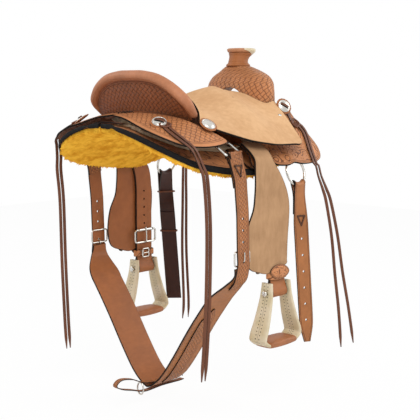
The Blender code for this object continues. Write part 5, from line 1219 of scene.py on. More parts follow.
def make_strings():
    for word, side in SIDES:
        jockey, plate = jockey_grid(side), plate_grid(side)
        runs = (
            ("rear", jockey, JOCKEY_THICKNESS, REAR_STRING_OVER, REAR_STRING_HANG[word], 0.0),
            ("front", plate, PLATE_THICKNESS, FRONT_STRING_OVER[word], FRONT_STRING_HANG[word],
             FRONT_STRING_SPREAD[word]),
        )
        for where, grid, thickness, over, hang, spread in runs:
            for n, label in enumerate(("first", "second")):
                route, lying, normals = string_route(
                    grid, thickness, side, over, hang, n * STRING_PAIR_SPACING, n * spread
                )
                made = make_string(f"string_{where}_{word}_{label}", route, lying, normals, 1.7 * n + side)
                place(made, ROOT, "string_leather", f"lace_{where}_{word}")


# Wool, skirts, bindings, jockeys and plates.
def make_fleece(word, side):
    """Wool under the skirt: a sheet with a full round edge, its underside raised in locks."""
    curl = bpy.context.scene.saddle_wool.curl
    top = mirrored(skirt_grid(FLEECE_THICKNESS - 0.0006, 200, 44, 0.004), side)
    low = mirrored(skirt_grid(0.0006, 200, 44, 0.004), side)
    up = unit(top - low)
    heights = lumps(low, 0.022, 3) * 0.9 + lumps(low, 0.010, 5) * 0.8 + lumps(low, 0.0052, 8) * 0.4
    edge_ease = np.linspace(0.0, 1.0, 44)[None, :, None] ** 8
    low = low + up * ((heights[..., None] - 0.2) * curl * (1 - edge_ease * 0.5))
    outward = unit(low[:, -1] - low[:, -3])
    rings = []
    for n in range(len(top)):
        nose = []
        for angle in np.linspace(70, -70, 7):
            a = math.radians(angle)
            middle = 0.5 * (top[n, -1] + low[n, -1])
            half = 0.5 * np.linalg.norm(top[n, -1] - low[n, -1])
            bulge = 0.62 + 0.30 * lumps(middle + np.array([0.0, 0.0, a * 0.01]), 0.007, 11)
            nose.append(middle + up[n, -1] * half * math.sin(a) + outward[n] * half * math.cos(a) * bulge)
        rings.append(np.concatenate([top[n], nose, low[n, ::-1]]))
    made = carried(f"wool_{word}", rings, ("golden wool",))
    place(made, ROOT, "fleece", f"fleece_{word}")
    make_fringe(word, side, low, outward)


def make_fringe(word, side, low, outward):
    """Locks of wool along the lower edge: bent cones of five sides, each its own length and lean."""
    random = np.random.default_rng(41 if side > 0 else 43)
    count = bpy.context.scene.saddle_wool.locks
    shares = np.sort(random.uniform(0.03, 0.97, count))
    place_at = shares * (len(low) - 1)
    i = place_at.astype(int)
    t = (place_at - i)[:, None]
    base = low[i, -1] * (1 - t) + low[i + 1, -1] * t
    out = outward[i]
    down = np.stack(
        [random.normal(0, 0.35, count), side * random.uniform(0.1, 0.5, count), -np.ones(count)], -1
    )
    lean = unit(unit(down) + 0.55 * out)
    length = random.uniform(0.004, 0.0105, count)
    width = random.uniform(0.0016, 0.0032, count)
    start = base + out * random.uniform(-0.004, 0.003, count)[:, None] + np.array([0.0, 0.0, 0.004])
    side_way = unit(np.cross(lean, random.normal(size=(count, 3))))
    other = np.cross(lean, side_way)
    angle = full_turn(5)
    levels = np.linspace(0.0, 1.0, 5)
    radius = width[:, None] * np.array([1.0, 0.95, 0.75, 0.45, 0.10])
    centre = (
        start[:, None] + lean[:, None] * (length[:, None] * levels)[..., None]
        + side_way[:, None] * (0.30 * length[:, None] * levels**2)[..., None]
    )
    rings = (
        centre[:, :, None]
        + radius[:, :, None, None] * (
            side_way[:, None, None] * np.cos(angle)[:, None] + other[:, None, None] * np.sin(angle)[:, None]
        )
    )
    points = rings.reshape(-1, 3)
    lock = np.arange(count)[:, None, None] * 25
    level, turn = np.meshgrid(np.arange(4), np.arange(5), indexing="ij")
    a = level * 5 + turn
    b = level * 5 + (turn + 1) % 5
    quads = np.stack([a, b, b + 5, a + 5], -1).reshape(1, -1, 4) + lock
    faces = list(quads.reshape(-1, 4)) + [np.arange(5)[::-1] + n * 25 for n in range(count)]
    faces += [np.arange(20, 25) + n * 25 for n in range(count)]
    size = sum(len(face) for face in faces)
    layers = {"flat": np.zeros((size, 2)), "edge": np.full((size, 2), 0.03)}
    made = make_mesh(f"wool_locks_{word}", points, faces, layers, ("golden wool",))
    place(made, ROOT, "fleece")


def laid_leather(name, grid, thickness, look):
    """A leather laid over the back, finished along its front, lower and rear edge."""
    edge = edge_of(grid, (np.concatenate([grid[:1, 0], grid[:, -1], grid[-1:, 0]]),))
    return shell(name, grid, flat_on_back(grid), edge, thickness, UP, faced(look))


def make_skirt(word, side):
    grid = mirrored(skirt_grid(SKIRT_LIFT), side)
    made = laid_leather(f"skirt_leather_{word}", grid, SKIRT_THICKNESS, "carved skirt")
    place(made, ROOT, "tooled_leather", f"skirt_{word}")


def make_binding(word, side):
    """Black binding folded round the skirt's edge, from the rear seam to under the fender."""
    grid = skirt_grid(SKIRT_LIFT, 400, 12)
    line = np.concatenate([grid[0, 1:-1], grid[: int(BINDING_SHARE * 400), -1]])
    inside = np.concatenate([grid[6, 1:-1], grid[: int(BINDING_SHARE * 400), -2]])
    line, inside = even(line, 300), even(inside, 300)
    runs = unit(np.gradient(line, axis=0))
    inward = inside - line
    inward = unit(inward - runs * (inward * runs).sum(axis=1, keepdims=True))
    for _ in range(12):
        inward[1:-1] = unit(inward[:-2] + inward[1:-1] * 2 + inward[2:])
    up = np.cross(runs, inward)
    up *= np.sign(up[:, 2:3])
    section = np.array(
        [(0.0115, 0.0058), (0.0112, 0.0068), (0.0060, 0.0073), (0.0010, 0.0073), (-0.0024, 0.0064),
         (-0.0042, 0.0040), (-0.0047, 0.0005), (-0.0044, -0.0026), (-0.0034, -0.0048), (-0.0022, -0.0052),
         (-0.0014, -0.0044), (-0.0008, -0.0010), (-0.0006, 0.0040), (0.0010, 0.0052)]
    )
    rings = line[:, None] + inward[:, None] * section[None, :, :1] + up[:, None] * section[None, :, 1:]
    made = carried(f"edge_binding_{word}", mirrored(rings, side), ("binding",))
    place(made, ROOT, "binding", f"skirt_binding_{word}")


def make_plate(word, side):
    made = laid_leather(f"rigging_leather_{word}", plate_grid(side), PLATE_THICKNESS, "carved russet")
    place(made, ROOT, "tooled_leather", f"rigging_plate_{word}")


def make_jockey(word, side):
    made = laid_leather(f"rear_jockey_leather_{word}", jockey_grid(side), JOCKEY_THICKNESS, "stamped russet")
    place(made, ROOT, "tooled_leather", f"rear_jockey_{word}")


def make_rear_lacing():
    """The jockeys are laced together at the back, and a tie below holds the skirts."""
    grid = jockey_grid(1.0)
    for n, share in enumerate((0.20, 0.36, 0.52)):
        point, normal = spot_on(grid, 0.0, share, JOCKEY_THICKNESS + 0.0012)
        run = np.array([-0.35, 1.0, 0.0])
        path = [point * [1, 0, 1] + run * d + normal * h for d, h in
                ((-0.013, -0.004), (-0.010, 0.0004), (0.0, 0.0012), (0.010, 0.0004), (0.013, -0.004))]
        made = ribbon(f"jockey_lacing_{n}", smooth_path(path, 16), 0.0042, 0.0016, np.cross(run, normal),
                      THONG, rounding=0.0003)
        place(made, ROOT, "string_leather")
    low = skirt_grid(SKIRT_TOP, 40, 8)[0, 3]
    half = ((0.050, 0.002), (0.030, 0.0042), (0.010, 0.0050))
    bow = [(-y, h) for y, h in half] + list(half[::-1])
    path = [(low[0] + 0.030, y, low[2] + h) for y, h in bow]
    made = ribbon("skirt_tie", smooth_path(path, 30), 0.016, 0.0030, (1.0, 0.0, 0.0),
                  faced("string"))
    place(made, ROOT, "string_leather")


# Seat, cantle, fork and horn.
def make_seat():
    grid = seat_grid()
    split = (SEAT_ROWS_UP_CANTLE + SEAT_ROW_X.index(SEAT_SPLIT_X)) * SEAT_FINER
    first = (SEAT_COLUMNS - round(SEAT_OPEN_SHARE * SEAT_COLUMNS)) * SEAT_FINER
    last = 2 * SEAT_COLUMNS * SEAT_FINER - first
    skip = np.zeros((grid.shape[0] - 1, grid.shape[1] - 1), bool)
    skip[split:, first:last] = True
    lines = (
        grid[:, 0], grid[:, -1], grid[-1, : first + 1], grid[-1, last:],
        grid[split:, first], grid[split:, last], grid[split, first : last + 1],
    )
    flat = np.stack([grid[..., 0], grid[..., 1]], -1)
    made = shell(
        "seat_leather", grid, flat, edge_of(grid, lines), SEAT_THICKNESS, UP,
        faced("seat suede"), skip=skip,
    )
    place(made, ROOT, "seat_suede", "seat")
    for word, side in SIDES:
        centre, normal = over_grid(grid, 0.176, side * 0.166, SEAT_THICKNESS - 0.0006)
        screw = turned(f"seat_screw_{word}", centre, normal, (0.0005, 0.0052, 0.0052, 0.0040, 0.0020, 0.0005),
                       (0.0, 0.0, 0.0012, 0.0026, 0.0033, 0.0034), ("nickel",), around=24)
        place(screw, ROOT, "nickel")


def make_cantle():
    """The back leather sweeps up to the roll; the roll is a drop-shaped section carried along the rim."""
    shares = np.linspace(-0.985, 0.985, 121)
    rim = np.array([cantle_top(share) for share in np.linspace(-1.0, 1.0, 241)])
    grid = []
    for share in shares:
        base, top = cantle_base(share), cantle_top(share)
        high = 1.0
        while np.linalg.norm(rim - base - (top - base) * high, axis=1).min() < 0.0065 and high > 0.1:
            high -= 0.01
        grid.append([base + (top - base) * t for t in np.linspace(0.02, high, 24)])
    grid = np.array(grid)
    grid = grid + normals_of(grid, (-1, 0, 0)) * 0.0072
    lines = (grid[:, 0], grid[:, -1])
    flat = np.stack([np.broadcast_to(run_of(grid[:, 12])[:, None], grid.shape[:2]), run_across(grid)], -1)
    made = shell(
        "cantle_leather", grid, flat, edge_of(grid, lines), 0.0040, (-1, 0, 0),
        faced("stamped cantle"),
    )
    place(made, ROOT, "tooled_leather", "cantle_back")

    rings = []
    angles = full_turn(36)
    for share in np.linspace(-1.0, 1.0, 161):
        centre, backward, outward = cantle_frame(share)
        taper = 1.0 - 0.40 * max(0.0, abs(share) - 0.8) / 0.2
        taper *= 1.0 - 0.5 * max(0.0, abs(share) - 0.975) / 0.025
        reach = ROLL_REACH / 2 * (1 + np.cos(angles)) - ROLL_FRONT
        bead = 1 - 0.10 * np.exp(-(((np.degrees(angles) - 40) / 9) ** 2)) - 0.10 * np.exp(
            -(((np.degrees(angles) - 320) / 9) ** 2)
        )
        rise = ROLL_RADIUS * np.sin(angles) * bead - 0.10 * (reach + ROLL_FRONT)
        rings.append(centre + (backward * reach[:, None] + outward * rise[:, None]) * taper)
    made = carried("cantle_roll_leather", rings, ("rolled russet",))
    place(made, ROOT, "plain_leather", "cantle_roll")


def fork_ring(z, grow, around, power=2.5):
    half_width = FORK_HALF_WIDTH * along(z, FORK_Z, FORK_WIDTH_SHARE) + grow
    half_length = FORK_HALF_THICKNESS * along(z, FORK_Z, FORK_THICKNESS_SHARE) + grow
    middle = FORK_X + along(z, FORK_Z, FORK_SHIFT_X)
    angle = full_turn(around)
    c, s = np.cos(angle), np.sin(angle)
    return np.stack(
        [
            middle + half_length * np.copysign(np.abs(c) ** (2 / power), c),
            half_width * np.copysign(np.abs(s) ** (2 / power), s),
            np.full(around, z),
        ],
        -1,
    )


def cut_away(made, rings):
    knife = carried("knife", rings, ("flesh side",))
    cut = made.modifiers.new("cut", "BOOLEAN")
    cut.operation = "DIFFERENCE"
    cut.object = knife
    settled(made)
    bpy.data.objects.remove(knife)
    return made


def make_fork():
    """The fork's leather: level outlines from the bars to the horn, open at the gullet."""
    levels = np.concatenate([[0.066], np.linspace(0.070, 0.172, 44), [0.1745, 0.177, FORK_TOP_Z]])
    made = carried("fork_leather", [fork_ring(z, 0.0, 120) for z in levels], ("stamped fork", "flesh side"))
    spring = GULLET_TOP_Z - GULLET_HALF_WIDTH
    arch = arc((0.0, spring), GULLET_HALF_WIDTH, 0, 180, 40)
    outline = [(GULLET_HALF_WIDTH, -0.02), *arch, (-GULLET_HALF_WIDTH, -0.02)]
    cut_away(made, [[(x, y, z) for y, z in outline] for x in (FORK_X - 0.12, FORK_X + 0.12)])
    rings = []
    ys = np.linspace(-0.20, 0.20, 61)
    # The foot is cut to the top of the leathers on the bars.
    for x in np.linspace(FORK_X - 0.09, FORK_X + 0.09, 31):
        plan = np.stack([np.full(len(ys), x), np.abs(ys)], -1)
        top = on_back(plan, bar_top_lift(plan[:, 0], plan[:, 1]) + FORK_FOOT_LIFT)
        rings.append([(x, y, p[2]) for y, p in zip(ys, top)] + [(x, y, -0.20) for y in ys[::-1]])
    cut_away(made, rings)
    place(made, ROOT, "tooled_leather", "fork_cover")

    base = FORK_TOP_Z + 0.0004
    cap_low = HORN_TOP_Z - HORN_CAP_THICKNESS
    levels = (0.0, 0.0016, 0.0044, 0.0062, 0.0090, 0.0130, 0.0170, 0.0215, 0.0262, 0.0310, 0.0350, 0.0385)
    radii = (0.0346, 0.0352, 0.0344, 0.0318, 0.0296, 0.0287, 0.0285, 0.0288, 0.0300, 0.0325, 0.0352, 0.0372)
    shift = (0.0, 0.0, 0.0, 0.0, 0.0, 0.0, 0.08, 0.22, 0.42, 0.66, 0.86, 1.0)
    angle = full_turn(72)
    rings = []
    for level, radius, move in finer_rows(np.stack([levels, radii, shift], 1), 4):
        wrap = radius + 0.00045 * math.sin(level / 0.0042 * 2 * math.pi) * (level > 0.007)
        middle = HORN_X + (HORN_CAP_X - HORN_X) * move
        x, y = middle + wrap * np.cos(angle), wrap * np.sin(angle)
        rings.append(np.stack([x, y, np.full(len(angle), base + level)], -1))
    made = carried("horn_leather", rings, ("smooth russet",))
    place(made, ROOT, "tooled_leather", "horn_wrap")

    height = HORN_CAP_THICKNESS
    radii = (0.030, 0.0365, 0.0392, 0.0405, 0.0411, HORN_CAP_RADIUS, 0.0411, 0.0402, 0.0385, 0.0360, 0.0300,
             0.0200, 0.0100, 0.0010)
    heights = (0.0002, 0.0004, 0.0014, 0.0030, 0.0052, 0.0074, 0.0094, 0.0108, 0.0117, 0.0122,
               height, height, height, height)
    centre = (HORN_CAP_X, 0.0, cap_low)
    made = turned("horn_cap_leather", centre, UP, radii, heights, ("stitched russet",), around=72)
    place(made, ROOT, "tooled_leather", "horn_cap")
    make_horn_rawhide(cap_low)


def make_horn_rawhide(cap_low):
    """Rawhide round the front of the cap: its outline, a little larger, deepest at the front."""
    levels = (-0.0160, -0.0075, -0.0035, 0.0000, 0.0014, 0.0030, 0.0052, 0.0074, 0.0094, 0.0108, 0.0120)
    radii = (0.0290, 0.0325, 0.0352, 0.0385, 0.0392, 0.0405, 0.0411, 0.0415, 0.0411, 0.0402, 0.0375)
    middles = (-0.0120, -0.0048, -0.0020, 0.0, 0.0, 0.0, 0.0, 0.0, 0.0, 0.0, 0.0)
    rings = []
    for angle in np.radians(np.linspace(-128, 128, 91)):
        depth = 0.0035 + 0.0215 * math.cos(angle * 0.69)
        heights = 0.0118 - depth * np.linspace(0.0, 1.0, 16)
        reach, middle = np.interp(heights, levels, radii), np.interp(heights, levels, middles)
        ring = []
        for thick, order in ((0.0010, 1), (-0.0012, -1)):
            r = reach + thick * np.sin(np.linspace(0.15, math.pi - 0.15, 16)) ** 0.3
            x, y = HORN_CAP_X + middle + r * math.cos(angle), r * math.sin(angle)
            spots = np.stack([x, y, cap_low + heights], -1)
            ring += list(spots[::order])
        rings.append(ring)
    made = carried("horn_rawhide", rings, ("rawhide",))
    place(made, ROOT, "rawhide")


# Conchos, rosettes and thong knots.
def concho_places(side):
    seat = seat_grid()
    column = (2 * SEAT_COLUMNS - 0.1 if side > 0 else 0.1) / (2 * SEAT_COLUMNS)
    return (
        ("rear", spot_on(jockey_grid(side), 5.9 / 14, 3.5 / 6, JOCKEY_THICKNESS + 0.0008)),
        ("middle", spot_on(seat, 0.9 / 16, column, SEAT_THICKNESS + 0.0020)),
        ("front", spot_on(plate_grid(side), 15.0 / 17, 0.7 / 7, PLATE_THICKNESS + 0.0018)),
    )


def make_conchos(word, side):
    for where, (centre, normal) in concho_places(side):
        back, out = CONCHO_LEAN[where]
        normal = unit(normal + np.array([back, side * out, 0.0]))
        centre = centre + normal * CONCHO_RISE[where]
        spot = (centre, normal)
        name = f"{where}_{word}"
        rosette = turned(f"rosette_{name}", *spot, *ROSETTE_PROFILE, ("smooth russet",), 0.045, 16, 96)
        place(rosette, ROOT, "nickel")
        disc = turned(f"concho_{name}_disc", *spot, *CONCHO_PROFILE, ("nickel",), 0.022, 28, 112)
        place(disc, ROOT, "nickel", f"concho_{where}_{word}")
        if where == "middle":
            continue
        run = unit(np.array([0.55, side, -0.2]))
        run = unit(run - normal * (run @ normal))
        across = np.cross(run, normal)
        shape = ((-0.0125, 0.0046), (-0.0100, 0.0078), (-0.004, 0.0088), (0.004, 0.0088), (0.0100, 0.0078),
                 (0.0125, 0.0046))
        path = [centre + run * d + normal * h for d, h in shape]
        strap = ribbon(f"concho_thong_{where}_{word}", smooth_path(path, 18), 0.0085, 0.0022, across,
                       THONG, out=normal, rounding=0.0004)
        place(strap, ROOT, "string_leather")


def make_knots(word, side):
    """Each pair of strings starts in a slit knot: a thong through a slit of itself."""
    runs = (("rear", jockey_grid(side), JOCKEY_THICKNESS, REAR_STRING_OVER),
            ("front", plate_grid(side), PLATE_THICKNESS, FRONT_STRING_OVER[word]))
    centres = dict(concho_places(side))
    for where, grid, thickness, over in runs:
        middle = STRING_PAIR_SPACING / 2
        knot, normal = over_grid(grid, over[0][0] + middle, side * over[0][1], thickness + 0.0028)
        start = centres[where][0]
        run = unit(knot - start)
        run = unit(run - normal * (run @ normal))
        across = np.cross(run, normal)
        points = [start + run * 0.021 + normal * 0.001]
        for t in (0.75, 1.0):
            x, y = start[:2] * (1 - t) + knot[:2] * t
            points.append(over_grid(grid, x, y, thickness + 0.0026)[0])
        neck = ribbon(f"knot_neck_{where}_{word}", smooth_path(points, 14), 0.0120, 0.0024, across,
                      THONG, out=normal, rounding=0.0004)
        place(neck, ROOT, "string_leather")
        corners = ((-0.011, -0.0095), (0.009, -0.0115), (0.012, 0.0095), (-0.008, 0.0115))
        ring = [knot + run * a + across * b + normal * 0.0030 for a, b in (*corners, corners[0])]
        ring = smooth_path(ring, 48)[:-1]
        loop = tube(f"slit_knot_{where}_{word}", ring, 0.0026, ("string",), closed=True, around=10)
        place(loop, ROOT, "string_leather")


# Fenders, stirrup leathers and stirrups.
def leather_x(z):
    """The leather runs from the bar's groove forward to the stirrup."""
    t = np.clip((-np.asarray(z, float) - 0.03) / 0.13, 0.0, 1.0)
    return HINGE_X + (LEATHER_X - HINGE_X) * eased(t)


def make_fender(word, side):
    """A flat panel whose neck bends in under the seat. Its edges are cubics through measured levels."""
    neck = ((0.2200, -0.0310), (0.2400, -0.0440), (0.2545, -0.0560))
    rows = [(y, z, HINGE_X - 0.0365, HINGE_X + 0.0365) for y, z in neck]
    edges = zip(FENDER_LEVEL_Z, FENDER_REAR_X, FENDER_FRONT_X)
    rows += [(FENDER_Y, z, rear, front) for z, rear, front in edges]
    rows = finer_rows(np.array(rows), 9)
    share = np.linspace(0.0, 1.0, 37)
    x = rows[:, 2:3] * (1 - share) + rows[:, 3:4] * share
    z = np.repeat(rows[:, 1:2], len(share), axis=1)
    low = np.clip((-0.340 - z) / 0.028, 0.0, 1.0)
    z = z - 0.008 * low * np.sin(math.pi * share)[None, :]
    wave = 0.0015 * np.sin(9 * z) * np.sin(math.pi * share)
    grid = np.stack([x, rows[:, 0:1] + wave, z], -1)
    grid = mirrored(grid, side)
    edge = edge_of(grid, (np.concatenate([grid[:, 0], grid[-1], grid[::-1, -1]]),))
    flat = np.stack([grid[..., 0], grid[..., 2]], -1)
    made = shell(
        f"fender_leather_{word}", grid, flat, edge, FENDER_THICKNESS, (0, side, 0),
        faced("fender suede", "smooth russet"),
    )
    settled(made)
    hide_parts(f"fender_{word}")
    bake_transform(made)


def make_stirrup_leather(word, side):
    """One strap: round the bar, down in two layers and round the stirrup's roller."""
    t = STRAP_THICKNESS
    inner, outer = LEATHER_INNER_Y + t / 2, LEATHER_INNER_Y + 1.5 * t + LEATHER_GAP
    over, under = t / 2 + 0.0018, SKIRT_TOP + 0.0015 + t / 2
    over_binding = SKIRT_TOP + 0.0046 + t / 2
    steps = np.array((-0.5, 0.0, 0.5)) * LEATHER_WIDTH
    bar_in, bar_out = np.interp(HINGE_X, BAR_X, BAR_INNER_Y), np.interp(HINGE_X, BAR_X, BAR_OUTER_Y)
    rows = []

    def free(y, z, x=None):
        middle = float(leather_x(z)) if x is None else x
        rows.append(np.stack([middle + steps, np.full(3, y), np.full(3, z)], -1))

    def on_bar(y, lift=None):
        plan = np.stack([HINGE_X + steps, np.full(3, y)], -1)
        lifts = bar_top_lift(plan[:, 0], plan[:, 1]) + over if lift is None else np.full(3, lift)
        rows.append(on_back(plan, lifts))

    for z in (LEATHER_JOIN_Z + 0.004, -0.250, -0.180, -0.122):
        free(outer, z)
    for y, z in ((0.2590, -0.0880), (0.2440, -0.0600), (0.2200, -0.0400), (0.1950, -0.0305)):
        free(y, z, HINGE_X)
    for share in (1.0, 0.67, 0.33, 0.0):
        on_bar(bar_in + (bar_out - bar_in) * share)
    on_bar(bar_in - 0.0085, 0.5 * (float(bar_top_lift(HINGE_X, bar_in)) + over + under))
    for y in (bar_in, 0.090, 0.125, bar_out, 0.180):
        on_bar(y, under)
    on_bar(0.202, 0.5 * (under + over_binding))
    on_bar(0.216, over_binding)
    on_bar(0.228, over_binding + 0.0006)
    free(0.2556, -0.0925, HINGE_X)
    for z in (-0.110, -0.135, -0.180, -0.250, -0.330, HOBBLE_Z - HOBBLE_HALF):
        free(inner, z)
    for y, z in arc((BOLT_Y, BOLT_Z), ROLLER_RADIUS + 0.0008 + t / 2, 150, 390, 9):
        free(y, z)
    free(outer, HOBBLE_Z - HOBBLE_HALF)
    free(outer, LEATHER_JOIN_Z - 0.004)
    grid = mirrored(finer(np.array(rows), 5, 3), side)
    made = strap_shell(
        f"leather_{word}", grid, t, faced("plain russet", "smooth russet"), (0, side, 0)
    )
    holes = [(float(leather_x(z)), side * inner, z) for z in (-0.195, -0.220, -0.245, -0.270, -0.295, -0.318)]
    punched(made, holes, (0, 1, 0), 0.0030, 0.0052)
    place(made, f"fender_{word}", "plain_leather", f"stirrup_leather_{word}")


def box_outline(centre, half_a, half_b, corner, count=9):
    """A rectangle with round corners, as (a, b) points."""
    ring = []
    for sa, sb, start in ((1, 1, 0), (-1, 1, 90), (-1, -1, 180), (1, -1, 270)):
        middle = (centre[0] + sa * (half_a - corner), centre[1] + sb * (half_b - corner))
        ring += arc(middle, corner, start, start + 90, count)
    return ring


def make_leather_buckle(word, side):
    """A wire frame, its roller and its tongue, on the inner side of the leather."""
    y = side * (LEATHER_INNER_Y - 0.0036)
    half = LEATHER_WIDTH / 2 + 0.011
    outline = [*box_outline((LEATHER_X, -0.333), half, 0.019, 0.008), (LEATHER_X + half, -0.322)]
    ring = even([(x, y, z) for x, z in outline], 120)[:-1]
    name, body = f"leather_buckle_{word}", f"fender_{word}"
    make_wire(f"{name}_frame", ring, 0.0030, body, name, closed=True)
    bar = [(LEATHER_X + d, y, -0.314) for d in np.linspace(-LEATHER_WIDTH / 2, LEATHER_WIDTH / 2, 9)]
    make_wire(f"{name}_roller", bar, 0.0040, body, around=20)
    bent = ((0.0, -0.3525), (-0.0052, -0.349), (-0.0058, -0.330), (-0.0048, -0.314), (-0.0030, -0.306))
    line = smooth_path([(LEATHER_X, y + side * d, z) for d, z in bent], 24)
    make_wire(f"{name}_tongue", line, 0.0022, body)


def make_hobble(word, side):
    """A strap round the two layers of leather, wider on its outer face."""
    inner_y = LEATHER_INNER_Y - 0.0015
    outer_y = LEATHER_INNER_Y + 2 * STRAP_THICKNESS + LEATHER_GAP + 0.0015
    half_x = LEATHER_WIDTH / 2 + 0.0015
    middle, half_y = (LEATHER_X, 0.5 * (inner_y + outer_y)), 0.5 * (outer_y - inner_y) + 0.0006
    outline = box_outline(middle, half_x + 0.002, half_y, 0.0035, 8)
    line = even([*outline, outline[0]], 121)[:-1]
    ahead = unit(np.roll(line, -1, 0) - np.roll(line, 1, 0))
    out = np.stack([ahead[:, 1], -ahead[:, 0]], -1)
    share = (line[:, 1] - inner_y) / (outer_y - inner_y)
    swell = np.clip(share, 0.0, 1.0) * np.cos((line[:, 0] - LEATHER_X) / half_x * 1.2)
    half = HOBBLE_HALF * (0.65 + 0.35 * swell)
    section = np.array([
        (0.0, -0.96), (0.0, -0.5), (0.0, 0.0), (0.0, 0.5), (0.0, 0.96), (0.3, 1.0), (0.8, 1.0),
        (1.0, 0.96), (1.12, 0.5), (1.2, 0.0), (1.12, -0.5), (1.0, -0.96), (0.8, -1.0), (0.3, -1.0),
    ])
    rings = np.empty((len(line), len(section), 3))
    rings[..., :2] = line[:, None] + out[:, None] * (section[:, :1] * 0.0026)[None]
    rings[..., 2] = HOBBLE_Z + half[:, None] * section[:, 1]
    look = np.isin(np.arange(len(section)), (4, 5, 6, 11, 12, 13)).astype(int)
    finishes = ("carved russet", "black edge")
    made = carried(f"hobble_{word}_strap", mirrored(rings, side), finishes, closed=True, look=look[None, :])
    place(made, f"fender_{word}", "tooled_leather", f"hobble_{word}")
    make_hobble_leaf(word, side)
    make_hobble_buckle(word, side, inner_y)


def make_hobble_leaf(word, side):
    """A bowed lens of carved leather on the hobble's outer face."""
    u, v = np.meshgrid(np.linspace(-0.998, 0.998, 49), np.linspace(-1.0, 1.0, 17))
    lens = 0.0195 * (1 - u**2) ** 0.62
    bow = 0.0030 * (1 - u**2) * (1 - v**2)
    face_y = FENDER_Y + FENDER_THICKNESS + 0.0010 + bow
    leaf = np.stack([LEATHER_X + 0.040 * u, face_y, HOBBLE_Z + 0.0090 - 0.0030 * u + lens * v], -1)
    leaf = mirrored(leaf, side)
    rim = edge_of(leaf, (np.concatenate([leaf[0], leaf[-1, ::-1]]),))
    flat, finishes = np.stack([leaf[..., 0], leaf[..., 2]], -1), faced("carved leaf")
    made = shell(f"hobble_{word}_leaf", leaf, flat, rim, 0.0026, (0, side, 0), finishes, rounding=0.0004)
    place(made, f"fender_{word}", "tooled_leather")


def make_hobble_buckle(word, side, inner_y):
    """A small square buckle on the hobble's inner face, with the strap's end through it."""
    y = side * (inner_y - 0.0058)
    ring = [(x, y, z) for x, z in box_outline((LEATHER_X - 0.002, HOBBLE_Z), 0.0130, 0.0125, 0.003, 6)]
    body = f"fender_{word}"
    make_wire(f"hobble_{word}_buckle", ring, 0.0018, body, closed=True)
    bar = [(LEATHER_X - 0.015, y, HOBBLE_Z + d) for d in np.linspace(-0.0105, 0.0105, 7)]
    make_wire(f"hobble_{word}_roller", bar, 0.0027, body)
    tongue = [(LEATHER_X + d, y - side * 0.0026, HOBBLE_Z) for d in np.linspace(-0.016, 0.012, 7)]
    make_wire(f"hobble_{word}_tongue", tongue, 0.0014, body)
    strap = [(LEATHER_X + d, y + side * 0.0028, HOBBLE_Z) for d in np.linspace(-0.024, 0.024, 9)]
    finishes = faced("smooth russet")
    made = ribbon(f"hobble_{word}_end", strap, 0.0165, 0.0022, (0, 0, 1), finishes, out=(0, -side, 0))
    place(made, f"fender_{word}", "tooled_leather")


def make_stirrup(word, side):
    """A rawhide frame: a round-cornered section carried down one branch, along and up the other."""
    half_top, half_low, bar_z = STIRRUP_HALF_TOP, STIRRUP_HALF_LOW, STIRRUP_BAR_Z
    branch = [
        (half_top, STIRRUP_TOP_Z), (half_top + 0.004, STIRRUP_TOP_Z - 0.040), (half_low - 0.019, -0.500),
        (half_low - 0.001, -0.548), (half_low - 0.004, bar_z + 0.010), (half_low - 0.018, bar_z),
    ]
    branch = smooth_path(branch, 44)
    bottom = [(x, bar_z) for x in np.linspace(-0.05, 0.05, 21)]
    line = even([(-x, z) for x, z in branch] + bottom + [(x, z) for x, z in branch[::-1]], 130)
    runs = unit(np.gradient(line, axis=0))
    for _ in range(3):
        runs[1:-1] = unit(runs[:-2] + 2 * runs[1:-1] + runs[2:])
    outward = np.stack([runs[:, 1], -runs[:, 0]], -1)
    outward *= np.sign((outward * (line - np.array([0.0, -0.49]))).sum(axis=1, keepdims=True))
    share = np.clip((STIRRUP_TOP_Z - line[:, 1]) / (STIRRUP_TOP_Z - STIRRUP_BOTTOM_Z) / 0.75, 0.0, 1.0)
    depth = STIRRUP_TOP_DEPTH + (STIRRUP_BOTTOM_DEPTH - STIRRUP_TOP_DEPTH) * share
    section = np.array([
        (0.0, -1.0), (0.5, -1.0), (0.86, -0.98), (0.97, -0.72), (1.0, -0.3), (1.0, 0.3), (0.97, 0.72),
        (0.86, 0.98), (0.5, 1.0), (0.25, 1.0), (0.0, 1.0), (-0.25, 1.0), (-0.5, 1.0), (-0.86, 0.98),
        (-0.97, 0.72), (-1.0, 0.3), (-1.0, -0.3), (-0.97, -0.72), (-0.86, -0.98), (-0.5, -1.0),
    ])
    rings = np.empty((len(line), len(section), 3))
    moved = line[:, None] + outward[:, None] * (section[None, :, 1:] * STIRRUP_BRANCH_THICKNESS / 2)
    rings[..., 0] = LEATHER_X + moved[..., 0]
    rings[..., 1] = side * BOLT_Y + section[None, :, 0] * depth[:, None] / 2
    rings[..., 2] = moved[..., 1]
    made = carried(f"stirrup_{word}_rawhide", rings, ("laced rawhide",))
    layer = made.data.uv_layers["flat"].data
    values = np.empty(len(layer) * 2, np.float32)
    layer.foreach_get("uv", values)
    values = values.reshape(-1, 2)
    spots = np.empty(len(made.data.vertices) * 3)
    made.data.vertices.foreach_get("co", spots)
    corner = np.array([loop.vertex_index for loop in made.data.loops])
    values[:, 0] = spots.reshape(-1, 3)[corner, 1] - side * BOLT_Y
    layer.foreach_set("uv", values.ravel())
    turn = full_turn(24)
    circle = [(side * BOLT_Y + BOLT_BORE * math.cos(a), BOLT_Z + BOLT_BORE * math.sin(a)) for a in turn]
    cut_away(made, [[(LEATHER_X + d, *spot) for spot in circle] for d in (-0.1, 0.1)])
    place(made, f"stirrup_{word}", "rawhide", f"stirrup_{word}")


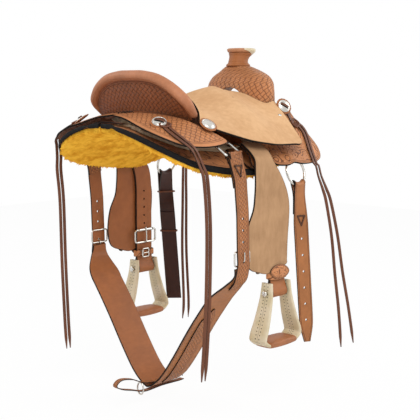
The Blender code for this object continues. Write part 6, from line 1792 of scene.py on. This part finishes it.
def make_tread(word, side):
    """Leather wrapped round the bottom of the stirrup, a little fuller in its middle."""
    half = STIRRUP_HALF_LOW - 0.020
    rings = []
    angle = full_turn(40)
    c, s = np.cos(angle), np.sin(angle)
    for x in np.linspace(-half, half, 41):
        swell = 0.0025 * (1 - (x / half) ** 2) - 0.0020 * (abs(x) / half) ** 24
        half_y, half_z = 0.029 + 0.00225 + swell, 0.0045 + 0.0045 + swell
        y = side * BOLT_Y + half_y * np.copysign(np.abs(c) ** 0.6, c)
        z = STIRRUP_BAR_Z + half_z * np.copysign(np.abs(s) ** 0.6, s)
        rings.append(np.stack([np.full(len(angle), LEATHER_X + x), y, z], -1))
    made = carried(f"tread_{word}", rings, ("tread leather",))
    place(made, f"stirrup_{word}", "plain_leather", f"stirrup_tread_{word}")


def make_bolt(word, side):
    """The bolt across the stirrup's top with its roller, turned in one: the same profile both ways."""
    reach, clear = STIRRUP_HALF_TOP + 0.0105, STIRRUP_HALF_TOP - 0.0075
    radii = (0.0005, 0.0060, 0.0080, 0.0080, 0.0048, 0.0048, ROLLER_RADIUS)
    heights = (reach + 0.005, reach + 0.0047, reach + 0.0035, reach, reach, clear, clear)
    radii, heights = radii + radii[::-1], heights + tuple(-height for height in heights[::-1])
    centre = (LEATHER_X, side * BOLT_Y, BOLT_Z)
    made = turned(f"bolt_{word}", centre, (1, 0, 0), radii, heights, ("nickel",), around=32)
    place(made, f"stirrup_{word}", "nickel", f"stirrup_bolt_{word}")


# Front rigging.
def looped_row(x, y, z, width, wire_z, turn=0.0):
    """A row across a strap; where it goes round the ring it bows up with the ring's wire."""
    d = np.linspace(-0.5, 0.5, 9) * width
    bow = float(np.clip(1 - (wire_z - z) / 0.035, 0.0, 1.0))
    rise = (RING_RADIUS - np.sqrt(RING_RADIUS**2 - d**2)) * bow
    across_y = y - rise * math.tan(RING_LEAN) - d * math.sin(turn)
    return np.stack([x + d * math.cos(turn), across_y, z + rise], -1)


def turned_below(z, wire_z, turn):
    """How far a strap has turned at z: nothing by the ring, all of turn a hand's breadth below it."""
    return turn * float(np.clip((wire_z - TURN_BELOW_RING - z) / TURN_LENGTH, 0.0, 1.0))


def make_ring(word, side):
    ring = [ring_point(degrees, side) for degrees in np.linspace(0, 360, 97)[:-1]]
    body = f"front_ring_{word}"
    make_wire(f"ring_{word}", ring, RING_WIRE, body, body, closed=True, around=20)


def make_off_billet():
    """A doubled strap looped through the right ring and hanging in front of the fender."""
    t = STRAP_THICKNESS
    _, y, wire_z = ring_point(-90, 1.0)
    step = (t + LEATHER_GAP) / 2
    path = [(y - step, wire_z - 0.080), (y - step, wire_z - 0.030)]
    path += arc((y, wire_z), RING_WIRE + RING_LOOP_GAP + t / 2, 210, -30, 9)
    path += [(y + step, wire_z - 0.030), (y + step, wire_z - 0.080)]
    path += [(y + step, z) for z in np.linspace(wire_z - 0.110, wire_z - OFF_BILLET_LENGTH, 8)]
    rows = []
    for n, (across_y, z) in enumerate(path):
        left = len(path) - 1 - n
        width = OFF_BILLET_WIDTH * (0.45 if left == 0 else 0.92 if left == 1 else 1.0)
        drift = OFF_BILLET_DRIFT * max(0.0, (wire_z - z) / OFF_BILLET_LENGTH)
        turn = turned_below(z, wire_z, OFF_BILLET_TURN)
        aside = across_y - y
        middle = RING_X + drift + aside * math.sin(turn)
        rows.append(looped_row(middle, y + aside * math.cos(turn), z, width, wire_z, turn))
    grid = mirrored(finer(np.array(rows), 6, 1), -1)
    finishes = faced("plain russet")
    made = strap_shell("off_billet_leather", grid, t, finishes, (0, -1, 0))
    c, s = math.cos(OFF_BILLET_TURN), math.sin(OFF_BILLET_TURN)
    a, n = (c, s), (s, -c)

    def spot(aside, drop, above):
        x = RING_X + OFF_BILLET_DRIFT * drop / OFF_BILLET_LENGTH
        return np.array([x + aside * a[0] + above * n[0], -y + aside * a[1] + above * n[1], wire_z - drop])

    drops = [OFF_BILLET_FIRST_HOLE + OFF_BILLET_HOLE_SPACING * k for k in range(OFF_BILLET_HOLES)]
    punched(made, [spot(0.0, drop, step) for drop in drops], (*n, 0), 0.0032)
    place(made, "off_billet", "tooled_leather", "off_billet")
    marks = [spot(*mark, step + t / 2 + 0.0014) for mark in ((-0.011, 0.085), (0.011, 0.085), (0.0, 0.112))]
    make_lacing("off_billet_lacing", marks, 0.0042, (*n, 0), "off_billet")


def make_latigo():
    """A long strap on the left ring, folded back on itself and turned to the rear, tied twice."""
    t = LATIGO_THICKNESS
    _, y, wire_z = ring_point(-90, 1.0)
    step = t + 0.0008
    bottom = wire_z - LATIGO_LENGTH
    path = [(y - 1.5 * step, z) for z in np.linspace(wire_z - 0.120, bottom + 0.030, 4)]
    path += arc((y - step, bottom + 0.004), 0.5 * step, 180, 360, 5)
    path += [(y - 0.5 * step, z) for z in np.linspace(bottom + 0.030, wire_z - 0.050, 6)]
    path += arc((y, wire_z), RING_WIRE + RING_LOOP_GAP + t / 2, 205, -25, 9)
    path += [(y + 0.5 * step, z) for z in np.linspace(wire_z - 0.050, bottom + 0.020, 6)]

    def row(across_y, z, width=LATIGO_WIDTH):
        turn = turned_below(z, wire_z, LATIGO_TURN)
        drift = LATIGO_DRIFT * max(0.0, (wire_z - z) / LATIGO_LENGTH)
        aside = across_y - y
        x = RING_X + drift + aside * math.sin(turn)
        return looped_row(x, y + aside * math.cos(turn), z, width, wire_z, turn)

    grid = finer(np.array([row(a, z) for a, z in path]), 6, 1)
    made = strap_shell("latigo_strap", grid, t, ("latigo",) * 3, (0.7, 0.7, 0), rounding=0.0008)
    place(made, "latigo", "dark_leather", "latigo")
    for n, z in enumerate((-0.205, -0.330)):
        low, high = row(y - 1.5 * step - t, z, 0.050), row(y + 0.5 * step + t, z, 0.050)
        corners = [low[0], low[-1], high[-1], high[0]]
        ring = even(np.array([*corners, corners[0]]), 61)[:-1]
        tie = tube(f"latigo_tie_{n}", ring, 0.0026, ("string",), closed=True, around=10)
        place(tie, "latigo", "string_leather")


# Flank set.
def flank_x(z):
    return np.interp(z, (-0.330, -0.200, -0.100, FLANK_Z), (FLANK_BUCKLE_X, -0.117, -0.128, FLANK_X))


def crosswise(path, towards):
    """A direction along towards and square to the path."""
    runs = unit(np.gradient(np.asarray(path, float), axis=0))
    towards = np.broadcast_to(np.asarray(towards, float), runs.shape)
    return unit(towards - runs * (runs * towards).sum(axis=1, keepdims=True))


def make_dee(word, side):
    """A bent wire from the edge of the tree's bar to the flank billet."""
    plan_y = np.interp(FLANK_X, BAR_X, BAR_OUTER_Y) - 0.010
    lift = float(bar_top_lift(FLANK_X, plan_y)) + DEE_WIRE + 0.0042
    _, leaf_y, leaf_z = on_back(np.array([[FLANK_X, plan_y]]), np.array([lift]))[0]
    bar_y = FLANK_Y - (STRAP_THICKNESS + LEATHER_GAP) / 2
    half = FLANK_WIDTH / 2 + 0.006
    bend = (leaf_y + 0.6 * (bar_y - leaf_y), leaf_z + 0.10 * (FLANK_Z - leaf_z))
    arm = [(leaf_y, leaf_z), bend, (bar_y, FLANK_Z)]
    points = [(FLANK_X - half, side * a, b) for a, b in arm]
    points += [(FLANK_X + half, side * a, b) for a, b in arm[::-1]]
    ring = even([*points, points[0]], 121)[:-1]
    for _ in range(4):
        ring = 0.5 * ring + 0.25 * (np.roll(ring, 1, 0) + np.roll(ring, -1, 0))
    make_wire(f"dee_{word}", ring, DEE_WIRE, ROOT, f"rear_dee_{word}", closed=True)


def cinch_line(count=60):
    return smooth_path(
        [
            (FLANK_Y - 0.0070, FLANK_BUCKLE_Z - 0.0250), (0.2756, -0.367), (0.2580, -0.391), (0.2200, -0.432),
            (0.1600, -0.512), (0.1000, -0.601), (0.0550, -0.661), (0.0200, -0.691), (0.0, FLANK_BOTTOM_Z),
        ],
        count,
    )


def make_flank_billet(word, side):
    """Folded round the dee's bar, down past the buckle, its end on the cinch."""
    t, y = STRAP_THICKNESS, FLANK_Y
    path = [(y - t - LEATHER_GAP, -0.130), (y - t - LEATHER_GAP, FLANK_Z - 0.030)]
    path += arc((y - (t + LEATHER_GAP) / 2, FLANK_Z), DEE_WIRE + 0.0008 + t / 2, 210, -30, 9)
    path += [(y, z) for z in np.linspace(FLANK_Z - 0.030, FLANK_BUCKLE_Z - 0.020, 9)]
    line = cinch_line(15)
    for n in (1, 2):
        run = unit(line[n + 1] - line[n - 1])
        path.append(tuple(line[n] + np.array([-run[1], run[0]]) * (0.5 * CINCH_THICKNESS + 0.5 * t + 0.0012)))
    points = np.array([(flank_x(b), side * a, b) for a, b in path])
    points[-2:, 0] -= np.array([0.006, 0.016])
    widths = np.full(len(points), FLANK_WIDTH)
    widths[-1] *= 0.5
    both = finer_rows(np.concatenate([points, widths[:, None]], 1), 7)
    points, widths = both[:, :3], both[:, 3]
    made = ribbon(f"flank_billet_{word}_leather", points, widths, t, crosswise(points, (1, 0, 0)),
                  faced("stamped strap", "smooth russet"), out=(0, side, 0), columns=9)
    low = [(FLANK_BUCKLE_X, side * y, FLANK_BUCKLE_Z - 0.0090)]
    holes = [(float(flank_x(z)), side * y, z) for z in (-0.215, -0.245, -0.275)]
    punched(made, low + holes, (0, 1, 0), 0.0034)
    place(made, "flank_set", "tooled_leather", f"flank_billet_{word}")
    face = side * (y + t / 2 + 0.0012)
    marks = [(-0.013, -0.078), (0.013, -0.078), (0.0, -0.106)]
    marks = [np.array((float(flank_x(z)) + dx, face, z)) for dx, z in marks]
    make_lacing(f"flank_lacing_{word}", marks, 0.0040, (0, side, 0), "flank_set")


def make_flank_buckle(word, side):
    frame_y = FLANK_Y - STRAP_THICKNESS / 2 - FLANK_WIRE - 0.0005
    middle = (FLANK_BUCKLE_X, FLANK_BUCKLE_Z)
    outline = box_outline(middle, FLANK_WIDTH / 2 + 0.006, BUCKLE_HALF_HEIGHT, 0.007, 8)
    ring = even([(a, side * frame_y, b) for a, b in (*outline, outline[0])], 101)[:-1]
    make_wire(f"flank_buckle_{word}_frame", ring, FLANK_WIRE, "flank_set", f"flank_buckle_{word}", closed=True)
    low_z = FLANK_BUCKLE_Z - BUCKLE_HALF_HEIGHT
    outside = FLANK_Y + STRAP_THICKNESS / 2 + 0.0016 + 0.0008
    hook = [(frame_y + dy, low_z + dz) for dy, dz in arc((0.0, 0.0), FLANK_WIRE + 0.0024, 250, 90, 9)]
    line = [*hook, (FLANK_Y - 0.0006, low_z + 0.0085)]
    line += [(outside, low_z + 0.0150), (outside, FLANK_BUCKLE_Z + 0.0160)]
    path = smooth_path([(FLANK_BUCKLE_X, side * a, b) for a, b in line], 60)
    make_wire(f"tongue_{word}", path, 0.0016, f"flank_tongue_{word}", f"flank_tongue_{word}")


def make_cinch():
    """The wide strap under the belly, its ends narrowing to the buckles."""
    half = cinch_line(60)
    line = np.concatenate([half, half[-2::-1] * np.array([-1.0, 1.0])])
    x = FLANK_BUCKLE_X - FLANK_DRIFT * np.minimum(1.0, (FLANK_Y - np.abs(line[:, 0])) / 0.06)
    points = np.concatenate([x[:, None], line], 1)
    run = run_of(points)
    near = np.minimum(run, run[-1] - run) / CINCH_TAPER
    widths = CINCH_END_WIDTH + (CINCH_WIDTH - CINCH_END_WIDTH) * eased(np.clip(near, 0.0, 1.0))
    made = ribbon("cinch_leather", points, widths, CINCH_THICKNESS, crosswise(points, (1, 0, 0)),
                  faced("plain russet", "smooth russet"), columns=13, out=(0, 0, -1))
    place(made, "flank_set", "tooled_leather", "flank_cinch")
    shares = np.linspace(OVERLAY_FROM, OVERLAY_TO, 60)
    over = np.stack([np.interp(shares, run / run[-1], points[:, k]) for k in range(3)], 1)
    out = np.cross(crosswise(over, (1, 0, 0)), unit(np.gradient(over, axis=0)))
    out *= np.sign((out * np.array([0.0, -1.0, -1.0])).sum(axis=1, keepdims=True))
    widths = np.interp(shares, (OVERLAY_FROM, OVERLAY_POINT, OVERLAY_TO), (0.050, 0.050, 0.006))
    made = ribbon("cinch_overlay", over + out * (CINCH_THICKNESS / 2 + 0.0016), widths, 0.0030,
                  crosswise(over, (1, 0, 0)), faced("stamped strap"),
                  columns=9, out=(0, -1, -1))
    place(made, "flank_set", "tooled_leather")


def make_connector():
    """A small strap looped round the cinch at the bottom, its loop to the rear."""
    x, z = FLANK_BUCKLE_X - FLANK_DRIFT, FLANK_BOTTOM_Z
    front, rear = x + CINCH_WIDTH / 2 + 0.012, x - CINCH_WIDTH / 2 - 0.012
    path = (
        (front + 0.022, z - 0.008), (front, z - 0.0085), (x, z - 0.0065), (rear, z - 0.0085),
        (rear - 0.045, z + 0.004), (rear - 0.085, z + 0.016), (rear - 0.104, z + 0.029),
        (rear - 0.085, z + 0.041), (rear - 0.045, z + 0.034), (rear, z + 0.015),
        (x, z + 0.0085), (front, z + 0.009), (front + 0.018, z + 0.003),
    )
    line = smooth_path([(a, 0.0, b) for a, b in path], 120)
    finishes = faced("plain russet")
    made = ribbon("connector_leather", line, 0.016, 0.0025, (0, 1, 0), finishes, out=(0, 0, -1))
    place(made, "flank_set", "tooled_leather", "connector_strap")
    ring = [(rear - 0.012, 0.0115 * math.cos(a), z + 0.0008 + 0.0165 * math.sin(a))
            for a in np.linspace(0, 2 * math.pi, 41)[:-1]]
    make_wire("connector_keeper", ring, 0.0022, "flank_set", closed=True)


def dress_tree():
    """The wooden tree, the horn's core and the seat's ground work keep their solids and get a finish."""
    looks = {"tree_fork": "ground leather", "tree_cantle": "tree wood", "tree_bar_left": "tree wood",
             "tree_bar_right": "tree wood", "horn_core": "tree wood", "ground_seat": "ground leather"}
    for name, look in looks.items():
        solid = NODES[name]
        solid = bpy.data.objects[solid] if isinstance(solid, str) else solid
        solid.data.materials.clear()
        solid.data.materials.append(finish(look))


# Settings.
def number(name, description, default, **settings):
    return bpy.props.FloatProperty(name=name, description=description, default=default, **settings)


def colour(name, description, default):
    return bpy.props.FloatVectorProperty(
        name=name, description=description, default=default, size=3, min=0.0, max=1.0, subtype="COLOR"
    )


class StageSettings(bpy.types.PropertyGroup):
    lens: number("Lens", "Camera lens", 81.34, unit="CAMERA")
    key: number("Key lamp", "Power of the main lamp", 70.0, unit="POWER")
    world: number("World light", "Strength of the light all round", 0.62)
    floor: number("Floor", "Height of the floor", -0.745, unit="LENGTH")


class ColourSettings(bpy.types.PropertyGroup):
    russet: colour("Russet", "Stamped and carved leather", (0.560, 0.228, 0.092))
    # Painted shade: the colour laid into the stamping hollows and tooled cuts.
    hollows: colour("Hollows", "The dark in the leather's stamping and cuts", (0.105, 0.034, 0.015))
    straps: colour("Straps", "Plain straps, billets and cinch", (0.400, 0.155, 0.055))
    seat: colour("Seat", "Rough-out leather of the seat", (0.745, 0.460, 0.245))
    fender: colour("Fenders", "Rough-out leather of the fenders", (0.500, 0.295, 0.155))
    strings: colour("Strings", "Saddle strings and knots", (0.150, 0.055, 0.028))
    wool: colour("Wool", "Dyed sheep's wool", (0.940, 0.520, 0.055))
    rawhide: colour("Rawhide", "Stirrups and horn rawhide", (0.690, 0.590, 0.420))
    metal: colour("Metal", "Rings, buckles and conchos", (0.740, 0.715, 0.660))


class StringSettings(bpy.types.PropertyGroup):
    width: number("Width", "Width of a string", 0.0085, unit="LENGTH")
    thickness: number("Thickness", "Thickness of a string", 0.0030, unit="LENGTH")


class WoolSettings(bpy.types.PropertyGroup):
    curl: number("Curl", "Height of the locks", 0.0032, unit="LENGTH")
    locks: bpy.props.IntProperty(name="Locks", description="Locks along each lower edge", default=420, min=1)


# Operators.
def step(idname, label, words, work):
    """An operator class that runs one maker."""

    def execute(self, context):
        work()
        return {"FINISHED"}

    return type(
        "SADDLE_OT_" + idname, (bpy.types.Operator,),
        {"bl_idname": "saddle." + idname, "bl_label": label, "__doc__": words, "bl_description": words,
         "execute": execute},
    )


def both(*makers):
    def work():
        for word, side in SIDES:
            for maker in makers:
                maker(word, side)

    return work


STEPS = (
    step("stage", "Stage", "Camera, lamps, world and floor", make_stage),
    step("strings", "Strings", "The eight saddle strings", make_strings),
    step("tree", "Tree", "Finishes of the wooden tree and the ground seat", dress_tree),
    step("fleece", "Wool", "Wool under the skirts, with locks along its edge", both(make_fleece)),
    step("skirts", "Skirts", "Skirts and their black bindings", both(make_skirt, make_binding)),
    step("plates", "Rigging plates", "Carved front plates", both(make_plate)),
    step("jockeys", "Rear jockeys", "Stamped rear jockeys", both(make_jockey)),
    step("lacing", "Rear lacing", "Lacing and tie at the back", make_rear_lacing),
    step("seat", "Seat", "Rough-out seat with its hand hole", make_seat),
    step("cantle", "Cantle", "Cantle back and its roll", make_cantle),
    step("fork", "Fork and horn", "Fork cover, horn wrap and cap", make_fork),
    step("conchos", "Conchos", "Conchos, rosettes and slit knots", both(make_conchos, make_knots)),
    step("fenders", "Fenders", "Fenders", both(make_fender)),
    step("leathers", "Stirrup leathers", "Leathers, their buckles and hobbles",
         both(make_stirrup_leather, make_leather_buckle, make_hobble)),
    step("stirrups", "Stirrups", "Stirrups, treads and bolts", both(make_stirrup, make_tread, make_bolt)),
    step("rings", "Front rings", "Front rigging rings", both(make_ring)),
    step("billet", "Off billet", "Off billet with six holes", make_off_billet),
    step("latigo", "Latigo", "Latigo on the left ring", make_latigo),
    step("flank", "Flank set", "Dees, billets and buckles",
         both(make_dee, make_flank_billet, make_flank_buckle)),
    step("cinch", "Flank cinch", "Flank cinch and its connector", lambda: (make_cinch(), make_connector())),
)


class SADDLE_PT_panel(bpy.types.Panel):
    """The saddle's settings and pieces"""

    bl_idname = "SADDLE_PT_panel"
    bl_label = "Wade saddle"
    bl_space_type = "VIEW_3D"
    bl_region_type = "UI"
    bl_category = "Saddle"

    def draw(self, context):
        for key in GROUPS:
            settings = getattr(context.scene, key)
            for field in settings.__annotations__:
                self.layout.prop(settings, field)
        for operator in STEPS:
            self.layout.operator(operator.bl_idname)


GROUPS = {
    "saddle_stage": StageSettings,
    "saddle_colours": ColourSettings,
    "saddle_strings": StringSettings,
    "saddle_wool": WoolSettings,
}


def register():
    for part in (*GROUPS.values(), *STEPS, SADDLE_PT_panel):
        bpy.utils.register_class(part)
    for key, group in GROUPS.items():
        setattr(bpy.types.Scene, key, bpy.props.PointerProperty(type=group))


def unregister():
    for key in GROUPS:
        delattr(bpy.types.Scene, key)
    for part in reversed((*GROUPS.values(), *STEPS, SADDLE_PT_panel)):
        bpy.utils.unregister_class(part)


def main():
    register()
    for operator in STEPS:
        getattr(bpy.ops.saddle, operator.bl_idname.split(".")[1])()


if __name__ == "__main__":
    main()
